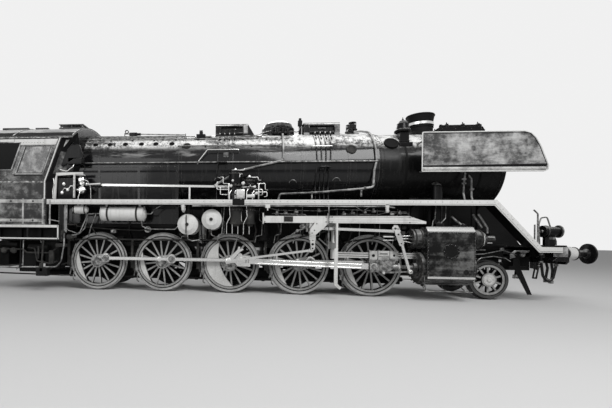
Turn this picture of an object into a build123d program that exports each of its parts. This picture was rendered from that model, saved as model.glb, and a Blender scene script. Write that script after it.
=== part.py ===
from build123d import *
from math import acos, atan2, cos, degrees, hypot, radians, sin, sqrt
import os

# A ten-coupled tender engine with a leading truck, without its tender.
# Millimetres. X runs forward from the driving axle, Y to the left, Z up from
# the rail top. On export the origin moves to the floor under the middle.

os.makedirs("parts", exist_ok=True)

# Running gear
WHEEL_R = 700.0            # tread radius of the coupled wheels
LEAD_R = 425.0             # tread radius of the leading wheels
FLANGE = 28.0              # flange depth, which the engine stands on
AXLE_PITCH = 1650.0        # between coupled axles
LEAD_X = 5900.0            # leading axle from the driving axle
WHEEL_IN = 680.0           # inner face of a tyre from the centre line
TYRE_W = 140.0
TYRE_T = 78.0              # tyre thickness
AXLE_R = 95.0
LEAD_AXLE_R = 80.0
HUB_R = 158.0
RIM_T = 52.0
SPOKES = 16
LEAD_SPOKES = 10
SPOKE_W = 40.0
SPOKE_T = 70.0
RIM_EASE = 8.0             # rim set in from the tyre's faces
HUB_BACK = 20.0            # hub stands inside the tyre's back face
THIN_CHORD = 440.0         # weight's edge from the axle
HEAVY_CHORD = 225.0        # the same on the driver
THIN_EDGE_R = 2400.0       # radius of that hollow edge
HEAVY_EDGE_R = 1150.0
DRIVER_HUB_R = 195.0
BOSS_R = 112.0             # crank boss round the pin
THROW = 260.0              # crank pin from the axle
CRANK_DEG = 17.7           # right crank above the horizontal at rest
QUARTER_DEG = 90.0         # left crank ahead of the right one
RUNNING = 0.06             # radial clearance of every shaft in its hole
CLEAR = 5.0                # clear space round what moves
SEAT = 0.3                 # gap between curved faces that seat on each other
WHEEL_OUT = WHEEL_IN + TYRE_W

# Rods, measured outward from the centre line
BOSS_OUT = 872.0           # face of the crank boss
SIDE_ROD_IN = 885.0
SIDE_ROD_T = 80.0
SIDE_ROD_H = 78.0
PIN_R = 60.0
CAP_R = 82.0
CAP_T = 20.0
CYL_Y = 1085.0             # cylinder, crosshead and main rod centre
MAIN_ROD_T = 90.0
MAIN_ROD_H = 132.0
ROD_GAP = 10.0             # from the wheel's own pin to the main rod
BIG_END = 240.0
BIG_END_EASE = 72.0        # its corners cut off
BIG_NECK = 245.0           # strap and keys ahead of the journal
KEY_SLOTS = [              # middle from the journal, width
    (140.0, 34.0),
    (198.0, 26.0)]
SMALL_END_R = 88.0
JOURNAL_R = 78.0
CROSS_PIN_R = 52.0
CROSS_X = 3251.0           # right crosshead pin at rest
ECC_ARM = 265.0            # return crank from main pin to eccentric pin
ECC_Y = 1205.0             # inner face of the eccentric rod
ECC_T = 45.0
STUB_R = 34.0              # pins that join the valve rods
ECC_ROD_L = 1875.0
LINK_X = 1860.0            # trunnion of the expansion link
LINK_Z = 1340.0
LINK_ARM = 290.0           # trunnion to the link's foot
LINK_Y = 1245.0
LINK_T = 40.0
UNION_X = 722.0            # union link's front end ahead of the crosshead pin
UNION_DROP = 92.0

# Cylinders
CYL_X = 4737.0
CYL_L = 970.0              # lagged length
CYL_R = 385.0
CYL_COVER = 130.0          # end cover length
CHEST_Z = 1340.0           # valve chest centre
CHEST_R = 215.0
PISTON_ROD_R = 45.0

# Guide bar and crosshead shoe
BAR_X0 = 2425.0
BAR_Z0 = 895.0
BAR_H = 125.0
BAR_W = 100.0
SHOE_WALL = 46.0
SHOE_X0 = 3150.0
SHOE_L = 627.0
SHOE_FIT = 0.6

# Frame
FRAME_IN = 440.0
FRAME_T = 100.0
FRAME_TOP = 1180.0
FRAME_LOW = 800.0
FRAME_FRONT_LOW = 960.0    # raised over the leading wheels
FRAME_REAR = -6000.0
BEAM_X = 7270.0            # back of the buffer beam
BEAM_T = 40.0
BEAM_HALF = 1150.0
HORN_HALF = 250.0
HORN_LOW = 500.0
BOX_HALF = 140.0
PIVOT_X = 4000.0           # leading truck's pivot
PIVOT_R = 60.0
FRAME_OUT = FRAME_IN + FRAME_T

# Boiler
BOILER_Z = 3050.0
BOILER_R = 945.0
SMOKE_R = 905.0
SMOKE_WALL = 35.0
SMOKE_HOLE_R = 690.0
TUBE_PLATE = 60.0
FRONT_PLATE = 45.0
BARREL_X0 = -1260.0
BARREL_X1 = 3440.0
SMOKE_X1 = 6190.0
FIREBOX_X0 = -4250.0
FIREBOX_LOW = 1640.0
FIREBOX_SIDE = 860.0       # half width at the foundation ring
BAND_W = 60.0
BAND_T = 8.0
BANDS_X = (-1220.0, 640.0, 1690.0, 2760.0, 3400.0)

# Chimney, domes and boxes on the boiler
CHIMNEY_X = 4747.0
CHIMNEY_TOP = 4455.0
CHIMNEY_R = 290.0
DOME_X = 1210.0
DOME_R = 412.0
DOME_TOP = 4356.0
SAND_TOP = 4204.0
SAND_HALF = 430.0

# Running boards and cylinder sides
CAB_HALF = 1490.0
CYL_INSET = 5.0            # cylinder side from the board's edge
BOARD_TOP = 2180.0
BOARD_T = 18.0
BOARD_INSET = 15.0         # from the cab side
BOARD_OUT = CAB_HALF - BOARD_INSET
CYL_OUT = BOARD_OUT - CYL_INSET
BOARD_IN = 985.0
BOARD_X0 = -4320.0
BOARD_X1 = 5633.0
EDGE_H = 120.0
STEP_X = 6514.0            # foot of the sloping board
FRONT_TOP = 1200.0
FRONT_X = 6916.0

# Smoke deflectors
DEF_X0 = 4150.0
DEF_X1 = 6690.0
DEF_Z0 = 2800.0
DEF_Z1 = 3660.0
DEF_Y = BOARD_OUT - 90
DEF_T = 14.0

# Cab
CAB_WALL = 30.0
CAB_LOW = 1570.0
CAB_EAVES = 3640.0
CAB_REAR = -6100.0
CAB_SIDE_X = -4350.0       # front edge of the side panels
CAB_FRONT = -3690.0        # front of the roof and the centre of the front wall
CAB_RAKE_Z = 2600.0        # the front edge leans forward above this
CAB_RAKE = 0.36
CAB_SPLAY = 0.9            # front wall's run forward for each unit inward
ROOF_RISE = 500.0
ROOF_T = 28.0
ROOF_OVER = 10.0
ROOF_REAR = -6180.0
DOOR_X0 = -6060.0
DOOR_X1 = -5600.0
DOOR_TOP = 2720.0
DOOR_T = 26.0
DOOR_PIN_R = 12.0

# Ends
BUFFER_Z = 1055.0
BUFFER_Y = 875.0
BUFFER_FACE = 7934.0
BUFFER_HEAD_R = 225.0
BUFFER_CASE_R = 130.0
BUFFER_STEM_R = 75.0

# The middle of the length becomes the origin
MID_X = (BUFFER_FACE + ROOF_REAR) / 2

COUPLED_X = [2 * AXLE_PITCH, AXLE_PITCH, 0.0, -AXLE_PITCH, -2 * AXLE_PITCH]
DRIVER = 3                 # the third coupled axle is driven
SIDES = {"right": -1, "left": 1}
CRANKS = {"right": CRANK_DEG, "left": CRANK_DEG + QUARTER_DEG}


def crank_pin(side):
    """Crank pin's place from the driving axle, in X and Z."""
    angle = radians(CRANKS[side])
    return THROW * cos(angle), THROW * sin(angle)


MAIN_ROD_L = hypot(CROSS_X - crank_pin("right")[0], crank_pin("right")[1])


def cross_pin_x(side):
    """Crosshead pin's X that the crank angle of that side gives."""
    px, pz = crank_pin(side)
    return px + sqrt(MAIN_ROD_L**2 - pz**2)


def save(name, *shapes):
    """Write one node, moved to the shared origin on the floor."""
    solids = []
    for shape in shapes:
        solids += shape.solids()
    moved = [Pos(-MID_X, 0, FLANGE) * solid for solid in solids]
    export_step(moved[0] if len(moved) == 1 else Compound(moved), f"parts/{name}.step")


def block(x0, x1, y0, y1, z0, z1):
    """Box between two corners."""
    return Pos((x0 + x1) / 2, (y0 + y1) / 2, (z0 + z1) / 2) * Box(
        abs(x1 - x0), abs(y1 - y0), abs(z1 - z0))


def left(shape):
    """The same shape on the left side."""
    return mirror(shape, about=Plane.XZ)


def pair(shape):
    """A right-hand shape and its left twin."""
    return [shape, left(shape)]


def on_side(shape, side):
    """A right-hand shape, or its mirror on the left."""
    return shape if side == "right" else left(shape)


def slab(sketch, w0, w1):
    """Sketch in X and Z, from w0 to w1 outward on the right."""
    return extrude(Plane.XZ.offset(w0) * sketch, w1 - w0)


def cross(sketch, x0, x1):
    """Sketch in Y and Z, from x0 to x1 along the engine."""
    return extrude(Plane.YZ.offset(x0) * sketch, x1 - x0)


def outline(*points):
    """Flat closed outline from its corners."""
    return make_face(Polyline(*points, close=True))


def round_y(x, z, r, w0, w1):
    """Round bar across the engine on the right side."""
    return slab(Pos(x, z) * Circle(r), w0, w1)


def round_x(y, z, r, x0, x1):
    """Round bar along the engine."""
    return cross(Pos(y, z) * Circle(r), x0, x1)


def round_z(x, y, r, z0, z1):
    """Upright round bar."""
    return extrude(Plane.XY.offset(z0) * Pos(x, y) * Circle(r), z1 - z0)


def bar(x0, z0, x1, z1, h, w0, w1):
    """Straight flat bar between two points in X and Z, with square ends."""
    length = hypot(x1 - x0, z1 - z0)
    turn = degrees(atan2(z1 - z0, x1 - x0))
    flat = Pos((x0 + x1) / 2, (z0 + z1) / 2) * Rot(0, 0, turn) * Rectangle(length, h)
    return slab(flat, w0, w1)


def spun_x(points, y, z):
    """Solid of revolution about a line along X. Points are X and radius."""
    face = make_face(Polyline(*[(px, 0, pr) for px, pr in points], close=True))
    return Pos(0, y, z) * revolve(face, Axis.X)


# Wheels. The profile runs from the back face of the tyre outward.
def tyre(radius):
    """Flanged tyre on the right side."""
    profile = [(radius - TYRE_T, 0), (radius + FLANGE - 12, 0), (radius + FLANGE, 10),
               (radius + FLANGE, 20), (radius + 5, 36), (radius, 60),
               (radius - 4, TYRE_W), (radius - TYRE_T, TYRE_W)]
    face = make_face(Polyline(*[(r, -WHEEL_IN - w, 0) for r, w in profile], close=True))
    return revolve(face, Axis.Y)


def wheel_centre(radius, spokes, hub_out, chord=None, edge_r=None):
    """Rim, spokes, hub and weight on the right side, its crank pointing forward."""
    rim_r = radius - TYRE_T - SEAT
    rim_in = rim_r - RIM_T
    run = rim_in + RIM_T / 4 - HUB_R / 2
    ring = Circle(rim_r) - Circle(rim_in)
    web = ring
    for n in range(spokes):
        spoke = Pos(HUB_R / 2 + run / 2, 0) * Rectangle(run, SPOKE_W)
        web += Rot(0, 0, 360 / spokes * (n + 0.5)) * spoke
    if chord:
        weight = Circle(rim_in + RIM_T / 2) - Pos(edge_r - chord, 0) * Circle(edge_r)
        ring += weight
        web += weight
    middle = WHEEL_IN + TYRE_W / 2
    spoked = slab(web, middle - SPOKE_T / 2, middle + SPOKE_T / 2)
    rim = slab(ring, WHEEL_IN + RIM_EASE, WHEEL_OUT - RIM_EASE)
    return spoked + rim + round_y(0, 0, HUB_R, WHEEL_IN - HUB_BACK, hub_out)


def crank_boss():
    """Web that carries the crank pin, pointing forward."""
    spread = acos((HUB_R - BOSS_R) / THROW)
    flank = outline((HUB_R * cos(spread), HUB_R * sin(spread)),
                    (THROW + BOSS_R * cos(spread), BOSS_R * sin(spread)),
                    (THROW + BOSS_R * cos(spread), -BOSS_R * sin(spread)),
                    (HUB_R * cos(spread), -HUB_R * sin(spread)))
    shape = flank + Pos(THROW, 0) * Circle(BOSS_R) + Circle(HUB_R)
    return slab(shape, WHEEL_IN + TYRE_W / 2, BOSS_OUT)


def crank_pin_solid(driven):
    """Crank pin with its cap, or the driver's inner journal."""
    rod_out = SIDE_ROD_IN + SIDE_ROD_T
    pin = round_y(THROW, 0, PIN_R, BOSS_OUT, rod_out + CLEAR)
    end = CYL_Y - MAIN_ROD_T / 2 - ROD_GAP if driven else rod_out + CLEAR + CAP_T
    return pin + round_y(THROW, 0, CAP_R, rod_out + CLEAR, end)


for number, x in enumerate(COUPLED_X, start=1):
    driven = number == DRIVER
    chord = HEAVY_CHORD if driven else THIN_CHORD
    edge_r = HEAVY_EDGE_R if driven else THIN_EDGE_R
    half = wheel_centre(WHEEL_R, SPOKES, BOSS_OUT, chord, edge_r)
    half = half + crank_boss() + crank_pin_solid(driven)
    if driven:
        half += round_y(0, 0, DRIVER_HUB_R, WHEEL_OUT - TYRE_W / 2, BOSS_OUT)
    shaft = Rot(90, 0, 0) * Cylinder(AXLE_R, 2 * WHEEL_IN)
    for side, angle in CRANKS.items():
        shaft += on_side(Rot(0, -angle, 0) * half, side)
    place = Pos(x, 0, WHEEL_R)
    save(f"wheels_{number}", place * shaft)
    save(f"tyres_{number}", *[place * t for t in pair(tyre(WHEEL_R))])

lead_centre = wheel_centre(LEAD_R, LEAD_SPOKES, WHEEL_OUT + 15)
lead_shaft = Rot(90, 0, 0) * Cylinder(LEAD_AXLE_R, 2 * WHEEL_IN)
lead_place = Pos(LEAD_X, 0, LEAD_R)
save("leading_wheels", lead_place * (lead_centre + lead_shaft + left(lead_centre)))
save("leading_tyres", *[lead_place * t for t in pair(tyre(LEAD_R))])


# Side rods: an eye at each crank pin and one beam through them
EYE_L = 190.0
EYE_H = 172.0
KNUCKLE_R = 62.0
KNUCKLE_BACK = 300.0       # knuckle joints behind the pins of axles two to four
for side in SIDES:
    px, pz = crank_pin(side)
    shape = Sketch()
    for x in COUPLED_X:
        eye = RectangleRounded(EYE_L, EYE_H, 40)
        shape += Pos(x + px, WHEEL_R + pz) * eye
    first = COUPLED_X[-1] + px
    last = COUPLED_X[0] + px
    shape += Pos((first + last) / 2, WHEEL_R + pz) * Rectangle(last - first, SIDE_ROD_H)
    for x in COUPLED_X[1:4]:
        shape += Pos(x + px - KNUCKLE_BACK, WHEEL_R + pz) * Circle(KNUCKLE_R)
    rod = slab(shape, SIDE_ROD_IN, SIDE_ROD_IN + SIDE_ROD_T)
    for x in COUPLED_X:
        oiler = block(x + px - 50, x + px + 50, -SIDE_ROD_IN - 62, -SIDE_ROD_IN - 18,
                      WHEEL_R + pz + EYE_H / 2, WHEEL_R + pz + EYE_H / 2 + 28)
        rod += oiler
        rod -= round_y(x + px, WHEEL_R + pz, PIN_R + RUNNING, 800, 1000)
    save(f"side_rods_{side}", on_side(rod, side))


# Main rods, with the outer end of the crank pin and its return crank
for side in SIDES:
    px, pz = crank_pin(side)
    cx = cross_pin_x(side)
    w0 = CYL_Y - MAIN_ROD_T / 2
    w1 = CYL_Y + MAIN_ROD_T / 2
    tilt = degrees(atan2(-pz, cx - px))
    length = hypot(cx - px, pz)
    stem = outline((BIG_NECK - 10, 62), (420, MAIN_ROD_H / 2), (length, MAIN_ROD_H / 2),
                   (length, -MAIN_ROD_H / 2), (420, -MAIN_ROD_H / 2), (BIG_NECK - 10, -62))
    cut = BIG_END / 2 - BIG_END_EASE
    high = BIG_END / 2 + 8
    head = outline((-BIG_END / 2, -cut), (-BIG_END / 2, cut), (-cut, high), (BIG_NECK, high),
                   (BIG_NECK, -high), (-cut, -high))
    head -= Circle(JOURNAL_R)
    for x, wide in KEY_SLOTS:
        head -= Pos(x, 0) * Rectangle(wide, 1.5 * cut)
    rod = slab(stem, w0, w1) + slab(head, w0, w1)
    rod += round_y(length, 0, SMALL_END_R, w0, w1)
    rod += block(-48, 48, -w0 - 70, -w0 - 20, high - 5, high + 32)
    rod -= round_y(length, 0, CROSS_PIN_R + RUNNING, w0 - 10, w1 + 10)
    flute = Pos(length / 2 + 60, 0) * Rectangle(length - 620, MAIN_ROD_H - 56)
    rod -= slab(flute, w1 - 22, w1 + 5)
    rod -= slab(flute, w0 - 5, w0 + 22)
    turn = Pos(px, 0, WHEEL_R + pz) * Rot(0, -tilt, 0)
    journal = round_y(0, 0, JOURNAL_R - RUNNING, w0, w1 + 14)
    arm_turn = CRANKS[side] - CRANK_DEG
    arm = Pos(-ECC_ARM / 2, 0) * Rectangle(ECC_ARM, 96)
    arm += Circle(92)
    arm += Pos(-ECC_ARM, 0) * Circle(58)
    web = slab(Rot(0, 0, arm_turn) * arm, w1 + 14, w1 + 56)
    turned = radians(arm_turn)
    web += round_y(-ECC_ARM * cos(turned), -ECC_ARM * sin(turned), STUB_R, w1 + 56, ECC_Y - CLEAR)
    crank = Pos(px, 0, WHEEL_R + pz) * (journal + web)
    save(f"main_rod_{side}", on_side(turn * rod, side), on_side(crank, side))


# Crossheads: shoe round the guide bar, cheeks for the rod, piston rod and drop arm
CHEEK_GAP = 6.0
CHEEK_SET = 15.0           # cheek set back from the shoe's face
for side in SIDES:
    cx = cross_pin_x(side)
    dx = cx - cross_pin_x("right")
    x0 = SHOE_X0 + dx
    x1 = x0 + SHOE_L
    low = BAR_Z0 - SHOE_WALL
    high = BAR_Z0 + BAR_H + SHOE_WALL
    half = BAR_W / 2 + 34
    shoe = block(x0, x1, -CYL_Y - half, -CYL_Y + half, low, high)
    shoe -= block(x0 - 1, x1 + 1, -CYL_Y - BAR_W / 2 - SHOE_FIT, -CYL_Y + BAR_W / 2 + SHOE_FIT,
                  BAR_Z0 - SHOE_FIT, BAR_Z0 + BAR_H + SHOE_FIT)
    cheek = outline((x0, low), (x0 + 15, WHEEL_R - 60), (cx - 60, WHEEL_R - 112),
                    (cx + 90, WHEEL_R - 112), (x1 - 160, WHEEL_R - 90), (x1 - 40, low))
    body = slab(cheek, CYL_Y - half, CYL_Y + half)
    slot = MAIN_ROD_T / 2 + CHEEK_GAP
    body -= block(cx - 20 - SMALL_END_R - 85, cx + SMALL_END_R + 30, -CYL_Y - slot, -CYL_Y + slot,
                  WHEEL_R - 350, low)
    body -= block(x0 - 10, cx + 128, -CYL_Y - half - 1, -CYL_Y - half + CHEEK_SET, WHEEL_R - 200, low)
    body += block(cx - 92, cx + 78, -CYL_Y - half, -CYL_Y - half + CHEEK_SET + 2,
                  WHEEL_R - 70, WHEEL_R + 78)
    pin = round_y(cx, WHEEL_R, CROSS_PIN_R, CYL_Y - half - 4, CYL_Y + half + 26)
    rod = round_x(-CYL_Y, WHEEL_R, PISTON_ROD_R, x1 - 200, CYL_X + 10 + dx)
    boss = round_x(-CYL_Y, WHEEL_R, 76, x1 - 180, x1 + 20)
    drop = outline((cx + 150, WHEEL_R - 60), (cx + 160, WHEEL_R - 150), (cx + 232, WHEEL_R - 150),
                   (cx + 250, WHEEL_R - 60))
    arm = slab(drop, CYL_Y + half, CYL_Y + half + 34)
    union = bar(cx + 195, WHEEL_R - 125, cx + UNION_X, WHEEL_R - UNION_DROP, 34,
                CYL_Y + half + 34, CYL_Y + half + 62)
    union += round_y(cx + 195, WHEEL_R - 125, 42, CYL_Y + half + 34, CYL_Y + half + 62)
    union += round_y(cx + UNION_X, WHEEL_R - UNION_DROP, 36, CYL_Y + half + 34, CYL_Y + half + 62)
    union += round_y(cx + UNION_X, WHEEL_R - UNION_DROP, STUB_R - 14, CYL_Y + half + 62, LINK_Y - CLEAR)
    save(f"crosshead_{side}", on_side(shoe + body + pin + boss + rod + arm + union, side))


# Frame bars with horns for the axle boxes
def frame_bar():
    """One side of the frame, on the right."""
    side_view = outline(
        (FRAME_REAR, FRAME_TOP), (FRAME_REAR, 900), (-4000, FRAME_LOW),
        (4850, FRAME_LOW), (5050, FRAME_FRONT_LOW), (BEAM_X, FRAME_FRONT_LOW),
        (BEAM_X, FRAME_TOP))
    for x in COUPLED_X:
        horn = outline((x - HORN_HALF, FRAME_LOW), (x - HORN_HALF + 50, HORN_LOW),
                       (x + HORN_HALF - 50, HORN_LOW), (x + HORN_HALF, FRAME_LOW))
        side_view += horn
    for x in COUPLED_X:
        side_view -= Pos(x, (HORN_LOW + WHEEL_R + 160) / 2 - 20) * Rectangle(
            2 * BOX_HALF, WHEEL_R + 160 - HORN_LOW + 40)
    for x in COUPLED_X[:4]:
        hole = Pos(x - AXLE_PITCH / 2, (FRAME_LOW + FRAME_TOP) / 2)
        side_view -= hole * RectangleRounded(820, 190, 60)
    for x in (-4750, 6150):
        middle = (FRAME_TOP + (900 if x < 0 else FRAME_FRONT_LOW)) / 2
        side_view -= Pos(x, middle) * RectangleRounded(900, 110, 40)
    return slab(side_view, FRAME_IN, FRAME_OUT)


STRETCHERS = [             # middle X, length, low Z, high Z
    (-5700, 300, 920, 1160),
    (-4200, 60, 860, 1160),
    (-2475, 60, 810, 860),
    (-825, 60, 820, 1160),
    (825, 60, 820, 1160),
    (2360, 60, 820, 1160),
    (4000, 260, 810, 1000),
    (5900, 260, 970, 1100),
    (7150, 200, 980, 1160)]
save("frame_bars", *pair(frame_bar()))

DRAW_PIN_X = -5780.0
DRAW_PIN_R = 45.0
DRAW_SLOT = (-5900.0, -5600.0, 150.0, 1000.0, 1080.0)    # X, X, half width, Z, Z
stretchers = []
for x, length, z0, z1 in STRETCHERS:
    stretchers.append(block(x - length / 2, x + length / 2, -FRAME_IN, FRAME_IN, z0, z1))
x0, x1, half, z0, z1 = DRAW_SLOT
stretchers[0] -= block(x0, x1 + 10, -half, half, z0, z1)
stretchers[0] -= round_z(DRAW_PIN_X, 0, DRAW_PIN_R, 900, 1200)
stretchers[6] += round_z(PIVOT_X, 0, PIVOT_R, 400, 815)
stretchers[7] += round_z(LEAD_X, 0, 150, 780, 975)
save("frame_stretchers", *stretchers)

boxes = []
for x in COUPLED_X:
    box = block(x - BOX_HALF, x + BOX_HALF, -FRAME_OUT - 30, -FRAME_IN + 20,
                HORN_LOW + 10, WHEEL_R + 150)
    box -= round_y(x, WHEEL_R, AXLE_R + RUNNING, 300, 640)
    boxes += pair(box)
save("axle_boxes", *boxes)

# Leaf springs over the axle boxes
LEAVES = [560, 480, 400, 320, 240]
LEAF_T = 16.0
springs = []
for x in COUPLED_X:
    z = FRAME_TOP + 56
    stack = block(x - 40, x + 40, -FRAME_OUT + 5, -FRAME_IN - 5, FRAME_TOP, z + 5 * LEAF_T + 24)
    for n, half in enumerate(LEAVES[::-1]):
        stack += block(x - half, x + half, -FRAME_OUT + 10, -FRAME_IN - 10,
                       z + n * LEAF_T, z + (n + 1) * LEAF_T)
    for end in (-1, 1):
        hanger_x = x + end * (LEAVES[0] - 30)
        stack += block(hanger_x - 14, hanger_x + 14, -FRAME_OUT + 20, -FRAME_IN - 20,
                       FRAME_TOP, z + 5 * LEAF_T + 10)
    springs += pair(stack)
save("leaf_springs", *springs)

# Buffer beam, buffers and draw gear
beam = cross(outline((-BEAM_HALF, 878), (-BEAM_HALF, 1116), (-1085, 1235), (1085, 1235),
                     (BEAM_HALF, 1116), (BEAM_HALF, 878), (1085, 820), (-1085, 820)),
             BEAM_X, BEAM_X + BEAM_T)
gusset = slab(outline((BEAM_X + 1, 1116), (BEAM_X + 1, 878), (6990, 895)), BEAM_HALF - 14, BEAM_HALF)
beam += gusset + left(gusset)
case_x0 = BEAM_X + BEAM_T
cases = []
heads = []
for y in (-BUFFER_Y, BUFFER_Y):
    case = spun_x([(case_x0, 0), (case_x0, 170), (case_x0 + 30, 170), (case_x0 + 30, 140),
                   (case_x0 + 330, BUFFER_CASE_R), (case_x0 + 330, BUFFER_STEM_R + 1),
                   (case_x0 + 60, BUFFER_STEM_R + 1), (case_x0 + 60, 0)], y, BUFFER_Z)
    cases.append(case)
    dome = BUFFER_FACE - 14
    head = spun_x([(case_x0 + 60, 0), (case_x0 + 60, BUFFER_STEM_R),
                   (BUFFER_FACE - 90, BUFFER_STEM_R), (BUFFER_FACE - 60, 110),
                   (BUFFER_FACE - 36, BUFFER_HEAD_R), (dome, BUFFER_HEAD_R),
                   (BUFFER_FACE, 120), (BUFFER_FACE, 0)], y, BUFFER_Z)
    heads.append(head)
save("buffers", *cases, *heads)

hook = block(case_x0, case_x0 + 60, -70, 70, BUFFER_Z - 90, BUFFER_Z + 90)
hook_side = outline((case_x0 + 60, BUFFER_Z - 45), (case_x0 + 250, BUFFER_Z - 60),
                    (case_x0 + 330, BUFFER_Z - 20), (case_x0 + 330, BUFFER_Z + 60),
                    (case_x0 + 270, BUFFER_Z + 75), (case_x0 + 265, BUFFER_Z + 15),
                    (case_x0 + 200, BUFFER_Z + 10), (case_x0 + 60, BUFFER_Z + 35))
hook += extrude(Plane.XZ.offset(-28) * hook_side, 56)
hook += block(case_x0 + 90, case_x0 + 150, -60, 60, BUFFER_Z - 400, BUFFER_Z - 30)
save("buffer_beam", beam + hook)


# Boiler
def boiler_cut(extra=SEAT):
    """Space that the cladding takes, to seat other pieces on it."""
    return round_x(0, BOILER_Z, BOILER_R + extra, BARREL_X0 - 1, BARREL_X1)


barrel = round_x(0, BOILER_Z, BOILER_R, BARREL_X0, BARREL_X1)
for x in BANDS_X:
    barrel += round_x(0, BOILER_Z, BOILER_R + BAND_T, x - BAND_W / 2, x + BAND_W / 2)
save("boiler_barrel", barrel)

firebox_face = Pos(0, BOILER_Z) * Circle(BOILER_R)
firebox_face += outline((-BOILER_R, BOILER_Z), (BOILER_R, BOILER_Z), (FIREBOX_SIDE, 2000),
                        (FIREBOX_SIDE, FIREBOX_LOW), (-FIREBOX_SIDE, FIREBOX_LOW),
                        (-FIREBOX_SIDE, 2000))
save("firebox", cross(firebox_face, FIREBOX_X0, BARREL_X0))

pan = outline((-3850, FIREBOX_LOW), (BARREL_X0 - 60, FIREBOX_LOW), (BARREL_X0 - 160, 1250),
              (BARREL_X0 - 500, 880), (-3500, 880), (-3780, 1250))
pan = slab(pan, -(FRAME_IN - 20), FRAME_IN - 20)
wings = block(-3840, BARREL_X0 - 70, -FIREBOX_SIDE + 10, FIREBOX_SIDE - 10,
              FIREBOX_LOW - 90, FIREBOX_LOW)
save("ashpan", pan + wings)

smoke = round_x(0, BOILER_Z, SMOKE_R, BARREL_X1, SMOKE_X1)
smoke += round_x(0, BOILER_Z, SMOKE_R + 25, BARREL_X1, BARREL_X1 + 70)
smoke += round_x(0, BOILER_Z, SMOKE_R + 12, SMOKE_X1 - 70, SMOKE_X1)
smoke -= round_x(0, BOILER_Z, SMOKE_R - SMOKE_WALL, BARREL_X1 + TUBE_PLATE, SMOKE_X1 - FRONT_PLATE)
smoke -= round_x(0, BOILER_Z, SMOKE_HOLE_R, SMOKE_X1 - FRONT_PLATE, SMOKE_X1)
HINGE_X = SMOKE_X1 + 48
HINGE_Y = 800.0
HINGE_R = 14.0
HINGE_Z = (2760.0, 3340.0)
for z in HINGE_Z:
    for end in (-1, 1):
        lug = block(SMOKE_X1, HINGE_X + 24, HINGE_Y - 24, HINGE_Y + 24,
                    z + end * 60 - 22, z + end * 60 + 22)
        smoke += lug
    smoke += round_z(HINGE_X, HINGE_Y, HINGE_R, z - 80, z + 80)
save("smokebox", smoke)

DOOR_R = 745.0
DOOR_GAP = 3.0
dx0 = SMOKE_X1 + DOOR_GAP
door = spun_x([(dx0, 0), (dx0, DOOR_R), (dx0 + 28, DOOR_R), (dx0 + 60, DOOR_R - 60),
               (dx0 + 130, DOOR_R - 340), (dx0 + 150, 0)], 0, BOILER_Z)
for z in HINGE_Z:
    strap = block(dx0 + 10, dx0 + 50, 260, HINGE_Y + 2, z - 32, z + 32)
    eye = round_z(HINGE_X, HINGE_Y, 30, z - 32, z + 32)
    door += strap + eye
    door -= round_z(HINGE_X, HINGE_Y, HINGE_R + RUNNING, z - 60, z + 60)
handle = Pos(dx0 + 175, 0, BOILER_Z) * Rot(0, 90, 0) * Cylinder(40, 60)
door += handle + block(dx0 + 175, dx0 + 200, -18, 18, BOILER_Z - 200, BOILER_Z + 20)
save("smokebox_door", door)

saddle = block(4270, 5200, -FRAME_OUT, FRAME_OUT, FRAME_TOP, BOILER_Z - 300)
saddle -= round_x(0, BOILER_Z, SMOKE_R + SEAT, 4000, 6000)
save("smokebox_saddle", saddle)

# Chimney, dome and boxes
SMOKE_TOP = BOILER_Z + SMOKE_R
SKIRT_LOW = SMOKE_TOP - 255
CHIMNEY_PROFILE = [        # height as a share from smokebox to rim, radius beyond the nominal one
    (0.02, 50),
    (0.15, -8),
    (0.43, -8),
    (0.44, 6),
    (0.60, 6),
    (0.61, -6),
    (0.94, 24),
    (1.00, 24)]
CHIMNEY_WALL = 46.0
CHIMNEY_FLOOR = 0.2        # the bore's bottom, as such a share
rise = CHIMNEY_TOP - SMOKE_TOP
profile = [(0, SKIRT_LOW), (CHIMNEY_R + 60, SKIRT_LOW)]
profile += [(CHIMNEY_R + out, SMOKE_TOP + share * rise) for share, out in CHIMNEY_PROFILE]
bore_z = SMOKE_TOP + CHIMNEY_FLOOR * rise
bore_r = CHIMNEY_R + CHIMNEY_PROFILE[-1][1] - 2 * CHIMNEY_WALL
profile += [(bore_r, CHIMNEY_TOP), (bore_r, bore_z), (0, bore_z)]
chimney = revolve(make_face(Polyline(*[(r, 0, z) for r, z in profile], close=True)), Axis.Z)
chimney = Pos(CHIMNEY_X, 0, 0) * chimney
chimney -= round_x(0, BOILER_Z, SMOKE_R + SEAT, BARREL_X1, SMOKE_X1)
save("chimney", chimney)

dome = revolve(make_face(Polyline(
    (0, 0, 3600), (DOME_R + 20, 0, 3600), (DOME_R + 20, 0, 3980), (DOME_R, 0, 4010),
    (DOME_R, 0, 4140), (DOME_R - 60, 0, 4260), (DOME_R - 190, 0, 4330), (0, 0, DOME_TOP),
    close=True)), Axis.Z)
save("steam_dome", Pos(DOME_X, 0, 0) * dome - boiler_cut())

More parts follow.
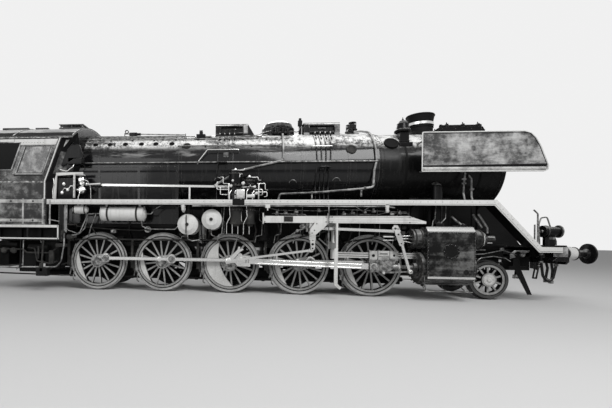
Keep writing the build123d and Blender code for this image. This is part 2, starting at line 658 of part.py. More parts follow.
SAND_BOXES = [             # low X, high X, run of the sloping front
    (-399, 420, 185),
    (1801, 2670, 0)]
boxes = []
for x0, x1, slope in SAND_BOXES:
    hopper = outline((-SAND_HALF - 130, 3500), (-SAND_HALF, 3960), (-SAND_HALF, SAND_TOP - 40),
                     (-SAND_HALF + 40, SAND_TOP), (SAND_HALF - 40, SAND_TOP),
                     (SAND_HALF, SAND_TOP - 40), (SAND_HALF, 3960), (SAND_HALF + 130, 3500))
    box = cross(hopper, x0, x1)
    if slope:
        wedge = outline((x1 - 1, SAND_TOP), (x1, SAND_TOP), (x1 + slope, 3890), (x1 + slope, 3700),
                        (x1 - 1, 3700))
        box += slab(wedge, 40 - SAND_HALF, SAND_HALF - 40)
    box -= block(x0 + 130, x1 - 130, -SAND_HALF - 300, -SAND_HALF + 60, 3900, SAND_TOP - 60)
    box -= block(x0 + 130, x1 - 130, SAND_HALF - 60, SAND_HALF + 300, 3900, SAND_TOP - 60)
    boxes.append(box - boiler_cut() - block(x0 - 50, x1 + slope + 50, -900, 900, 3000, 3640))
save("sandboxes", *boxes)

PRE_TOP = 4080.0
PRE_HALF = 320.0
PRE_BAR_R = 32.0
PRE_CLAMPS = (5238.0, 5607.0, 5951.0)
preheater = slab(outline((4975, 3700), (4975, 4020), (5060, PRE_TOP), (6040, PRE_TOP), (6090, 3990),
                         (6090, 3700)), -PRE_HALF, PRE_HALF)
for y in (50 - PRE_HALF, PRE_HALF - 50):
    preheater += round_x(y, PRE_TOP + PRE_BAR_R - 4, PRE_BAR_R, 5090, 6010)
    for x in PRE_CLAMPS:
        preheater += block(x - 24, x + 24, y - 45, y + 45, PRE_TOP - 20, PRE_TOP + 2 * PRE_BAR_R + 14)
        preheater += round_z(x, y, 12, PRE_TOP, PRE_TOP + 112)
preheater -= round_x(0, BOILER_Z, SMOKE_R + SEAT, BARREL_X1, SMOKE_X1)
preheater -= round_z(CHIMNEY_X, 0, CHIMNEY_R + 60 + CLEAR, 3600, CHIMNEY_TOP)
save("preheater_box", preheater)

BELL_X = 4077.0
BELL_Y = -600.0
BELL_Z = 3891.0            # foot of the bell
bell = revolve(make_face(Polyline(
    (0, 0, 0), (172, 0, 0), (172, 0, 34), (152, 0, 60), (122, 0, 190), (78, 0, 256), (24, 0, 280),
    (20, 0, 306), (0, 0, 319), close=True)), Axis.Z)
bell = Pos(BELL_X, BELL_Y, BELL_Z) * bell
bell += block(BELL_X - 104, BELL_X + 104, BELL_Y - 104, BELL_Y + 104, 3400, BELL_Z + 10)
bell += block(BELL_X - 150, BELL_X + 150, BELL_Y - 190, BELL_Y + 130, 3400, 3600)
bell -= round_x(0, BOILER_Z, SMOKE_R + SEAT, BARREL_X1 + 70, SMOKE_X1)
VALVES = [                 # X, Y, stem radius, body radius, foot of the body, top
    (3060, -110, 49, 70, 4120, 4290),
    (3060, 110, 49, 70, 4120, 4290),
    (1758, -100, 30, 58, 4225, 4416)]
valves = [bell]
for x, y, stem_r, r, foot_z, top in VALVES:
    valve = round_z(x, y, stem_r, 3900, foot_z + 10) + round_z(x, y, r, foot_z, top - 60)
    valve += round_z(x, y, r * 0.6, top - 70, top)
    valves.append(valve - boiler_cut())
save("boiler_mountings", *valves)


# Running boards: level, sloping and front parts with the edge strip
def running_board():
    """Board on the right side."""
    top = BOARD_TOP
    strip = outline((BOARD_X0, top), (BOARD_X1, top), (STEP_X, FRONT_TOP), (FRONT_X, FRONT_TOP),
                    (FRONT_X, FRONT_TOP - EDGE_H + 30), (STEP_X - 30, FRONT_TOP - EDGE_H + 30),
                    (BOARD_X1 - 45, top - EDGE_H), (BOARD_X0, top - EDGE_H))
    plate = outline((BOARD_X0, top), (BOARD_X1, top), (STEP_X, FRONT_TOP), (FRONT_X, FRONT_TOP),
                    (FRONT_X, FRONT_TOP - BOARD_T), (STEP_X - 10, FRONT_TOP - BOARD_T),
                    (BOARD_X1 - 10, top - BOARD_T), (BOARD_X0, top - BOARD_T))
    return slab(strip, BOARD_OUT - 14, BOARD_OUT) + slab(plate, BOARD_IN, BOARD_OUT)


# Each bracket stands on the frame and reaches out under the board
BRACKET_X = (-4165.0, -2475.0, -688.0, 825.0, 2475.0, 4140.0, 5560.0)
boards = pair(running_board())
for x in BRACKET_X:
    low = FRAME_TOP - 80
    arm = outline((-FRAME_OUT, low), (-FRAME_OUT, low + 150), (-900, 1520),
                  (-900, BOARD_TOP - BOARD_T), (-BOARD_OUT + 14, BOARD_TOP - BOARD_T),
                  (-BOARD_OUT + 14, BOARD_TOP - 80), (-1000, 2060), (-940, 1980), (-940, 1460))
    boards += pair(cross(arm, x - 8, x + 8))
boards.append(block(STEP_X, BEAM_X, -BOARD_IN, BOARD_IN, FRONT_TOP - BOARD_T, FRONT_TOP))
save("running_boards", *boards)

# Smoke deflectors with their stays to the smokebox
DEF_NOSE = [               # X back from the front edge, share of the height
    (90, 0.0),
    (10, 0.05),
    (0, 0.14),
    (150, 0.62),
    (250, 0.83),
    (340, 0.94),
    (470, 1.0)]
nose = [(DEF_X1 - back, DEF_Z0 + share * (DEF_Z1 - DEF_Z0)) for back, share in DEF_NOSE]
face = outline((DEF_X0, DEF_Z0), *nose, (DEF_X0, DEF_Z1))
deflector = slab(face, DEF_Y, DEF_Y + DEF_T)
for x in (4350, 5250, 6120):
    for z in (2880, 3560):
        deflector += block(x - 16, x + 16, -DEF_Y, -sqrt((SMOKE_R + SEAT)**2 - (z - BOILER_Z)**2) + 12,
                           z - 16, z + 16)
deflector -= round_x(0, BOILER_Z, SMOKE_R + 12 + SEAT, BARREL_X1, SMOKE_X1 + 10)
save("smoke_deflectors", *pair(deflector))


# Cylinders with valve chest, covers and gland
def cylinder():
    """Right cylinder block."""
    x0 = CYL_X - CYL_L / 2
    x1 = CYL_X + CYL_L / 2
    lagging = Pos(-CYL_Y, WHEEL_R) * Circle(CYL_R)
    lagging += outline((-CYL_OUT, 490), (-CYL_OUT, 1500), (-CYL_OUT + 90, 1600),
                       (-FRAME_OUT, 1600), (-FRAME_OUT, 640), (-CYL_Y, 640),
                       (-CYL_Y, WHEEL_R - CYL_R), (-CYL_OUT + 130, 400))
    solid = cross(lagging, x0, x1)
    for end, x in ((-1, x0), (1, x1)):
        solid += round_x(-CYL_Y, WHEEL_R, CYL_R - 45, min(x, x + end * CYL_COVER / 2),
                         max(x, x + end * CYL_COVER / 2))
        solid += round_x(-CYL_Y - 40, CHEST_Z, CHEST_R, min(x, x + end * CYL_COVER * 1.6),
                         max(x, x + end * CYL_COVER * 1.6))
    solid += round_x(-CYL_Y, WHEEL_R, 92, x0 - CYL_COVER, x0)
    solid += round_x(-CYL_Y - 40, CHEST_Z, CHEST_R - 45, x1, x1 + CYL_COVER * 2.5)
    solid += round_x(-CYL_Y - 40, CHEST_Z, 70, x1, x1 + CYL_COVER * 3.1)
    solid += round_x(-CYL_Y - 40, CHEST_Z, 32, x1, x1 + CYL_COVER * 4.6)
    solid += round_x(-CYL_Y, WHEEL_R, 110, x1, x1 + CYL_COVER * 0.9)
    solid -= round_x(-CYL_Y, WHEEL_R, PISTON_ROD_R + RUNNING, x0 - CYL_COVER - 10, CYL_X + 60)
    return solid


save("cylinders", *pair(cylinder()))

# Outside steam pipes from smokebox to valve chest
PIPE_R = 115.0
PIPE_Y = 850.0
PIPE_BEND = 2520.0
steam_pipe = round_z(CYL_X, -PIPE_Y, PIPE_R, 1600, PIPE_BEND)
steam_pipe += Pos(CYL_X, -PIPE_Y, PIPE_BEND) * Sphere(PIPE_R)
steam_pipe += Pos(CYL_X, -PIPE_Y, PIPE_BEND) * Rot(-60, 0, 0) * Cylinder(
    PIPE_R, 400, align=(Align.CENTER, Align.CENTER, Align.MIN))
steam_pipe += round_z(CYL_X, -PIPE_Y, PIPE_R + 40, 1600, 1640)
steam_pipe -= round_x(0, BOILER_Z, SMOKE_R + SEAT, BARREL_X1, SMOKE_X1)
save("steam_pipes", *pair(steam_pipe.solids()[0]))


# Guide bars, motion brackets and the carrier beam of the valve gear
GUIDE_X1 = CYL_X - CYL_L / 2 - CYL_COVER / 2
BRACKET_MID = 2360.0
guide = block(BAR_X0, GUIDE_X1, -CYL_Y - BAR_W / 2, -CYL_Y + BAR_W / 2, BAR_Z0, BAR_Z0 + BAR_H)
save("guide_bars", *pair(guide))

MOTION_OUT = BOARD_OUT + 5
MOTION_TOP = 1665.0
MOTION_LOW = 1080.0
motion = outline((-FRAME_OUT, FRAME_TOP - 320), (-FRAME_OUT, MOTION_TOP), (-MOTION_OUT, MOTION_TOP),
                 (-MOTION_OUT, MOTION_LOW), (-CYL_Y - 90, MOTION_LOW), (-CYL_Y - 90, BAR_Z0 - 30),
                 (-CYL_Y + 90, BAR_Z0 - 30), (-CYL_Y + 90, MOTION_LOW), (-FRAME_OUT - 120, MOTION_LOW))
motion_plate = cross(motion, BRACKET_MID - 20, BRACKET_MID + 20)
motion_plate -= cross(Pos(-860, 1400) * RectangleRounded(360, 300, 60),
                      BRACKET_MID - 50, BRACKET_MID + 50)
motion_plate -= cross(Pos(-1280, 1420) * RectangleRounded(220, 390, 60),
                      BRACKET_MID - 50, BRACKET_MID + 50)
foot = block(BRACKET_MID + 20, BAR_X0, -CYL_Y - 70, -CYL_Y + 70, BAR_Z0 - 30, BAR_Z0 + BAR_H + 30)
strap = outline((2300, 1090), (2375, 1090), (2375, 330), (2460, 250), (2420, 205),
                (2300, 310))
hanger = slab(strap, MOTION_OUT, MOTION_OUT + 20)
hanger += block(2300, 2380, -MOTION_OUT - 20, -MOTION_OUT + 40, MOTION_LOW, MOTION_LOW + 30)

CARRIER_Y = BOARD_OUT - 90
CARRIER_T = 40.0
carrier = outline((760, 1815), (3880, 1830), (4150, 1740), (4240, 1715), (4240, MOTION_TOP),
                  (760, MOTION_TOP))
carrier = slab(carrier, CARRIER_Y, CARRIER_Y + CARRIER_T)
save("motion_frame", *pair(motion_plate + foot), *pair(hanger), *pair(carrier))


# Valve gear, held at its rest place, each side at its own crank angle
LINK_HALF = 250.0
BLOCK_UP = 216.0           # radius rod's pin above the trunnion
RADIUS_L = 1850.0
RADIUS_Y = LINK_Y + LINK_T
RADIUS_T = 34.0
LEVER_TOP = 90.0           # lever's head above the radius rod's pin


def meet(ax, az, ra, bx, bz, rb):
    """Lower of the two points that lie ra from A and rb from B."""
    gap = hypot(bx - ax, bz - az)
    along = (ra**2 - rb**2 + gap**2) / (2 * gap)
    off = sqrt(ra**2 - along**2)
    ux = (bx - ax) / gap
    uz = (bz - az) / gap
    return ax + along * ux + off * uz, az + along * uz - off * ux


gear = []
for side in SIDES:
    px, pz = crank_pin(side)
    arm_turn = radians(CRANKS[side] - CRANK_DEG)
    ex = px - ECC_ARM * cos(arm_turn)
    ez = WHEEL_R + pz - ECC_ARM * sin(arm_turn)
    foot_x, foot_z = meet(ex, ez, ECC_ROD_L, LINK_X, LINK_Z, LINK_ARM)
    swing = degrees(atan2(foot_x - LINK_X, LINK_Z - foot_z))
    link_face = outline((-18, -220), (62, -220), (40, 0), (62, LINK_HALF), (-18, LINK_HALF),
                        (-40, 0))
    link_face += outline((-30, -LINK_ARM), (30, -LINK_ARM), (58, -210), (-14, -210))
    link_face += Pos(0, -LINK_ARM) * Circle(44)
    link_face -= outline((12, -180), (32, -180), (12, 0), (32, LINK_HALF - 40),
                         (12, LINK_HALF - 40), (-12, 0))
    link_face += Rectangle(80, 60)
    place = Pos(LINK_X, LINK_Z) * Rot(0, 0, swing)
    link = slab(place * link_face, LINK_Y, LINK_Y + LINK_T)
    link += round_y(foot_x, foot_z, STUB_R - 10, ECC_Y + ECC_T, LINK_Y)
    link += round_y(LINK_X, LINK_Z, STUB_R, RADIUS_Y, RADIUS_Y + 45)
    eccentric = bar(ex, ez, foot_x, foot_z, 50, ECC_Y, ECC_Y + ECC_T)
    eccentric += round_y(ex, ez, 66, ECC_Y, ECC_Y + ECC_T)
    eccentric += round_y(foot_x, foot_z, 46, ECC_Y, ECC_Y + ECC_T)
    arm = outline((-75, -28), (-40, -74), (40, -20), (268, 212), (345, 262), (318, 296), (262, 266),
                  (268, 330), (226, 334), (204, 258), (20, 84), (-66, 40))
    turned = Pos(ex, ez) * Rot(0, 0, degrees(arm_turn)) * arm
    eccentric += slab(turned, ECC_Y, ECC_Y + ECC_T)
    up = radians(swing)
    pin_x = LINK_X - BLOCK_UP * sin(up)
    pin_z = LINK_Z + BLOCK_UP * cos(up)
    head_x = pin_x + RADIUS_L
    head_z = pin_z - 56
    radius = bar(pin_x - 70, pin_z + 2, head_x, head_z, 60, RADIUS_Y, RADIUS_Y + RADIUS_T)
    low_x = cross_pin_x(side) + UNION_X
    low_z = WHEEL_R - UNION_DROP
    top_x = head_x + (head_x - low_x) * LEVER_TOP / (head_z - low_z)
    lever = bar(top_x, head_z + LEVER_TOP, low_x, low_z, 56, LINK_Y, LINK_Y + LINK_T)
    lever += round_y(head_x, head_z, 48, LINK_Y, LINK_Y + LINK_T)
    lever += round_y(low_x, low_z, 40, LINK_Y, LINK_Y + LINK_T)
    valve_x = head_x + (low_x - head_x) * (head_z - CHEST_Z) / (head_z - low_z)
    spindle = round_x(-CYL_Y - 40, CHEST_Z, 26, valve_x, CYL_X - CYL_L / 2 - CYL_COVER * 1.6)
    spindle += block(valve_x - 50, valve_x + 60, -LINK_Y, -CYL_Y, CHEST_Z - 32, CHEST_Z + 32)
    trunnion = block(LINK_X - 70, LINK_X + 70, -RADIUS_Y - 65, -RADIUS_Y - 45, LINK_Z - 60, 1700)
    trunnion += block(LINK_X - 70, LINK_X + 70, -CARRIER_Y, -RADIUS_Y - 45, MOTION_TOP, 1700)
    gear += [on_side(piece, side) for piece in (link, eccentric, radius, lever, spindle, trunnion)]

REACH_Y = 1036.0
REACH_T = 16.0
REACH_Z = 2520.0           # its front end
reach = bar(-3955, REACH_Z + 68, 560, REACH_Z, 50, REACH_Y, REACH_Y + REACH_T)
reach += block(520, 560, -REACH_Y - REACH_T, -REACH_Y, BOARD_TOP, REACH_Z)
reach += block(-990, -950, -REACH_Y - REACH_T, -REACH_Y, BOARD_TOP, REACH_Z + 20)
save("valve_gear", *gear, reach)


# Cab side panels with a glazed window, an open window and a doorway
WINDOW_LEAN = CAB_RAKE
side_face = outline((CAB_REAR, CAB_LOW), (CAB_SIDE_X, CAB_LOW), (CAB_SIDE_X, CAB_RAKE_Z),
                    (CAB_SIDE_X + CAB_RAKE * (CAB_EAVES - CAB_RAKE_Z), CAB_EAVES),
                    (CAB_REAR, CAB_EAVES))


def window(x0, x1, z0, z1):
    """Leaning window outline."""
    lean = WINDOW_LEAN * (z1 - z0)
    return outline((x0, z0), (x1, z0), (x1 + lean, z1), (x0 + lean, z1))


GLAZED = (-5080.0, -4440.0, 2790.0, 3430.0)
OPEN_WINDOW = (-5500.0, -5215.0, 2890.0, 3500.0)
side_face -= window(*GLAZED)
side_face -= window(*OPEN_WINDOW)
side_face -= Pos((DOOR_X0 + DOOR_X1) / 2, (CAB_LOW + 40 + 3430) / 2) * Rectangle(
    DOOR_X1 - DOOR_X0, 3430 - CAB_LOW - 40)
panel = slab(side_face, CAB_HALF - CAB_WALL, CAB_HALF)
LUG_Z = (1780.0, 2560.0)   # middle of each door hinge
PIN_X = DOOR_X1 - 20
PIN_Y = CAB_HALF - CAB_WALL - 14
for z in LUG_Z:
    for end in (-1, 1):
        panel += block(DOOR_X1, DOOR_X1 + 60, -PIN_Y - 14, -PIN_Y + 14, z + end * 38 - 12, z + end * 38 + 12)
        panel += block(PIN_X - 14, DOOR_X1, -PIN_Y - 12, -PIN_Y + 14, z + end * 38 - 12, z + end * 38 + 12)
    panel += round_z(PIN_X, -PIN_Y, DOOR_PIN_R, z - 50, z + 50)
save("cab_sides", *pair(panel))

glass = slab(window(GLAZED[0] + 1, GLAZED[1] - 1, GLAZED[2], GLAZED[3]),
             CAB_HALF - CAB_WALL + 11, CAB_HALF - 11)

# Roof: one arc across the cab
ROOF_HALF = CAB_HALF + ROOF_OVER
ROOF_RAD = (ROOF_HALF**2 + ROOF_RISE**2) / (2 * ROOF_RISE)
ROOF_TOP = CAB_EAVES + ROOF_T + ROOF_RISE


def roof_arc(drop, half):
    """Arc across the cab, lowered by drop."""
    top = ROOF_TOP - drop
    z = top - (ROOF_RAD - sqrt(ROOF_RAD**2 - half**2))
    return (-half, z), (0, top), (half, z)


upper = roof_arc(0, ROOF_HALF)
lower = roof_arc(ROOF_T, ROOF_HALF)
roof_face = make_face(
    ThreePointArc(*upper).edges() + Line(upper[2], lower[2]).edges()
    + ThreePointArc(*lower).edges() + Line(lower[0], upper[0]).edges())
roof = cross(roof_face, ROOF_REAR, CAB_FRONT)
VENT = (-4580.0, -3942.0, 330.0, 4207.0, 4301.0)     # X, X, half width, foot and top
x0, x1, half, z0, z1 = VENT
vent = block(x0, x1, -half, half, 4000, z0)
vent += block(x0 - 20, x1 + 20, -half - 20, half + 20, z1 - 18, z1)
for x in (x0 + 20, (x0 + x1) / 2, x1 - 20):
    for y in (20 - half, half - 20):
        vent += block(x - 15, x + 15, y - 15, y + 15, z0 - 5, z1 - 10)
vent += slab(outline((x1 - 20, 4000), (x1 - 20, z0), (x1 + 8, z0), (CAB_FRONT, 4150), (CAB_FRONT, 4000)),
             -half, half)
vent -= cross(make_face(ThreePointArc(*lower).edges() + Line(lower[2], (ROOF_HALF, 3000)).edges()
                        + Line((ROOF_HALF, 3000), (-ROOF_HALF, 3000)).edges()
                        + Line((-ROOF_HALF, 3000), lower[0]).edges()), -6000, -3600)
save("cab_roof", roof + vent)

# Front wall: splayed at both sides, level with the roof in the middle
inner_top = roof_arc(ROOF_T, CAB_HALF - CAB_WALL)
cab_space = make_face(
    ThreePointArc(*inner_top).edges()
    + Polyline(inner_top[2], (CAB_HALF - CAB_WALL, CAB_LOW), (-CAB_HALF + CAB_WALL, CAB_LOW),
               inner_top[0]).edges())


def splay_edge(shift):
    """Front edge's line in X and Z where it meets the side panel."""
    x = CAB_SIDE_X + shift
    return [(x, CAB_LOW - 200), (x, CAB_RAKE_Z), (x + CAB_RAKE * 1800, CAB_RAKE_Z + 1800)]


def splayed(points):
    """Prism that runs forward and inward from the right side panel."""
    start = CAB_HALF - CAB_WALL
    face = Plane.XZ.offset(start) * outline(*points)
    run = start - 300
    return extrude(face, run * sqrt(1 + CAB_SPLAY**2), dir=(CAB_SPLAY, 1, 0))


edge = splay_edge(0)
back = splay_edge(-CAB_WALL * 1.35)
wall = splayed(edge + back[::-1])
outside = splayed(edge + [(3000, CAB_RAKE_Z + 1800), (3000, CAB_LOW - 200)])
above = block(-5000, -3000, -CAB_HALF, CAB_HALF, BOARD_TOP, 5000)
centre = cross(cab_space, CAB_FRONT - CAB_WALL, CAB_FRONT) & above
centre = centre - outside - left(outside)
front = wall + left(wall)
front = (front & cross(cab_space, CAB_REAR, CAB_FRONT)) & above
front += centre
front -= cross(offset(firebox_face, 6), -5000, BARREL_X0)
FRONT_WINDOW = (100.0, 430.0, 2760.0, 2800.0, 3330.0)    # in from the side twice, sills, top
near, far, sill_in, sill_out, head = FRONT_WINDOW
front_window = outline((near - CAB_HALF, sill_out), (far - CAB_HALF, sill_in), (far - CAB_HALF, head),
                       (near - CAB_HALF, head))
front -= cross(front_window, -5000, -3000)
front -= left(cross(front_window, -5000, -3000))
pane = splayed(splay_edge(-15) + splay_edge(-23)[::-1]) & cross(front_window, -5000, -3000)
save("cab_glass", *pair(glass), *pair(pane))
corner = block(CAB_SIDE_X, BOARD_X0, -CAB_HALF + CAB_WALL, -FIREBOX_SIDE - 20, CAB_LOW + 40, BOARD_TOP)
save("cab_front", *front.solids(), *pair(corner))

# Cab floor and its support
floor = block(CAB_REAR, FIREBOX_X0 - 4, -CAB_HALF + CAB_WALL, CAB_HALF - CAB_WALL, CAB_LOW, CAB_LOW + 40)
save("cab_floor", floor)

RAIL_LOW = 1205.0          # lower rail under the cab
RAIL_HIGH = 1500.0         # its upper rail
POSTS_X = (-5900, -4800, -4010)
support = block(-6000, -3970, -CAB_HALF, -CAB_HALF + 60, RAIL_HIGH, CAB_LOW)
support += block(-6000, -3990, -CAB_HALF, -CAB_HALF + 40, RAIL_LOW, RAIL_LOW + 45)
for x in POSTS_X:
    support += block(x, x + 40, -CAB_HALF, -FRAME_OUT, RAIL_HIGH, CAB_LOW)
    support += block(x, x + 40, -CAB_HALF, -CAB_HALF + 40, RAIL_LOW, RAIL_HIGH)
    support += block(x, x + 40, -FRAME_OUT - 40, -FRAME_OUT, 1000, RAIL_HIGH)
support += block(-4010, -3920, -CAB_HALF + 30, -CAB_HALF + 70, RAIL_LOW, 2150)
HUNG_BOX = (-4560.0, -4290.0, 358.0, 546.0)    # low X, high X, low Z, high Z
box_x0, box_x1, box_z0, box_z1 = HUNG_BOX
support += block(box_x0, box_x1, -CAB_HALF + 5, -CAB_HALF + 150, box_z0, box_z1)
HUNG_RODS = [              # X, low Z
    ((box_x0 + box_x1) / 2, box_z1 - 6),
    (-4960.0, 590.0)]
for x, z in HUNG_RODS:
    support += round_z(x, -CAB_HALF + 20, 13, z, RAIL_LOW + 5)
eye_x, eye_z = HUNG_RODS[1]
support += block(eye_x - 30, eye_x + 30, -CAB_HALF + 5, -CAB_HALF + 35, eye_z - 30, eye_z + 30)
steps = []
STEP_OUT = CAB_HALF - 50
STEP_IN = CAB_HALF - 190
STEP_LOW = 450.0
STEP_RISE = 300.0
for x in (-5990, -5660):
    steps += pair(block(x, x + 20, -STEP_OUT, -STEP_IN, STEP_LOW, RAIL_HIGH))
tread = block(-5970, -5660, -STEP_OUT, -STEP_IN, STEP_LOW, STEP_LOW + 20)
for n in range(4):
    steps += pair(Pos(0, 0, n * STEP_RISE) * tread)
save("cab_supports", *pair(support), *steps)

# Cab doors: half doors hinged at their front edge, opening inward
for side in SIDES:
    leaf = block(DOOR_X0 + CLEAR, DOOR_X1 - CLEAR, -CAB_HALF + 2, -CAB_HALF + 2 + DOOR_T,
                 CAB_LOW + 50, DOOR_TOP)
    for z in LUG_Z:
        leaf -= block(PIN_X - 32, DOOR_X1, -CAB_HALF, -PIN_Y, z - 56, z + 56)
        leaf += block(PIN_X - 120, PIN_X, -CAB_HALF + 2 + DOOR_T - 1, -PIN_Y + 4, z - 24, z + 24)
        leaf += round_z(PIN_X, -PIN_Y, 22, z - 24, z + 24)
        leaf -= round_z(PIN_X, -PIN_Y, DOOR_PIN_R + RUNNING, z - 60, z + 60)
    save(f"cab_door_{side}", on_side(leaf, side))

back = cross(offset(firebox_face, -60), FIREBOX_X0 - 50, FIREBOX_X0)
back += block(FIREBOX_X0 - 90, FIREBOX_X0 - 50, -260, 260, 2000, 2340)
back += block(FIREBOX_X0 - 260, FIREBOX_X0 - 50, -620, -560, 2900, 2960)
back += round_x(-300, 3350, 90, FIREBOX_X0 - 90, FIREBOX_X0 - 50)
back += round_x(200, 3400, 80, FIREBOX_X0 - 90, FIREBOX_X0 - 50)
save("backhead", back)

seat = block(-4980, -4560, -CAB_HALF + CAB_WALL, -1060, CAB_LOW + 40, 2240)
save("cab_seats", *pair(seat))

# Leading truck
truck = block(5450, 6350, -520, -480, 330, 600)
truck -= round_y(LEAD_X, LEAD_R, LEAD_AXLE_R + RUNNING, 400, 600)
truck += left(truck)
truck += block(5450, 5490, -480, 480, 330, 600)
truck += block(6310, 6350, -480, 480, 330, 600)
truck += block(5750, 6050, -520, 520, 600, 640)
truck += round_z(LEAD_X, 0, 130, 640, 780 - CLEAR)
tongue = extrude(Plane.XY.offset(440) * outline((5450, -300), (5450, 300), (PIVOT_X, 95), (PIVOT_X, -95)), 60)
truck += tongue + round_z(PIVOT_X, 0, 125, 420, 520)
truck -= round_z(PIVOT_X, 0, PIVOT_R + RUNNING, 300, 900)
save("truck_frame", truck)

# Reservoirs
RESERVOIRS = [             # low X, high X, outward Y, Z, radius
    (-3092, -1964, BOARD_OUT - 235, 1858, 170),
    (-3767, -3362, BOARD_OUT - 175, 1952, 100)]
tanks = []
for x0, x1, y, z, r in RESERVOIRS:
    tank = spun_x([(x0, 0), (x0 + 20, r * 0.6), (x0 + 70, r), (x1 - 70, r), (x1 - 20, r * 0.6),
                   (x1, 0)], -y, z)
    for hang in (x0 + 160, x1 - 160):
        tank += block(hang - 25, hang + 25, -y - 40, -y + 40, z, BOARD_TOP - BOARD_T)
    tanks += pair(tank)
CROSS_TANKS = [            # X, Z, radius
    (-969, 1613, 236),
    (-413, 1734, 230)]
cradle = block(-780, -600, -FRAME_OUT + 10, -FRAME_IN - 10, FRAME_TOP, 1640)
for x, z, r in CROSS_TANKS:
    end = BOARD_OUT - 75
    face = make_face(Polyline((0, -end, 0), (r * 0.6, 20 - end, 0), (r, 80 - end, 0), (r, end - 80, 0),
                              (r * 0.6, end - 20, 0), (0, end, 0), close=True))
    tanks.append(Pos(x, 0, z) * revolve(face, Axis.Y))
    cradle -= round_y(x, z, r + SEAT, 0, 1000)
save("air_reservoirs", *tanks, *pair(cradle))

# Feed pump on the right running board
PUMP_Y = BOARD_OUT - 245
PUMP_BODIES = [            # X, radius, top
    (120, 140, 2860),
    (440, 105, 2700)]
pump = []
for x, r, z1 in PUMP_BODIES:
    body = round_z(x, -PUMP_Y, r, BOARD_TOP + 30, BOARD_TOP + 300)
    body += round_z(x, -PUMP_Y, r + 22, BOARD_TOP, BOARD_TOP + 30)
    body += round_z(x, -PUMP_Y, r * 0.4, BOARD_TOP + 300, BOARD_TOP + 380)
    body += round_z(x, -PUMP_Y, r + 8, BOARD_TOP + 380, z1)
    pump.append(body)
save("feed_pump", *pump)

# Handrails, lamps, brake gear, rail guards and cab steps
RAIL_Z = 3120.0
RAIL_Y = BOILER_R + 62
RAIL_R = 17.0
POST_R = 11.0
POST_X = [-3500.0 + 960.0 * n for n in range(8)]
rail = round_x(-RAIL_Y, RAIL_Z, RAIL_R, POST_X[0] - 150, POST_X[-1] + 160)
foot_y = sqrt(BOILER_R**2 - (RAIL_Z - POST_R - BOILER_Z)**2) + SEAT
for x in POST_X:
    rail += round_y(x, RAIL_Z, POST_R, foot_y, RAIL_Y)
save("handrails", *pair(rail))

LAMP_R = 132.0
LAMP_Z = 1540.0
lamps = []
for y in (-900, 900):
    lamp = spun_x([(6950, 0), (6950, LAMP_R), (7040, LAMP_R), (7060, LAMP_R - 16), (7270, LAMP_R - 34),
                   (7270, LAMP_R - 16), (7300, LAMP_R - 16), (7300, LAMP_R - 30), (7285, LAMP_R - 40),
                   (7285, 0)], y, LAMP_Z)
    lamp += block(6990, 7190, y - 40, y + 40, FRONT_TOP, LAMP_Z - LAMP_R + 40)
    lamps.append(lamp)
save("lamps", *lamps)

brakes = []
for x in COUPLED_X:
    ring = Pos(x, WHEEL_R) * (Circle(WHEEL_R + 70) - Circle(WHEEL_R + 11))
    ring = ring & (Pos(x - WHEEL_R - 50, WHEEL_R - 60) * Rectangle(200, 340))
    shoe = slab(ring, WHEEL_IN + 36, WHEEL_OUT - 14)
    edge_x = x - WHEEL_R - 60
    shoe += block(edge_x - 50, edge_x, -790, -730, WHEEL_R - 160, FRAME_TOP + 60)
    if x == COUPLED_X[-1]:
        shoe += block(edge_x - 70, edge_x + 20, -790, -FRAME_OUT, FRAME_TOP, FRAME_TOP + 60)
    else:
        shoe += block(edge_x - 50, edge_x, -790, -FRAME_OUT, FRAME_TOP - 60, FRAME_TOP)
    brakes += pair(shoe)
save("brake_gear", *brakes)

GUARD_Y = 700.0
GUARD_T = 16.0
guard = slab(outline((6480, 1010), (6600, 1010), (6625, 740), (6890, 95), (6800, 95), (6480, 740)),
             GUARD_Y, GUARD_Y + GUARD_T)
guard += block(6480, 6600, -GUARD_Y - GUARD_T, -FRAME_OUT, 985, 1010)
guard += block(6400, 6760, -GUARD_Y - GUARD_T, -GUARD_Y, 660, 740)
save("rail_guards", *pair(guard))

print("built", len(os.listdir("parts")), "nodes")
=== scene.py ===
"""Looks of a ten-coupled steam locomotive: finishes, fittings, floor, light and camera round its frame.

Drawing places are millimetres: X forward from the driving axle, Y to the left, Z up from the level that
the treads run on. The driving tyres' box says where that drawing lies in the shared frame, in metres.
"""
from __future__ import annotations

import logging
import math
from dataclasses import dataclass, field
from enum import Enum
from typing import Iterable, Sequence

import bmesh
import bpy
from mathutils import Matrix, Vector

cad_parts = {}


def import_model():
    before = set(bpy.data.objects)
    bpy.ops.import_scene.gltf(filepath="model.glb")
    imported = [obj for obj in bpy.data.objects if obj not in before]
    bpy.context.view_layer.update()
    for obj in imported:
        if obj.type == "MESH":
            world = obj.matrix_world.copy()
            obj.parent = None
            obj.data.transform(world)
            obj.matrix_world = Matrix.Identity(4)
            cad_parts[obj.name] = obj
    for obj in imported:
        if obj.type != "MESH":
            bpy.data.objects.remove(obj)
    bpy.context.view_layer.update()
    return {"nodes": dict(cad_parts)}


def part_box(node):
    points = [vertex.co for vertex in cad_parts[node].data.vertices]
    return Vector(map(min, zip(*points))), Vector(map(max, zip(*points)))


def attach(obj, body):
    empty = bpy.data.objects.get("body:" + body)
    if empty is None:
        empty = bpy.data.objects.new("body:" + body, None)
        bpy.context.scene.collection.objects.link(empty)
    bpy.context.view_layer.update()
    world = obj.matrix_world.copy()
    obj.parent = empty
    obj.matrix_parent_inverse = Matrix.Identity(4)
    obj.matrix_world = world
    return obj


LOG = logging.getLogger("engine")
PHOTO_W = 612
PHOTO_H = 408
PER_METRE = 1000
WELD = 0.0005
TURN_SEED = 7
ROOT = "engine"
Point = tuple[float, float, float]
Colour = tuple[float, float, float]

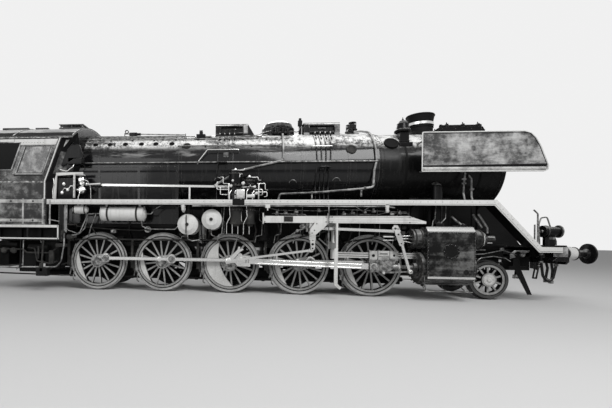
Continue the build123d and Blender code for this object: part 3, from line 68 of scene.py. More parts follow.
# Directions in the drawing
AHEAD: Point = (1, 0, 0)
ASTERN: Point = (-1, 0, 0)
TO_LEFT: Point = (0, 1, 0)
TO_RIGHT: Point = (0, -1, 0)
UP: Point = (0, 0, 1)
DOWN: Point = (0, 0, -1)


class Side(Enum):
    """Which side of the engine a piece is on, as the sign of its Y."""

    RIGHT = -1
    LEFT = 1

    def span(self, near: float, far: float) -> list[float]:
        """Low and high Y between two distances from the middle plane, on this side."""
        return sorted((self.value * near, self.value * far))


class Axis(Enum):
    """Direction that a lathe or prism runs along."""

    X = 0
    Y = 1
    Z = 2

    def step(self, sign: float = 1.0) -> list[float]:
        """One step along this axis, or against it."""
        made = [0.0, 0.0, 0.0]
        made[self.value] = float(sign)
        return made


# Shared drawing frame
@dataclass(frozen=True)
class Drawing:
    """Where the drawing's zero lies in the shared frame.

    Args:
        zero_x: shared X of the driving axle, in metres.
        tread_z: shared Z of the level that the treads run on, in metres.
    """

    zero_x: float
    tread_z: float

    @classmethod
    def from_frame(cls) -> "Drawing":
        """Read the driving tyres' box and return the drawing's place."""
        low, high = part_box("tyres_3")
        flange = 0.028
        return cls((low.x + high.x) / 2, low.z + flange)

    def at(self, x: float, y: float, z: float) -> Vector:
        """Shared place, in metres, of a drawing place in millimetres."""
        return Vector((x / PER_METRE + self.zero_x, y / PER_METRE, z / PER_METRE + self.tread_z))


# Node graphs
class Sock:
    """A node's output that takes part in arithmetic."""

    def __init__(self, graph: "Graph", out: bpy.types.NodeSocket) -> None:
        """Keep the graph and the output socket."""
        self.graph = graph
        self.out = out

    def __add__(self, other: "Sock | float") -> "Sock":
        """Sum."""
        return self.graph.math("ADD", self, other)

    __radd__ = __add__

    def __sub__(self, other: "Sock | float") -> "Sock":
        """Difference."""
        return self.graph.math("SUBTRACT", self, other)

    def __rsub__(self, other: float) -> "Sock":
        """Difference from a number."""
        return self.graph.math("SUBTRACT", other, self)

    def __mul__(self, other: "Sock | float") -> "Sock":
        """Product."""
        return self.graph.math("MULTIPLY", self, other)

    __rmul__ = __mul__

    def clip(self, low: float, high: float) -> "Sock":
        """Map low to high onto 0 to 1, smoothly, and hold it there."""
        settings = {"interpolation_type": "SMOOTHSTEP"}
        return self.graph.add("ShaderNodeMapRange", settings, {0: self, 1: low, 2: high})


class Graph:
    """Builds nodes in one tree."""

    def __init__(self, tree: bpy.types.NodeTree) -> None:
        """Empty the tree."""
        self.tree = tree
        tree.nodes.clear()

    def node(self, kind: str, settings: dict | None = None, inputs: dict | None = None) -> bpy.types.Node:
        """Add one node.

        Args:
            kind: the node's type name.
            settings: properties set first; "stops" is a ramp's list of place and colour.
            inputs: socket name or index to a value or a Sock.

        Returns:
            The new node.
        """
        made = self.tree.nodes.new(kind)
        for key, value in (settings or {}).items():
            if key == "stops":
                ramp = made.color_ramp.elements
                while len(ramp) < len(value):
                    ramp.new(0.5)
                for element, (place, shade) in zip(ramp, value):
                    element.position = place
                    element.color = (*shade, 1.0) if len(shade) == 3 else shade
            else:
                setattr(made, key, value)
        for key, value in (inputs or {}).items():
            socket = made.inputs[key]
            if isinstance(value, Sock):
                self.tree.links.new(value.out, socket)
            else:
                socket.default_value = value
        return made

    def add(self, kind: str, settings: dict | None = None, inputs: dict | None = None,
            out: int | str = 0) -> Sock:
        """Add one node and return one of its outputs."""
        return Sock(self, self.node(kind, settings, inputs).outputs[out])

    def math(self, what: str, one: "Sock | float", two: "Sock | float") -> Sock:
        """Join two numbers with a Math node."""
        return self.add("ShaderNodeMath", {"operation": what}, {0: one, 1: two})

    def mix(self, factor: "Sock | float", one: "Sock | Colour", two: "Sock | Colour") -> Sock:
        """Blend two colours."""
        shades = [c if isinstance(c, Sock) else (*c, 1.0) for c in (one, two)]
        return self.add("ShaderNodeMix", {"data_type": "RGBA"}, {0: factor, 6: shades[0], 7: shades[1]}, 2)


class Surface(Graph):
    """Shader graph that starts from Object coordinates."""

    def __init__(self, name: str) -> None:
        """Make the material with an empty tree and its shader."""
        self.material = bpy.data.materials.new(name)
        self.material.use_nodes = True
        super().__init__(self.material.node_tree)
        self.shader = self.node("ShaderNodeBsdfPrincipled")
        self.result = self.node("ShaderNodeOutputMaterial")
        self.tree.links.new(self.shader.outputs[0], self.result.inputs[0])
        self.place = self.add("ShaderNodeTexCoord", out="Object")

    def stretched(self, x: float, y: float, z: float) -> Sock:
        """Object coordinates scaled along each axis."""
        return self.add("ShaderNodeMapping", {}, {0: self.place, 3: (x, y, z)})

    def noise(self, scale: float, detail: float = 4.0, rough: float = 0.55,
              place: Sock | None = None) -> Sock:
        """Fractal noise from 0 to 1."""
        values = {"Vector": place or self.place, "Scale": scale, "Detail": detail, "Roughness": rough}
        return self.add("ShaderNodeTexNoise", {}, values)

    def height(self) -> Sock:
        """Height above the floor, in metres."""
        return self.add("ShaderNodeSeparateXYZ", {}, {0: self.place}, 2)

    def edges(self, radius: float) -> Sock:
        """Mask that is 1 along sharp edges of the form."""
        soft = self.add("ShaderNodeBevel", {"samples": 4}, {"Radius": radius})
        true = self.add("ShaderNodeNewGeometry", out="Normal")
        dot = self.add("ShaderNodeVectorMath", {"operation": "DOT_PRODUCT"}, {0: soft, 1: true}, "Value")
        return (1.0 - dot).clip(0.02, 0.16)

    def set(self, **values: "Sock | float | Colour") -> None:
        """Give the shader's sockets values or links, by name with underscores for blanks."""
        for key, value in values.items():
            socket = self.shader.inputs[key.replace("_", " ")]
            if isinstance(value, Sock):
                self.tree.links.new(value.out, socket)
            else:
                socket.default_value = (*value, 1.0) if isinstance(value, tuple) else value

    def facing(self, axis: int) -> Sock:
        """How far the face turns along an axis, -1 to 1."""
        return self.add("ShaderNodeSeparateXYZ", {}, {0: self.add("ShaderNodeNewGeometry", out="Normal")},
                        axis)

    def outward(self) -> Sock:
        """How far the face turns away from the engine's middle plane, 0 to 1."""
        side = self.add("ShaderNodeSeparateXYZ", {}, {0: self.place}, 1)
        return (self.facing(1) * self.math("SIGN", side, 0.0)).clip(0.0, 0.7)

    def bump(self, height: Sock, strength: float, distance: float = 0.004) -> None:
        """Feed a height to the shader's normal."""
        values = {"Height": height, "Strength": strength, "Distance": distance}
        self.set(Normal=self.add("ShaderNodeBump", {}, values))


@dataclass(frozen=True)
class Paint:
    """Weathered oil paint with dust, runs, chips and worn edges, a painted sky reflection with some ash on
    faces that look up, and painted shade on inner faces when asked.

    Args:
        name: the material's name.
        base: colour of the sound paint.
        dust: colour of the dust and chalking over it.
        dusty: how much of the surface the dust takes, 0 to 1.
        gloss: roughness of the sound paint.
        chips: how many chips show, 0 to 1.
        runs: strength of the upright streaks.
        wave: strength of the sheet's slow waves.
        crown: strength of the painted sky reflection, with some pale ash, on faces that look up, and of the
            painted glint streaks below them.
        sheen_and_ash_colour: colour of that painted reflection and ash.
        inner: whether faces toward the middle plane are painted near black, as painted shade between the
            parts.
        sheen: specular level of the paint.
    """

    name: str
    base: Colour
    dust: Colour = (0.16, 0.158, 0.152)
    dusty: float = 0.35
    gloss: float = 0.34
    chips: float = 0.3
    runs: float = 0.4
    wave: float = 0.1
    crown: float = 0.2
    sheen_and_ash_colour: Colour = (0.5, 0.5, 0.49)
    inner: bool = False
    sheen: float = 0.12

    def make(self) -> bpy.types.Material:
        """Build the material and return it."""
        look = Surface(self.name)
        cloud = look.noise(1.7, 7.0, 0.62)
        grain = look.noise(34.0, 5.0, 0.6)
        run = look.noise(1.0, 4.0, 0.6, look.stretched(13.0, 13.0, 0.85))
        dust = (cloud * 0.75 + grain * 0.25).clip(0.62 - 0.3 * self.dusty, 0.86 - 0.2 * self.dusty)
        runs = run.clip(0.5, 0.78) * self.runs
        low = (1.0 - look.height().clip(0.0, 1.6)) * grain.clip(0.3, 0.65) * self.dusty
        chip = look.noise(58.0, 3.0, 0.7).clip(0.74 - 0.05 * self.chips, 0.765 - 0.05 * self.chips)
        edge = look.edges(0.006) * look.noise(21.0, 4.0, 0.7).clip(0.35, 0.62)
        bare = tuple(min(1.0, c * 1.9 + 0.04) for c in self.dust)
        colour = look.mix(dust * self.dusty, self.base, self.dust)
        colour = look.mix(runs * self.dusty, colour, self.dust)
        colour = look.mix(low * 0.7, colour, self.dust)
        colour = look.mix(chip * self.chips, colour, bare)
        band = look.noise(1.0, 6.0, 0.68, look.stretched(0.9, 5.0, 5.0))
        sky_reflection_streak = (run * 0.2 + cloud * 0.25 + grain * 0.2 + band * 0.35).clip(0.42, 0.55)
        # Faces that look up are mixed toward a pale colour: a painted sky reflection with some ash, broken
        # into streaks, plus a painted glint streak just below the shoulder.
        up = look.facing(2)
        crown = up.clip(0.36, 0.66) * (sky_reflection_streak * 0.8 + 0.2)
        painted_glint = up.clip(0.16, 0.28) * (1.0 - up.clip(0.34, 0.48)) * band.clip(0.5, 0.64)
        colour = look.mix((crown + painted_glint * 0.3).clip(0, 1) * self.crown, colour, self.sheen_and_ash_colour)
        colour = look.mix(edge * 0.55, colour, bare)
        # Faces toward the middle plane are painted near black: painted shade between the parts.
        if self.inner:
            colour = look.mix(look.outward(), (0.006, 0.006, 0.006), colour)
        look.set(Base_Color=colour, Metallic=0.0, Specular_IOR_Level=self.sheen)
        look.set(Roughness=(dust * 0.3 + runs * 0.2 + low * 0.3 + grain * 0.1 + (self.gloss - 0.05)).clip(0,
                1))
        wave = look.noise(3.1, 2.0, 0.5) * self.wave + grain * 0.012 - chip * 0.02
        look.bump(wave, 0.6, 0.02)
        return look.material


@dataclass(frozen=True)
class Steel:
    """Worked steel with scratches along X, oil and stains.

    Args:
        name: the material's name.
        base: colour of the clean metal.
        stain: colour of the oil and dirt.
        dirty: how much of the surface is stained, 0 to 1.
        gloss: roughness of the clean metal.
    """

    name: str
    base: Colour
    stain: Colour = (0.05, 0.047, 0.043)
    dirty: float = 0.4
    gloss: float = 0.32

    def make(self) -> bpy.types.Material:
        """Build the material and return it."""
        look = Surface(self.name)
        scratch = look.noise(1.0, 5.0, 0.7, look.stretched(7.0, 160.0, 160.0))
        cloud = look.noise(13.0, 6.0, 0.65)
        oil = cloud.clip(0.66 - 0.3 * self.dirty, 0.8 - 0.2 * self.dirty)
        colour = look.mix(scratch.clip(0.35, 0.75) * 0.35, self.base, tuple(c * 0.62 for c in self.base))
        colour = look.mix(oil * self.dirty, colour, self.stain)
        look.set(Base_Color=colour, Metallic=(1.0 - oil * 0.8).clip(0, 1))
        look.set(Roughness=(scratch * 0.18 + oil * 0.22 + (self.gloss - 0.08)).clip(0, 1))
        look.bump(scratch * 0.02 + cloud * 0.05, 0.35, 0.01)
        return look.material


@dataclass(frozen=True)
class CastIron:
    """Sooty cast or plate iron, matt and rough.

    Args:
        name: the material's name.
        base: colour of the soot.
        rust: colour of the ash and rust over it.
        rusty: how much of it shows, 0 to 1.
    """

    name: str
    base: Colour
    rust: Colour = (0.13, 0.125, 0.118)
    rusty: float = 0.4

    def make(self) -> bpy.types.Material:
        """Build the material and return it."""
        look = Surface(self.name)
        cloud = look.noise(4.2, 8.0, 0.68)
        grain = look.noise(70.0, 4.0, 0.6)
        ash = (cloud * 0.7 + grain * 0.3).clip(0.44, 0.72)
        edge = look.edges(0.007) * cloud.clip(0.35, 0.6)
        colour = look.mix(ash * self.rusty, self.base, self.rust)
        colour = look.mix(edge * 0.4, colour, tuple(c * 1.8 for c in self.rust))
        look.set(Base_Color=colour, Metallic=0.0, Specular_IOR_Level=0.12)
        look.set(Roughness=(ash * 0.2 + grain * 0.15 + 0.5).clip(0, 1))
        look.bump(grain * 0.05 + cloud * 0.08, 0.6, 0.012)
        return look.material


@dataclass(frozen=True)
class Patina:
    """Old sheet with clouds of worn light and dark patches.

    Args:
        name: the material's name.
        dark: colour of the dark patches.
        light: colour of the light patches.
        share: middle of the cut between them, lower for more light.
        gloss: roughness of the dark patches.
        stretch: scale of the streaks along X, Y and Z.
    """

    name: str
    dark: Colour
    light: Colour
    share: float = 0.5
    gloss: float = 0.35
    stretch: tuple[float, float, float] = (5.0, 5.0, 1.1)

    def make(self) -> bpy.types.Material:
        """Build the material and return it."""
        look = Surface(self.name)
        cloud = look.noise(1.5, 9.0, 0.72)
        patch = look.noise(4.6, 8.0, 0.7)
        run = look.noise(1.0, 5.0, 0.66, look.stretched(*self.stretch))
        mixed = (cloud * 0.45 + patch * 0.3 + run * 0.25).clip(self.share - 0.09, self.share + 0.1)
        speck = look.noise(42.0, 4.0, 0.75).clip(0.6, 0.72)
        colour = look.mix(mixed, self.dark, self.light)
        colour = look.mix(speck * 0.35, colour, tuple(c * 0.4 for c in self.light))
        colour = look.mix(look.edges(0.008) * 0.6, colour,
                          tuple(min(1.0, c * 1.5 + 0.05) for c in self.light))
        # Faces that look up are mixed toward pale grey: a painted sky reflection, partly dust.
        colour = look.mix(look.facing(2).clip(0.3, 0.6) * (cloud.clip(0.42, 0.56) * 0.3 + 0.22), colour,
                       (0.6, 0.6, 0.59))
        look.set(Base_Color=colour, Metallic=0.0, Specular_IOR_Level=0.16)
        look.set(Roughness=(mixed * 0.25 + speck * 0.1 + (self.gloss - 0.05)).clip(0, 1))
        look.bump(cloud * 0.2 + patch * 0.03, 0.6, 0.02)
        return look.material


@dataclass(frozen=True)
class Glass:
    """Old window glass with a film of dust, dark and clouded.

    Args:
        name: the material's name.
    """

    name: str

    def make(self) -> bpy.types.Material:
        """Build the material and return it."""
        look = Surface(self.name)
        film = look.noise(5.0, 6.0, 0.65).clip(0.4, 0.75)
        look.set(Base_Color=look.mix(film, (0.02, 0.02, 0.02), (0.3, 0.3, 0.295)))
        look.set(Roughness=(film * 0.35 + 0.06).clip(0, 1), Alpha=(film * 0.1 + 0.9).clip(0, 1))
        look.set(Metallic=0.0, Coat_Weight=0.3)
        return look.material


@dataclass(frozen=True)
class Lens:
    """Pressed lamp glass in front of a bright reflector.

    Args:
        name: the material's name.
    """

    name: str

    def make(self) -> bpy.types.Material:
        """Build the material and return it."""
        look = Surface(self.name)
        film = look.noise(30.0, 4.0, 0.6)
        look.set(Base_Color=look.mix(film, (0.55, 0.55, 0.53), (0.8, 0.8, 0.78)))
        look.set(Roughness=(film * 0.2 + 0.05).clip(0, 1), Metallic=0.0, Coat_Weight=1.0)
        look.bump(film * 0.1, 0.3, 0.002)
        return look.material


@dataclass(frozen=True)
class Wood:
    """Worn seat and floor boards.

    Args:
        name: the material's name.
    """

    name: str

    def make(self) -> bpy.types.Material:
        """Build the material and return it."""
        look = Surface(self.name)
        grain = look.noise(1.0, 6.0, 0.65, look.stretched(6.0, 60.0, 60.0))
        wear = look.noise(7.0, 4.0).clip(0.45, 0.7)
        colour = look.mix(grain.clip(0.3, 0.7), (0.085, 0.08, 0.074), (0.18, 0.172, 0.16))
        look.set(Base_Color=look.mix(wear * 0.4, colour, (0.27, 0.262, 0.248)), Metallic=0.0)
        look.set(Roughness=(grain * 0.2 + 0.5).clip(0, 1))
        look.bump(grain, 0.3, 0.002)
        return look.material


@dataclass(frozen=True)
class Tyre:
    """Worn tyre: bright where the tread runs, dull painted faces with a rubbed outer edge, and inner faces
    painted near black as painted shade.

    Args:
        name: the material's name.
        tread: colour of the running surface.
        face: colour of the side faces.
    """

    name: str
    tread: Colour
    face: Colour

    def make(self) -> bpy.types.Material:
        """Build the material and return it."""
        look = Surface(self.name)
        face = look.math("ABSOLUTE", look.facing(1), 0.0).clip(0.55, 0.8)
        cloud = look.noise(5.0, 7.0, 0.66)
        grain = look.noise(60.0, 4.0, 0.6)
        dirt = (cloud * 0.7 + grain * 0.3).clip(0.38, 0.66)
        painted = look.mix(dirt, self.face, tuple(c * 0.45 for c in self.face))
        worn = look.mix(dirt * 0.6, self.tread, self.face)
        # Faces toward the middle plane are painted near black: painted shade between the wheels.
        colour = look.mix(face, worn, look.mix(look.outward(), (0.008, 0.008, 0.008), painted))
        look.set(Base_Color=colour, Metallic=((1.0 - face) * 0.85).clip(0, 1))
        look.set(Roughness=(dirt * 0.25 + face * 0.15 + 0.27).clip(0, 1))
        look.bump(grain * 0.04 + cloud * 0.06, 0.5, 0.01)
        return look.material


class Finish(Enum):
    """Every finish on the engine, with the record's material slot."""

    # Every Paint and Patina paints a pale sky reflection onto faces that look up, strongest on CLADDING and
    # SMOKE; WHEEL paints its inner faces near black as shade.
    BLACK = Paint("gloss_black", (0.004, 0.004, 0.0043), gloss=0.3, dusty=0.13, crown=0.3)
    CLADDING = Paint("cladding_paint", (0.006, 0.006, 0.0064), dusty=0.12, gloss=0.2, runs=0.6, wave=0.16,
                     crown=0.97, sheen_and_ash_colour=(0.85, 0.85, 0.84), sheen=0.3)
    SMOKE = Paint("smokebox_paint", (0.006, 0.006, 0.006), dusty=0.14, gloss=0.33, runs=0.5, wave=0.12,
                  crown=0.92, sheen_and_ash_colour=(0.78, 0.78, 0.77))
    FRAME = Paint("frame_paint", (0.004, 0.004, 0.004), (0.045, 0.044, 0.043), 0.22, 0.45, 0.2, 0.4)
    WHEEL = Paint("wheel_paint", (0.33, 0.33, 0.325), (0.1, 0.099, 0.096), 0.6, 0.4, 0.3, 0.3, inner=True)
    PALE = Paint("pale_paint", (0.56, 0.56, 0.55), (0.17, 0.165, 0.155), 0.45, 0.42, 0.4, 0.6, crown=0.5)
    GREY = Patina("grey_paint", (0.045, 0.045, 0.045), (0.42, 0.42, 0.416), 0.51, 0.35, (2.0, 3.0, 7.0))
    STAIN = Patina("stained_sheet", (0.005, 0.005, 0.005), (0.16, 0.16, 0.157), 0.545, 0.28, (0.6, 2.0, 9.0))
    RUBBED = Patina("rubbed_sheet", (0.12, 0.12, 0.118), (0.5, 0.5, 0.49), 0.5, 0.4, (3.0, 3.0, 8.0))
    SIDING = Patina("cab_sheet", (0.01, 0.01, 0.01), (0.33, 0.33, 0.325), 0.555, 0.32, (1.2, 3.0, 3.5))
    BRIGHT = Steel("worked_steel", (0.66, 0.66, 0.65), dirty=0.26)
    WORN = Steel("worn_steel", (0.3, 0.3, 0.295), (0.012, 0.012, 0.012), dirty=0.9, gloss=0.4)
    TREAD = Tyre("coupled_tyre", (0.6, 0.6, 0.59), (0.36, 0.36, 0.355))
    LEAD = Tyre("leading_tyre", (0.13, 0.13, 0.127), (0.04, 0.04, 0.039))
    SOOT = CastIron("sooty_iron", (0.003, 0.003, 0.003), (0.032, 0.0315, 0.031), 0.22)
    CASTING = CastIron("casting", (0.02, 0.02, 0.0195), rusty=0.5)
    GLASS = Glass("old_glass")
    LENS = Lens("lamp_lens")
    WOOD = Wood("worn_boards")

    def material(self) -> bpy.types.Material:
        """This finish's material, made once."""
        return bpy.data.materials.get(self.value.name) or self.value.make()

    @property
    def slot(self) -> str:
        """The record's slot that this finish belongs to."""
        return SLOTS[self.name]


SLOT_FINISHES = {
    "black_paint": "BLACK CLADDING FRAME WHEEL STAIN SIDING",
    "light_paint": "PALE GREY RUBBED",
    "bright_steel": "BRIGHT WORN",
    "tyre_steel": "TREAD LEAD",
    "dull_iron": "SMOKE SOOT CASTING",
    "cab_glass": "GLASS LENS",
    "seat_wood": "WOOD",
}
SLOTS = {name: slot for slot, names in SLOT_FINISHES.items() for name in names.split()}


# Mesh work in drawing millimetres
class Shape:
    """Closed shells collected in one mesh, in drawing millimetres."""

    def __init__(self, drawing: Drawing) -> None:
        """Start with an empty mesh."""
        self.drawing = drawing
        self.bm = bmesh.new()

    def box(self, x: Sequence[float], y: Sequence[float], z: Sequence[float],
            bevel: float = 0.0) -> "Shape":
        """Add a box between low and high X, Y and Z, with eased edges."""
        size = Vector((x[1] - x[0], y[1] - y[0], z[1] - z[0]))
        middle = Vector((x[0] + x[1], y[0] + y[1], z[0] + z[1])) / 2
        matrix = Matrix.Translation(middle) @ Matrix.Diagonal((*size, 1.0))
        made = bmesh.ops.create_cube(self.bm, size=1.0, matrix=matrix)
        if bevel:
            self._ease(made["verts"], bevel)
        return self

    def _ease(self, verts: Iterable[bmesh.types.BMVert], bevel: float) -> None:
        """Bevel every edge of the given vertices."""
        edges = list(dict.fromkeys(e for v in verts for e in v.link_edges))
        bmesh.ops.bevel(self.bm, geom=edges, offset=bevel, segments=2, profile=0.6, affect="EDGES")

    def _ring(self, outline: Sequence[tuple[float, float]], axis: Axis,
              depth: float) -> list[bmesh.types.BMVert]:
        """New corners of an outline in the two other axes, so far along the axis."""
        ring = []
        for a, b in outline:
            place = [a, b]
            place.insert(axis.value, depth)
            ring.append(self.bm.verts.new(place))
        return ring

    def prism(self, outline: Sequence[tuple[float, float]], axis: Axis, low: float, high: float,
              bevel: float = 0.0) -> "Shape":
        """Add a straight prism.

        Args:
            outline: corners in the two other axes, in X, Y, Z order.
            axis: the direction it runs along.
            low: its start along the axis.
            high: its end along the axis.
            bevel: how far the edges are eased.
        """
        rings = [self._ring(outline, axis, depth) for depth in (low, high)]
        count = len(outline)
        self.bm.faces.new(rings[0])
        self.bm.faces.new(rings[1][::-1])
        for n in range(count):
            m = (n + 1) % count
            self.bm.faces.new((rings[0][n], rings[1][n], rings[1][m], rings[0][m]))
        if bevel:
            self._ease(rings[0] + rings[1], bevel)
        return self

    def spin(self, profile: Sequence[tuple[float, float]], centre: Point, along: Point,
             sides: int = 40) -> "Shape":
        """Turn a profile of distance and radius about any line.

        Args:
            profile: distance along the line and radius; a ring when it ends where it starts.
            centre: the line's zero.
            along: the line's direction.
            sides: corners round the line.
        """
        main = Vector(along).normalized()
        one = main.orthogonal().normalized()
        two = main.cross(one)
        start = Vector(centre)
        closed = profile[0] == profile[-1]
        rings = []
        for distance, radius in profile[:-1] if closed else profile:
            turns = [2 * math.pi * n / sides for n in range(sides if radius > 0 else 1)]
            rings.append([self.bm.verts.new(start + main * distance
                                            + (one * math.cos(t) + two * math.sin(t)) * radius)
                          for t in turns])
        for a, b in zip(rings, rings[1:] + rings[:1] if closed else rings[1:]):
            self._bridge(a, b, sides)
        for ring in () if closed else (rings[0], rings[-1]):
            if len(ring) > 2:
                self.bm.faces.new(ring)
        return self

    def lathe(self, profile: Sequence[tuple[float, float]], axis: Axis, centre: Point,
              sides: int = 40) -> "Shape":
        """Turn a profile of distance and radius about an axis through the centre."""
        return self.spin(profile, centre, axis.step(), sides)

    def peg(self, low: float, high: float, foot: float, tip: float, centre: Point, along: Point,
            sides: int = 40) -> "Shape":
        """Add a solid peg.

        Args:
            low: where it starts on the line.
            high: where it ends on the line.
            foot: radius at its start.
            tip: radius at its end.
            centre: the line's zero.
            along: the line's direction.
            sides: corners round the line.
        """
        return self.spin([(low, 0), (low, foot), (high, tip), (high, 0)], centre, along, sides)

    def band(self, low: float, high: float, inner: float, outer: float, centre: Point, along: Point,
             sides: int = 40) -> "Shape":
        """Add a ring of square section.

        Args:
            low: where it starts on the line.
            high: where it ends on the line.
            inner: its inner radius.
            outer: its outer radius.
            centre: the line's zero.
            along: the line's direction.
            sides: corners round the line.
        """
        profile = [(low, inner), (low, outer), (high, outer), (high, inner), (low, inner)]
        return self.spin(profile, centre, along, sides)

    def _bridge(self, a: list, b: list, sides: int) -> None:
        """Join two rings, either of which may be a single point."""
        for n in range(sides):
            m = (n + 1) % sides
            corners = [a[n % len(a)], a[m % len(a)], b[m % len(b)], b[n % len(b)]]
            unique = list(dict.fromkeys(corners))
            if len(unique) > 2:
                self.bm.faces.new(unique)

    def loop(self, outer: Sequence[tuple[float, float]], inner: Sequence[tuple[float, float]], axis: Axis,
             low: float, high: float, closed: bool = True) -> "Shape":
        """Add a flat band between two outlines that have the same number of corners."""
        lo, li, ho, hi = [self._ring(outline, axis, depth)
                          for depth in (low, high) for outline in (outer, inner)]
        count = len(outer)
        last = count if closed else count - 1
        for n in range(last):
            m = (n + 1) % count
            for a, b in ((lo, li), (li, hi), (hi, ho), (ho, lo)):
                self.bm.faces.new((a[n], a[m], b[m], b[n]))
        if not closed:
            for n in (0, count - 1):
                self.bm.faces.new((lo[n], li[n], hi[n], ho[n]))
        return self

    def rod(self, start: Point, end: Point, radius: float, sides: int = 16) -> "Shape":
        """Add a round rod between two places."""
        run = Vector(end) - Vector(start)
        return self.peg(0, run.length, radius, radius, start, run, sides)

    def drum(self, radius: float, axis: Axis, centre: Point, length: float, ease: float = 0.0,
             sides: int = 32) -> "Shape":
        """Add a round bar that starts at the centre and runs along the axis."""
        sign = 1 if length > 0 else -1
        profile = [(0, 0), (0, radius), (length - sign * ease, radius), (length, radius - ease), (length, 0)]
        return self.lathe(profile, axis, centre, sides)

    def mirror(self) -> "Shape":
        """Add the same shells on the other side."""
        made = bmesh.ops.duplicate(self.bm, geom=self.bm.verts[:] + self.bm.edges[:] + self.bm.faces[:])
        for part in made["geom"]:
            if isinstance(part, bmesh.types.BMVert):
                part.co.y = -part.co.y
        return self

    def mesh(self, name: str) -> bpy.types.Mesh:
        """Close the work and return it as a mesh in the shared frame."""
        bmesh.ops.remove_doubles(self.bm, verts=self.bm.verts, dist=WELD)
        bmesh.ops.recalc_face_normals(self.bm, faces=self.bm.faces)
        for vert in self.bm.verts:
            vert.co = self.drawing.at(*vert.co)
        made = bpy.data.meshes.new(name)
        self.bm.to_mesh(made)
        self.bm.free()
        return made


def in_scene(name: str, data: bpy.types.ID) -> bpy.types.Object:
    """Make an object of its data and put it in the scene."""
    made = bpy.data.objects.new(name, data)
    bpy.context.scene.collection.objects.link(made)
    return made


class Shop:
    """Sets finished pieces on their bodies and counts them."""

    def __init__(self, drawing: Drawing) -> None:
        """Keep the drawing."""
        self.drawing = drawing
        self.count = 0

    def shape(self) -> Shape:
        """A new empty shape."""
        return Shape(self.drawing)

    def add(self, name: str, shape: "Shape", finish: Finish, body: str = ROOT,
            smooth: float = 32.0) -> bpy.types.Object:
        """Finish a shape as one piece on a body."""
        return self.place(name, shape.mesh(name), finish, body, smooth)

    def place(self, name: str, mesh: bpy.types.Mesh, finish: Finish, body: str,
              smooth: float = 32.0) -> bpy.types.Object:
        """Make the piece, dress it and set it on a body.

        Args:
            name: the piece's name.
            mesh: its mesh in the shared frame.
            finish: its finish.
            body: the body that it rides on.
            smooth: largest angle that shades smoothly, in degrees.

        Returns:
            The new object.
        """
        made = in_scene(name, mesh)
        mesh.materials.clear()
        mesh.materials.append(finish.material())
        mesh.shade_smooth()
        mesh.set_sharp_from_angle(angle=math.radians(smooth))
        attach(made, body)
        self.count += 1
        triangles = sum(len(p.vertices) - 2 for p in mesh.polygons)
        LOG.info("%s rides on %s, %d triangles", name, body, triangles)
        return made

    def grow(self, name: str, data: bpy.types.ID, tree: bpy.types.NodeTree, values: dict, finish: Finish,
             body: str, smooth: float = 32.0) -> bpy.types.Object:
        """Run a geometry tree on points or paths and place the plain result.

        Args:
            name: the piece's name.
            data: mesh or curve that the tree starts from, in the shared frame.
            tree: the geometry tree.
            values: the tree's inputs by socket name, without the finish.
            finish: its finish.
            body: the body that it rides on.
            smooth: largest angle that shades smoothly, in degrees.

        Returns:
            The new object.
        """
        source = in_scene(name + "_source", data)
        modifier = source.modifiers.new("tree", "NODES")
        modifier.node_group = tree
        set_inputs(modifier, {**values, "Finish": finish.material()})
        return self.place(name, plain_mesh(source, name), finish, body, smooth)


# Geometry Nodes: heads set on points, and pipes that follow a path
class Head(Enum):
    """Kinds of fastener."""

    RIVET = "rivet"
    BOLT = "bolt"
    PLUG = "plug"


def open_tree(name: str, **inputs: str) -> tuple[Graph, dict[str, Sock]]:
    """Start a geometry tree.

    Args:
        name: the tree's name.
        inputs: kind of each input socket, by its name with underscores for blanks.

    Returns:
        The tree's graph, and its inputs by socket name.
    """
    tree = bpy.data.node_groups.new(name, "GeometryNodeTree")
    tree.interface.new_socket("Geometry", in_out="OUTPUT", socket_type="NodeSocketGeometry")
    names = {key.replace("_", " "): kind for key, kind in inputs.items()}
    for key, kind in names.items():
        tree.interface.new_socket(key, in_out="INPUT", socket_type="NodeSocket" + kind)
    graph = Graph(tree)
    start = graph.node("NodeGroupInput").outputs
    return graph, {key: Sock(graph, start[key]) for key in names}


def close_tree(graph: Graph, form: Sock, finish: Sock) -> bpy.types.NodeTree:
    """Make the form real, give it its material and lead it out.

    Args:
        g: the tree's graph.
        form: the geometry to lead out.
        finish: the material.

    Returns:
        The finished tree.
    """
    real = graph.add("GeometryNodeRealizeInstances", {}, {"Geometry": form})
    dressed = graph.add("GeometryNodeSetMaterial", {}, {"Geometry": real, "Material": finish})
    end = graph.node("NodeGroupOutput")
    graph.tree.links.new(dressed.out, end.inputs["Geometry"])
    return graph.tree


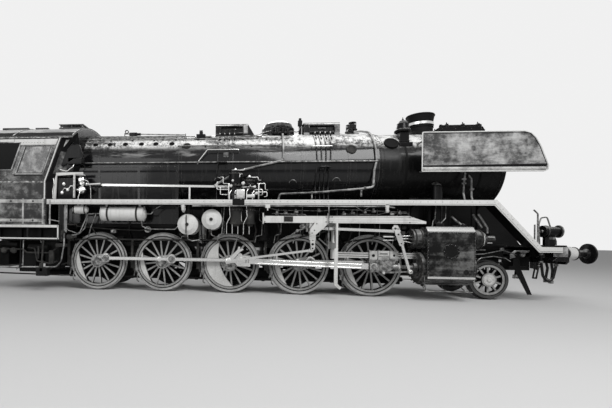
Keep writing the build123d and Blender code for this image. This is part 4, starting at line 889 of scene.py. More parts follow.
class StudTree:
    """Geometry tree that sets one head on each point, turned to the point's own direction."""

    def __init__(self) -> None:
        """No trees yet."""
        self.made: dict[Head, bpy.types.NodeTree] = {}

    def _head(self, graph: Graph, kind: Head, radius: Sock) -> Sock:
        """Head's mesh, standing on its foot along Z."""
        if kind is Head.RIVET:
            ball = graph.add("GeometryNodeMeshUVSphere", {}, {"Segments": 8, "Rings": 4, "Radius": radius})
            scale = {"Geometry": ball, "Scale": (1.0, 1.0, 0.72)}
            return graph.add("GeometryNodeTransform", {}, scale)
        sides = 6 if kind is Head.BOLT else 10
        nut = graph.add("GeometryNodeMeshCylinder", {},
                    {"Vertices": sides, "Radius": radius, "Depth": radius * 1.3})
        stud = graph.add("GeometryNodeMeshCylinder", {},
                     {"Vertices": 8, "Radius": radius * 0.55, "Depth": radius * 2.3})
        join = graph.node("GeometryNodeJoinGeometry")
        for part in (nut, stud):
            graph.tree.links.new(part.out, join.inputs[0])
        return Sock(graph, join.outputs[0])

    def tree(self, kind: Head) -> bpy.types.NodeTree:
        """The tree of one kind of head, built once."""
        if kind in self.made:
            return self.made[kind]
        graph, given = open_tree(f"studs_{kind.value}", Points="Geometry", Radius="Float", Turn_Seed="Int",
                             Finish="Material")
        out = graph.add("GeometryNodeInputNamedAttribute", {"data_type": "FLOAT_VECTOR"}, {"Name": "out"})
        turn = graph.add("FunctionNodeAlignRotationToVector", {"axis": "Z"}, {"Vector": out})
        spin = graph.add("FunctionNodeRandomValue", {"data_type": "FLOAT"},
                     {2: 0.0, 3: 2 * math.pi, "Seed": given["Turn Seed"]}, 1)
        about = graph.add("ShaderNodeCombineXYZ", {}, {"Z": spin})
        turned = graph.add("FunctionNodeRotateRotation", {"rotation_space": "LOCAL"},
                       {"Rotation": turn, "Rotate By": about})
        head = self._head(graph, kind, given["Radius"])
        heads = graph.add("GeometryNodeInstanceOnPoints", {},
                      {"Points": given["Points"], "Instance": head, "Rotation": turned})
        self.made[kind] = close_tree(graph, heads, given["Finish"])
        return self.made[kind]


def plain_mesh(source: bpy.types.Object, name: str) -> bpy.types.Mesh:
    """Turn an object with its modifier into a plain mesh and remove the object.

    Args:
        source: the object that carries the modifier.
        name: name of the new mesh.

    Returns:
        The evaluated mesh.
    """
    graph = bpy.context.evaluated_depsgraph_get()
    made = bpy.data.meshes.new_from_object(source.evaluated_get(graph))
    made.name = name
    if "out" in made.attributes:
        made.attributes.remove(made.attributes["out"])
    data = source.data
    source.modifiers.clear()
    bpy.data.objects.remove(source)
    if isinstance(data, bpy.types.Mesh):
        bpy.data.meshes.remove(data)
    else:
        bpy.data.curves.remove(data)
    return made


def set_inputs(modifier: bpy.types.NodesModifier, values: dict) -> None:
    """Set a Geometry Nodes modifier's inputs by their socket names."""
    for item in modifier.node_group.interface.items_tree:
        if item.item_type == "SOCKET" and item.in_out == "INPUT" and item.name in values:
            modifier[item.identifier] = values[item.name]


class Studs:
    """Points that get rivets, bolts or plugs, for one body."""

    trees = StudTree()

    def __init__(self, shop: Shop, kind: Head, radius: float) -> None:
        """Keep the kind of head and its radius in millimetres."""
        self.shop = shop
        self.kind = kind
        self.radius = radius
        self.points: list[tuple[Vector, Vector]] = []

    def put(self, place: Point, out: Point) -> "Studs":
        """Add one head at a drawing place, standing along out."""
        self.points.append((Vector(place), Vector(out)))
        return self

    def row(self, start: Point, end: Point, count: int, out: Point) -> "Studs":
        """Add an even row of heads."""
        for n in range(count):
            self.put(Vector(start).lerp(Vector(end), n / max(1, count - 1)), out)
        return self

    def ring(self, centre: Point, radius: float, count: int, axis: Axis, sign: int = 1,
             start: float = 0.0) -> "Studs":
        """Add heads round a circle, all standing along the axis."""
        out = axis.step(sign)
        one, two = [n for n in range(3) if n != axis.value]
        for n in range(count):
            turn = start + 2 * math.pi * n / count
            place = list(centre)
            place[one] += radius * math.cos(turn)
            place[two] += radius * math.sin(turn)
            self.put(place, out)
        return self

    def hoop(self, x: float, z: float, radius: float, count: int, low: float = 0.0,
             high: float = 360.0) -> "Studs":
        """Add heads round a boiler ring, each standing straight out."""
        for n in range(count):
            turn = math.radians(low + (high - low) * n / count)
            out = Vector((0.0, math.cos(turn), math.sin(turn)))
            self.put(Vector((x, 0.0, z)) + out * radius, out)
        return self

    def mirror(self) -> "Studs":
        """Add the same heads on the other side."""
        for place, out in list(self.points):
            self.put((place.x, -place.y, place.z), (out.x, -out.y, out.z))
        return self

    def make(self, name: str, finish: Finish, body: str = ROOT) -> bpy.types.Object:
        """Build the heads as one plain piece on a body."""
        mesh = bpy.data.meshes.new(name + "_points")
        mesh.from_pydata([self.shop.drawing.at(*p) for p, _ in self.points], [], [])
        outs = mesh.attributes.new("out", "FLOAT_VECTOR", "POINT")
        outs.data.foreach_set("vector", [c for _, o in self.points for c in o.normalized()])
        values = {"Radius": self.radius / PER_METRE, "Turn Seed": TURN_SEED}
        return self.shop.grow(name, mesh, self.trees.tree(self.kind), values, finish, body)


class Pipes:
    """Pipes of one radius that follow corners with easy bends, for one body."""

    tree: bpy.types.NodeTree | None = None

    def __init__(self, shop: Shop, radius: float, bend: float = 3.0) -> None:
        """Keep the pipe's radius in millimetres and its bend in radii."""
        self.shop = shop
        self.radius = radius
        self.bend = bend
        self.runs: list[list[Vector]] = []

    def run(self, *corners: Point) -> "Pipes":
        """Add one pipe through its corners."""
        self.runs.append([Vector(c) for c in corners])
        return self

    def mirror(self) -> "Pipes":
        """Add the same pipes on the other side."""
        for run in list(self.runs):
            self.runs.append([Vector((c.x, -c.y, c.z)) for c in run])
        return self

    @classmethod
    def _tree(cls) -> bpy.types.NodeTree:
        """The tree that bends the path and gives it its round section."""
        if cls.tree:
            return cls.tree
        graph, given = open_tree("pipe_run", Path="Geometry", Radius="Float", Bend="Float", Sides="Int",
                             Finish="Material")
        eased = graph.add("GeometryNodeFilletCurve", {"mode": "POLY"},
                      {"Curve": given["Path"], "Radius": given["Bend"], "Limit Radius": True, "Count": 5})
        circle = graph.add("GeometryNodeCurvePrimitiveCircle", {},
                       {"Resolution": given["Sides"], "Radius": given["Radius"]})
        tube = graph.add("GeometryNodeCurveToMesh", {},
                     {"Curve": eased, "Profile Curve": circle, "Fill Caps": True})
        cls.tree = close_tree(graph, tube, given["Finish"])
        return cls.tree

    def make(self, name: str, finish: Finish, body: str = ROOT, sides: int = 10) -> bpy.types.Object:
        """Build the pipes as one plain piece on a body."""
        curve = bpy.data.curves.new(name + "_path", "CURVE")
        curve.dimensions = "3D"
        for run in self.runs:
            spline = curve.splines.new("POLY")
            spline.points.add(len(run) - 1)
            for point, corner in zip(spline.points, run):
                point.co = (*self.shop.drawing.at(*corner), 1.0)
        values = {"Radius": self.radius / PER_METRE, "Bend": self.radius * self.bend / PER_METRE,
                  "Sides": sides}
        return self.shop.grow(name, curve, self._tree(), values, finish, body, 50.0)


# The boiler, with what stands and runs on it
@dataclass
class Boiler:
    """Cladding seams, plugs, rods, rails and pipes on the barrel and the firebox.

    Args:
        axis_z: height of the barrel's axis.
        radius: outer radius of the cladding.
        rear: X of the firebox cladding's rear end.
        throat: X where the firebox meets the barrel.
        foot_z: height of the firebox cladding's lower edge.
        knee_z: height where its flank starts to lean out.
        foot_half: half width of the firebox at its foot.
        firebox_bands: X of each band on the firebox.
        plugs: X of each washout plug.
        plug_angle: angle of the plugs above the level, in degrees.
        steam_pipe_r: radius of the pale pipes.
        sand_pipe_r: radius of the sand pipes.
        barrel_bands: X of each band's screws on the barrel.
        sand_x: low and high X of each sandbox.
        sand_top: height of the sandboxes' lids.
        sand_half: half width of the sandboxes.
        dome_x: X of the dome.
        dome_r: radius of the dome.
        dome_top: height of its top.
    """

    axis_z: float = 3050.0
    radius: float = 945.0
    rear: float = -3760.0
    throat: float = -1260.0
    foot_z: float = 1640.0
    knee_z: float = 2000.0
    foot_half: float = 860.0
    firebox_bands: tuple[float, ...] = (-3250.0, -2250.0, -1300.0)
    plugs: tuple[float, ...] = (-3424.0, -3047.0, -2652.0, -2240.0, -1871.0, -1465.0)
    plug_angle: float = 38.5
    steam_pipe_r: float = 25.0
    sand_pipe_r: float = 15.0
    barrel_bands: tuple[float, ...] = (-1220.0, 640.0, 1690.0, 2760.0)
    sand_x: tuple[tuple[float, float], ...] = ((-399.0, 420.0), (1801.0, 2670.0))
    sand_top: float = 4204.0
    sand_half: float = 430.0
    dome_x: float = 1210.0
    dome_r: float = 412.0
    dome_top: float = 4356.0

    def skin(self, x: float, angle: float, lift: float = 0.0, side: Side = Side.RIGHT) -> Vector:
        """Place on the cladding at an angle above the level, lifted off it by so much."""
        turn = math.radians(angle)
        reach = self.radius + lift
        return Vector((x, side.value * reach * math.cos(turn), self.axis_z + reach * math.sin(turn)))

    def out(self, angle: float, side: Side = Side.RIGHT) -> Vector:
        """Direction straight out of the cladding at an angle above the level."""
        turn = math.radians(angle)
        return Vector((0.0, side.value * math.cos(turn), math.sin(turn)))

    def firebox_path(self, lift: float) -> list[tuple[float, float]]:
        """Outline of the firebox cladding in Y and Z, lifted by so much."""
        arc = [(math.cos(math.radians(a)) * (self.radius + lift),
                self.axis_z + math.sin(math.radians(a)) * (self.radius + lift)) for a in range(0, 181, 6)]
        flank = [(self.foot_half + lift, self.foot_z), (self.foot_half + lift, self.knee_z)]
        return flank + arc + [(-y, z) for y, z in flank[::-1]]

    def bands(self, shop: Shop) -> None:
        """Bands, sheet joints and rivets of the firebox cladding."""
        shape = shop.shape()
        for x in self.firebox_bands:
            shape.loop(self.firebox_path(8), self.firebox_path(-4), Axis.X, x - 28, x + 28, closed=False)
        shop.add("firebox_bands", shape, Finish.CLADDING)
        seams = shop.shape()
        for angle, thick, tall in ((24.5, 5, 34), (-1.0, 9, 26)):
            place = self.skin(0, angle)
            turn = math.radians(angle)
            wide = Vector((0, -math.sin(turn), -math.cos(turn))) * tall / 2
            lift = self.out(angle) * thick
            corners = [place + wide - lift * 0.6, place + wide + lift, place - wide + lift,
                       place - wide - lift * 0.6]
            seams.prism([(c.y, c.z) for c in corners], Axis.X, self.rear, self.throat)
            seams.prism([(-c.y, c.z) for c in corners], Axis.X, self.rear, self.throat)
        shop.add("firebox_seams", seams, Finish.CLADDING)
        heads = Studs(shop, Head.RIVET, 9)
        for x in self.firebox_bands:
            for angle in (-8, 12, 48, 76):
                heads.put(self.skin(x, angle, 7), self.out(angle))
            for z in (1760, 1960, 2260, 2560, 2800):
                lean = (self.radius - self.foot_half) * max(0, z - self.knee_z)
                y = self.foot_half + lean / (self.axis_z - self.knee_z)
                heads.put((x, -y - 7, z), TO_RIGHT)
        for n in range(14):
            x = self.rear + 90 + n * (self.throat - self.rear - 180) / 13
            heads.put(self.skin(x, 24.5, 5), self.out(24.5)).put(self.skin(x, -1, 9), self.out(-1))
        heads.mirror().make("firebox_rivets", Finish.CLADDING)

    def clamps(self, shop: Shop, bands: Sequence[float]) -> None:
        """Tightening screws where the barrel bands meet."""
        shape = shop.shape()
        for x in bands:
            for side in Side:
                place = self.skin(x, -62, 20, side)
                shape.box((x - 26, x + 26), (place.y - 16, place.y + 16), (place.z - 34, place.z + 34), 5)
        shop.add("band_clamps", shape, Finish.CLADDING)

    def washouts(self, shop: Shop) -> None:
        """Washout plugs along the shoulders, mudhole covers and plug rings."""
        shape = shop.shape()
        for side in Side:
            along = self.out(self.plug_angle, side)
            for x in self.plugs:
                foot = self.skin(x, self.plug_angle, -6, side)
                shape.spin([(0, 0), (0, 66), (14, 66), (20, 56), (20, 0)], foot, along, 24)
                shape.peg(14, 44, 34, 30, foot, along, 6)
        shop.add("washout_plugs", shape, Finish.SOOT)
        cover = shop.shape()
        places = ((2818.0, 23.3, 118.0), (-1080.0, 33.0, 92.0))
        bolts = Studs(shop, Head.BOLT, 11)
        for x, angle, r in places:
            for side in Side:
                foot, along = self.skin(x, angle, -22, side), self.out(angle, side)
                cover.spin([(0, 0), (0, r), (42, r), (50, r - 12), (50, r - 36), (34, r - 46), (34, 0)],
                           foot, along, 36)
                one = Vector(AHEAD)
                two = along.cross(one)
                for n in range(8):
                    turn = 2 * math.pi * n / 8
                    bolts.put(foot + along * 48 + (one * math.cos(turn) + two * math.sin(turn)) * (r - 24),
                              along)
        shop.add("mudhole_covers", cover, Finish.CASTING)
        bolts.make("mudhole_bolts", Finish.CASTING)
        rings = Pipes(shop, 9, 0.0)
        for x, angle in ((2480.0, -23.2), (1479.0, -26.0), (-300.0, -22.0)):
            for side in Side:
                along = self.out(angle, side)
                two = along.cross(Vector(AHEAD)) * side.value
                foot = self.skin(x, angle, 9, side)
                arc = [math.radians(a) for a in range(190, 351, 16)]
                rings.run(*[foot + Vector((math.cos(a) * 86, 0, 0)) - two * math.sin(a) * -86 for a in arc])
        rings.make("plug_rings", Finish.WORN)

    def rods(self, shop: Shop) -> None:
        """Regulator and blower rods, shoulder pipes and their brackets along the firebox."""
        runs = Pipes(shop, 13, 0.0)
        runs.run((-3347, -600, 3828), (-703, -600, 3800))
        runs.run((-2776, -400, 4000), (-1172, -400, 3955))
        runs.run((-3760, -750, 3674), (-2900, -750, 3664))
        runs.make("firebox_rods", Finish.WORN)
        shoulder = Pipes(shop, 16, 0.0)
        clips = shop.shape()
        for angle, rear, front in ((47.5, -3740, 1150), (55.0, -3740, -900), (31.0, -1300, 1180)):
            shoulder.run(self.skin(rear, angle, 40), self.skin(front, angle, 40))
            for n in range(int((front - rear) / 560) + 1):
                foot = self.skin(rear + 120 + 560 * n, angle, -8)
                clips.peg(0, 58, 11, 11, foot, self.out(angle), 12)
                clips.peg(0, 16, 26, 24, foot, self.out(angle), 16)
        shoulder.make("shoulder_pipes", Finish.WORN)
        shop.add("shoulder_clips", clips, Finish.BLACK)
        shape = shop.shape()
        for x, y, top in ((-3353, -600, 3850), (-2500, -600, 3846), (-1719, -600, 3838), (-900, -600, 3826),
                          (-2776, -400, 4020), (-1172, -400, 3985), (-3700, -750, 3696), (-2930, -750, 3690)):
            low = self.axis_z + math.sqrt(self.radius**2 - y * y) - 14
            shape.box((x - 9, x + 9), (y - 9, y + 9), (low, top), 2)
            shape.box((x - 22, x + 22), (y - 24, y + 24), (low - 6, low + 18), 3)
        shape.band(-9, 9, 30, 52, (-2720, -400, 4052), TO_LEFT, 24)
        shape.box((-2650, -2440), (-430, -370), (3930, 4030), 10)
        shape.drum(34, Axis.X, (-2470, -400, 3986), 120, 4)
        shape.box((-870, -640), (-640, -420), (3760, 3905), 12)
        shape.drum(46, Axis.Z, (-760, -500, 3880), 120, 6)
        shape.drum(30, Axis.X, (-640, -540, 3850), 150, 4)
        shape.box((-800, -720), (-520, -480), (3985, 4030), 4)
        shop.add("regulator_gear", shape, Finish.BLACK)

    def feed_pipes(self, shop: Shop) -> None:
        """Pale steam and feed pipes that come down the right side, with their unions."""
        drop = [self.skin(1275 - n * 10, 62 - n * 13.5, 46) for n in range(5)]
        pipes = Pipes(shop, self.steam_pipe_r, 2.4)
        pipes.run(*drop, (1221, -1004, 3150), (188, -1012, 2906), (-357, -1060, 2560), (-357, -1130, 2520),
                  (-104, -1200, 2470), (20, -1230, 2470))
        front = [self.skin(3353, 66 - n * 15, 46) for n in range(5)]
        pipes.run((3060, -250, 4010), (3200, -330, 4000), *front, (3300, -985, 2900), (3285, -985, 2527),
                  (3019, -985, 2484), (1904, -990, 2390), (1169, -1000, 2360), (1120, -1000, 2200))
        pipes.make("feed_pipes", Finish.GREY)
        unions = shop.shape()
        for place, along in (((1221, -1004, 3172), (0, 0.06, 1)), ((188, -1012, 2906), (1, 0, 0.24)),
                             ((-357, -1060, 2545), (1, 0, 0.62)), ((3286, -985, 2600), UP),
                             ((3100, -986, 2498), (1, 0, 0.14)), ((1904, -990, 2390), (1, 0, 0.06)),
                             ((-104, -1200, 2470), AHEAD)):
            unions.peg(-24, 24, 38, 38, place, along, 6)
        unions.box((3000, 3038), (-985, -960), (2300, 2500), 4)
        unions.box((1890, 1920), (-990, -965), (2180, 2400), 4)
        shop.add("feed_pipe_unions", unions, Finish.WORN)

    def sand_pipes(self, shop: Shop, boxes: Sequence[tuple[float, float]]) -> None:
        """Four pipes from each sandbox on both sides, their valves, and the pipes along the crown."""
        pipes = Pipes(shop, self.sand_pipe_r, 2.0)
        valves = shop.shape()
        for low, _ in boxes:
            long = low > 0
            first = low + 250 if long else low + 118
            for n in range(4):
                x = first + n * 121
                slant = 22 * n if long else 0
                walk = [self.skin(x - 30 - slant * (56 - a) / 60, a, 24) for a in (56, 46, 36, 26, 14, 2)]
                end = [self.skin(x - 50 - slant, a, 24) for a in (-12, -26)] if long or n in (0, 3) else []
                start = [(x, -500, 3960), (x, -560, 3900)]
                stop = [(x - 50 - slant, -860, 2540), (x - 50 - slant, -920, 2190)] if end else []
                pipes.run(*start, *walk[:6 if end else 4], *end, *stop)
                valves.drum(27, Axis.Z, (x, -505, 3850), 110, 4, 18)
                valves.drum(17, Axis.Z, (x, -505, 3955), 70, 3, 12)
                valves.peg(0, 16, 34, 34, (x, -518, 3868), (0, -1, -0.2), 6)
                valves.peg(0, 40, 24, 24, self.skin(x - 12, 47, 24), (0.05, -0.7, -0.7), 10)
        valves.mirror()
        crown = Pipes(shop, 13, 2.4)
        crown.run((-3950, -430, 3928), (-2500, -430, 3920), (-1300, -430, 3918), (-1150, -470, 3890))
        crown.run((-3950, -606, 3806), (-1500, -606, 3806), (-760, -606, 3800), (-640, -500, 3890))
        crown.run((-900, -560, 3850), (-500, -560, 3850), (100, -560, 3850), (700, -520, 3860),
                  (900, -430, 3930))
        crown.run((-620, -640, 3780), (200, -640, 3780), (620, -610, 3800), (760, -540, 3850))
        crown.make("shoulder_pipes", Finish.WORN)
        pipes.mirror().make("sand_pipes", Finish.CLADDING)
        shop.add("sand_valves", valves, Finish.CASTING)

    def boxes(self, shop: Shop, boxes: Sequence[tuple[float, float]], top: float, half: float) -> None:
        """Lids, pale end panels, hinges and edge angles of the sandboxes."""
        edge = shop.shape()
        panel = shop.shape()
        rivets = Studs(shop, Head.RIVET, 8)
        for low, high in boxes:
            edge.box((low - 6, high + 6), (-half + 34, half - 34), (top - 4, top + 7), 3)
            edge.box((low + 150, high - 150), (-half + 90, half - 90), (top + 4, top + 26), 6)
            for side in Side:
                y = side.value * (half + 1)
                for z in (3975, top - 62):
                    edge.box((low + 118, high - 118), side.span(half + 1, half + 8), (z - 12, z + 12), 2)
                for x in (low + 124, high - 124):
                    edge.box((x - 11, x + 11), side.span(half + 1, half + 8), (3968, top - 55), 2)
                mid = (low + high) / 2
                edge.box((mid - 110, mid + 110), side.span(half - 57, half - 45), (4050, 4090), 4)
                panel.box((high - 108, high - 8), side.span(half - 1, half + 5), (3962, top - 44), 1)
                for z in range(3985, int(top) - 50, 45):
                    rivets.put((high - 18, y + side.value * 4, z), (0, side.value, 0))
                    rivets.put((low + 20, y, z), (0, side.value, 0))
        shop.add("sandbox_edges", edge, Finish.CLADDING)
        shop.add("sandbox_panels", panel, Finish.GREY)
        rivets.make("sandbox_rivets", Finish.CLADDING)

    def steps(self, shop: Shop) -> None:
        """Foot rails, step plates and the tool box below the sandboxes."""
        rail = Pipes(shop, 14, 1.5)
        rail.run(self.skin(-560, 21.5, 0), self.skin(-556, 21.5, 92), self.skin(198, 21.5, 92),
                 self.skin(202, 21.5, 0))
        rail.run(self.skin(-556, 21.5, 92), self.skin(-760, 6, 70), self.skin(-800, 2, 10))
        rail.run(self.skin(1900, 26, 0), self.skin(1904, 26, 80), self.skin(2380, 26, 80),
                 self.skin(2384, 26, 0))
        rail.mirror().make("foot_rails", Finish.BRIGHT)
        shape = shop.shape()
        for x, angle in ((-200, 3.5), (2180, -4.0)):
            foot = self.skin(x, angle, -8)
            shape.box((x - 120, x + 120), (foot.y - 165, foot.y), (foot.z - 8, foot.z + 8), 3)
            for dx in (-90, 90):
                shape.prism([(foot.y, foot.z), (foot.y - 150, foot.z), (foot.y + 8, foot.z - 150)], Axis.X,
                            x + dx - 6, x + dx + 6)
        shape.mirror()
        shop.add("boiler_steps", shape, Finish.CLADDING)
        tag = shop.shape()
        place = self.skin(-115, 15.5, 22)
        tag.box((-170, -60), (place.y - 12, place.y + 12), (place.z - 55, place.z + 55), 6)
        shop.add("tool_box", tag, Finish.GREY)

    def dome(self, shop: Shop, x: float, radius: float, top: float) -> None:
        """Rings, bolts, steam cocks and small pipes of the dome."""
        ring = shop.shape()
        for z, lift, tall in ((3992, 20, 26), (4142, 4, 12)):
            r = radius + lift
            ring.band(-tall / 2, tall / 2, r - 14, r, (x, 0, z), UP, 56)
        ring.spin([(0, 0), (0, 70), (16, 70), (26, 54), (26, 0)], (x, 0, top - 8), UP, 24)
        shop.add("dome_rings", ring, Finish.CLADDING)
        bolts = Studs(shop, Head.BOLT, 13).ring((x, 0, 4006), radius + 8, 26, Axis.Z)
        bolts.make("dome_bolts", Finish.CASTING)
        cocks = shop.shape()
        for dx, y, z, size in ((-60, -470, 4010, 40), (70, -470, 4018, 46), (190, -480, 3990, 38),
                               (-180, -462, 4020, 32)):
            cocks.drum(size * 0.6, Axis.Y, (x + dx, y + 60, z), -110, 3, 18)
            cocks.drum(size, Axis.Z, (x + dx, y - 10, z - 60), 118, 6, 20)
            cocks.drum(size * 0.4, Axis.Z, (x + dx, y - 10, z + 50), 60, 2, 12)
            cocks.band(-6, 6, size * 0.7, size, (x + dx, y - 10, z + 108), UP, 20)
            cocks.box((x + dx - size, x + dx + size), (y - 14, y - 6), (z + 102, z + 114), 2)
        cocks.box((x - 240, x + 260), (-500, -440), (3930, 3975), 8)
        shop.add("dome_cocks", cocks, Finish.BLACK)
        link = Pipes(shop, 10, 1.5)
        link.run((x + 250, -470, 4000), (x + 420, -300, 4010), (x + 500, -180, 4060), (x + 548, -130, 4180))
        link.run((x - 200, -470, 4010), (x - 420, -520, 3950), (x - 520, -560, 3880), (x - 1400, -590, 3820))
        link.make("dome_pipes", Finish.WORN)

    def safety_valves(self, shop: Shop) -> None:
        """Springs, posts and rings of the two safety valves, and the gear beside them."""
        shape = shop.shape()
        for y in (-110, 110):
            for z in range(4150, 4230, 16):
                shape.band(-5, 5, 68, 84, (3060, y, z), UP, 24)
            for turn in range(4):
                a = math.radians(45 + 90 * turn)
                x = 3060 + 96 * math.cos(a)
                shape.rod((x, y + 96 * math.sin(a), 4060), (x, y + 96 * math.sin(a), 4262), 9, 8)
            shape.peg(0, 18, 118, 118, (3060, y, 4092), UP, 28)
            shape.band(0, 14, 52, 92, (3060, y, 4272), UP, 24)
        shape.box((2900, 3220), (-150, 150), (3960, 4010), 10)
        shape.drum(52, Axis.Y, (2960, -140, 4040), -120, 6, 20)
        shape.band(-7, 7, 46, 62, (2960, -276, 4040), TO_LEFT, 24)
        shape.box((2900, 3020), (-280, -268), (4034, 4046), 2)
        shop.add("safety_valve_gear", shape, Finish.BLACK)

    def build(self, shop: Shop) -> None:
        """Make every piece on the boiler."""
        self.bands(shop)
        self.clamps(shop, self.barrel_bands)
        self.washouts(shop)
        self.rods(shop)
        self.feed_pipes(shop)
        self.sand_pipes(shop, self.sand_x)
        self.boxes(shop, self.sand_x, self.sand_top, self.sand_half)
        self.steps(shop)
        self.dome(shop, self.dome_x, self.dome_r, self.dome_top)
        self.safety_valves(shop)


@dataclass
class Smokebox:
    """Rivet rows, door clamps, chimney ring and the fittings on the smokebox.

    Args:
        axis_z: height of its axis.
        radius: outer radius of the wrapper.
        front: X of the front plate.
        door_r: radius of the door.
        door_x: X of the door's face.
        chimney_x: X of the chimney.
        chimney_r: radius of the chimney at its ring.
    """

    axis_z: float = 3050.0
    radius: float = 905.0
    front: float = 6190.0
    door_r: float = 745.0
    door_x: float = 6193.0
    chimney_x: float = 4747.0
    chimney_r: float = 290.0

    def rivets(self, shop: Shop) -> None:
        """Rivet rows round both ends and along the joints."""
        rows = Studs(shop, Head.RIVET, 13)
        for x, r, low, high in ((3475, 930, -44, 224), (6155, 917, -44, 224), (3560, 905, -38, 218),
                                (6080, 905, -38, 50), (6080, 905, 130, 218)):
            rows.hoop(x, self.axis_z, r, round((high - low) / 4.6), low, high)
        for angle in (-34, 214):
            turn = math.radians(angle)
            y, z = self.radius * math.cos(turn), self.axis_z + self.radius * math.sin(turn)
            rows.row((3640, y, z), (6000, y, z), 30, (0, math.cos(turn), math.sin(turn)))
        rows.ring((self.front + 1, 0, self.axis_z), 850, 60, Axis.X)
        rows.make("smokebox_rivets", Finish.SOOT)

    def seams(self, shop: Shop) -> None:
        """Wrapper joint straps."""
        shape = shop.shape()
        r = self.radius
        for x in (5670, 4060):
            shape.band(-20, 20, r - 6, r + 7, (x, 0, self.axis_z), AHEAD, 80)
        shop.add("smokebox_straps", shape, Finish.SOOT)

    def door(self, shop: Shop) -> None:
        """Clamps, ring, hand wheel, hinge bolts and hand rail of the door."""
        clamps = shop.shape()
        for n in range(12):
            a = math.radians(15 + n * 30)
            y, z = math.cos(a), math.sin(a)
            if y > 0.9:
                continue
            foot = Vector((self.front, y * 800, self.axis_z + z * 800))
            clamps.spin([(0, 0), (0, 34), (18, 34), (30, 24), (30, 0)], foot, AHEAD, 16)
            inner = Vector((self.door_x + 34, y * 715, self.axis_z + z * 715))
            clamps.rod(foot + Vector((24, 0, 0)), inner, 13, 10)
        shop.add("door_clamps", clamps, Finish.CASTING)
        face = shop.shape()
        middle = (self.door_x, 0, self.axis_z)
        face.spin([(24, self.door_r - 34), (24, self.door_r - 6), (36, self.door_r - 6),
                   (42, self.door_r - 20), (42, self.door_r - 34), (24, self.door_r - 34)], middle, AHEAD,
                  64)
        face.spin([(140, 0), (140, 96), (168, 92), (174, 80), (174, 0)], middle, AHEAD, 32)
        shop.add("door_ring", face, Finish.SOOT, "smokebox_door")
        wheel = shop.shape()
        wheel.band(186, 204, 118, 138, middle, AHEAD, 40)
        for n in range(3):
            a = math.radians(30 + 60 * n)
            step = Vector((0, math.cos(a), math.sin(a))) * 122
            centre = Vector(middle) + Vector((195, 0, 0))
            wheel.rod(centre - step, centre + step, 9, 10)
        wheel.rod((self.door_x + 52, -430, self.axis_z + 330), (self.door_x + 118, -330, self.axis_z + 300),
                  10, 8)
        shop.add("door_wheel", wheel, Finish.BRIGHT, "smokebox_door")
        bolts = Studs(shop, Head.BOLT, 15)
        for z in (2760, 3340):
            bolts.row((self.door_x + 50, 330, z), (self.door_x + 50, 700, z), 4, AHEAD)
        bolts.make("door_bolts", Finish.CASTING, "smokebox_door")
        rail = Pipes(shop, 15, 2.0)
        arc = [math.radians(a) for a in range(48, 133, 7)]
        rail.run(*[(self.front + 70, 860 * math.cos(a), self.axis_z + 860 * math.sin(a)) for a in arc])
        for a in (arc[0], arc[6], arc[12]):
            y, z = 860 * math.cos(a), self.axis_z + 860 * math.sin(a)
            rail.run((self.front - 2, y, z), (self.front + 70, y, z))
        rail.make("door_rail", Finish.BRIGHT)

    def chimney(self, shop: Shop) -> None:
        """Polished ring, rim bead and foot ring of the chimney."""
        r = self.chimney_r
        ring = shop.shape()
        ring.spin([(4186, r + 2), (4186, r + 12), (4248, r + 13), (4248, r + 2), (4186, r + 2)],
                  (self.chimney_x, 0, 0), UP, 64)
        shop.add("chimney_ring", ring, Finish.BRIGHT)
        rim = shop.shape()
        bead = [(4432 + 14 * math.sin(a), r + 24 + 12 * math.cos(a))
                for a in [math.pi * n / 4 for n in range(8)]]
        rim.spin(bead + bead[:1], (self.chimney_x, 0, 0), UP, 64)
        rim.band(4130, 4142, r - 10, r + 6, (self.chimney_x, 0, 0), UP, 64)
        shop.add("chimney_rim", rim, Finish.SOOT)

    def fittings(self, shop: Shop) -> None:
        """Shoulder disc, bell rings, top nuts, preheater lip, and pipes with flanges."""
        turn = math.radians(36)
        out = Vector((0, -math.cos(turn), math.sin(turn)))
        foot = Vector((3763, 0, self.axis_z)) + out * (self.radius - 20)
        disc = shop.shape()
        disc.spin([(0, 0), (0, 165), (52, 165), (60, 154), (60, 120), (50, 112), (50, 0)], foot, out, 48)
        shop.add("shoulder_disc", disc, Finish.SOOT)
        bell = shop.shape()
        bell.spin([(3880, 150), (3880, 182), (3900, 186), (3916, 182), (3916, 150), (3880, 150)],
                  (4077, -600, 0), UP, 48)
        bell.spin([(4070, 110), (4070, 128), (4082, 124), (4082, 110), (4070, 110)], (4077, -600, 0), UP, 40)
        bell.rod((4077, -600, 4195), (4077, -600, 4236), 9, 10)
        bell.box((3960, 4194), (-717, -483), (3640, 3662), 4)
        shop.add("bell_rings", bell, Finish.SOOT)
        nuts = Studs(shop, Head.BOLT, 12)
        for x in (3985, 4169):
            for y in (-695, -505):
                nuts.put((x, y, 3662), UP)
        for x in (5238, 5607, 5951):
            for y in (-270, 270):
                nuts.put((x, y, 4190), UP).put((x - 16, y - 30, 4158), UP).put((x + 16, y + 30, 4158), UP)
        for x in (5120, 5420, 5780, 6010):
            for side in Side:
                nuts.put((x, side.value * 321, 4030), (0, side.value, 0))
        nuts.make("smokebox_top_nuts", Finish.CASTING)
        lip = shop.shape()
        lip.box((4990, 6088), (-334, 334), (3990, 4006), 4)
        for end in (5105, 6000):
            lip.drum(44, Axis.X, (end - 20, -270, 4108), 44, 6, 20)
            lip.drum(44, Axis.X, (end - 20, 270, 4108), 44, 6, 20)
        shop.add("preheater_lip", lip, Finish.SOOT)
        pipes = Pipes(shop, 19, 2.0)
        pipes.run((5264, -880, 2930), (5264, -1000, 2842), (5239, -1000, 2617), (5236, -990, 2386),
                  (5236, -1050, 2190))
        pipes.run((5409, -880, 2800), (5409, -980, 2700), (5409, -985, 2300), (5409, -1040, 2190))
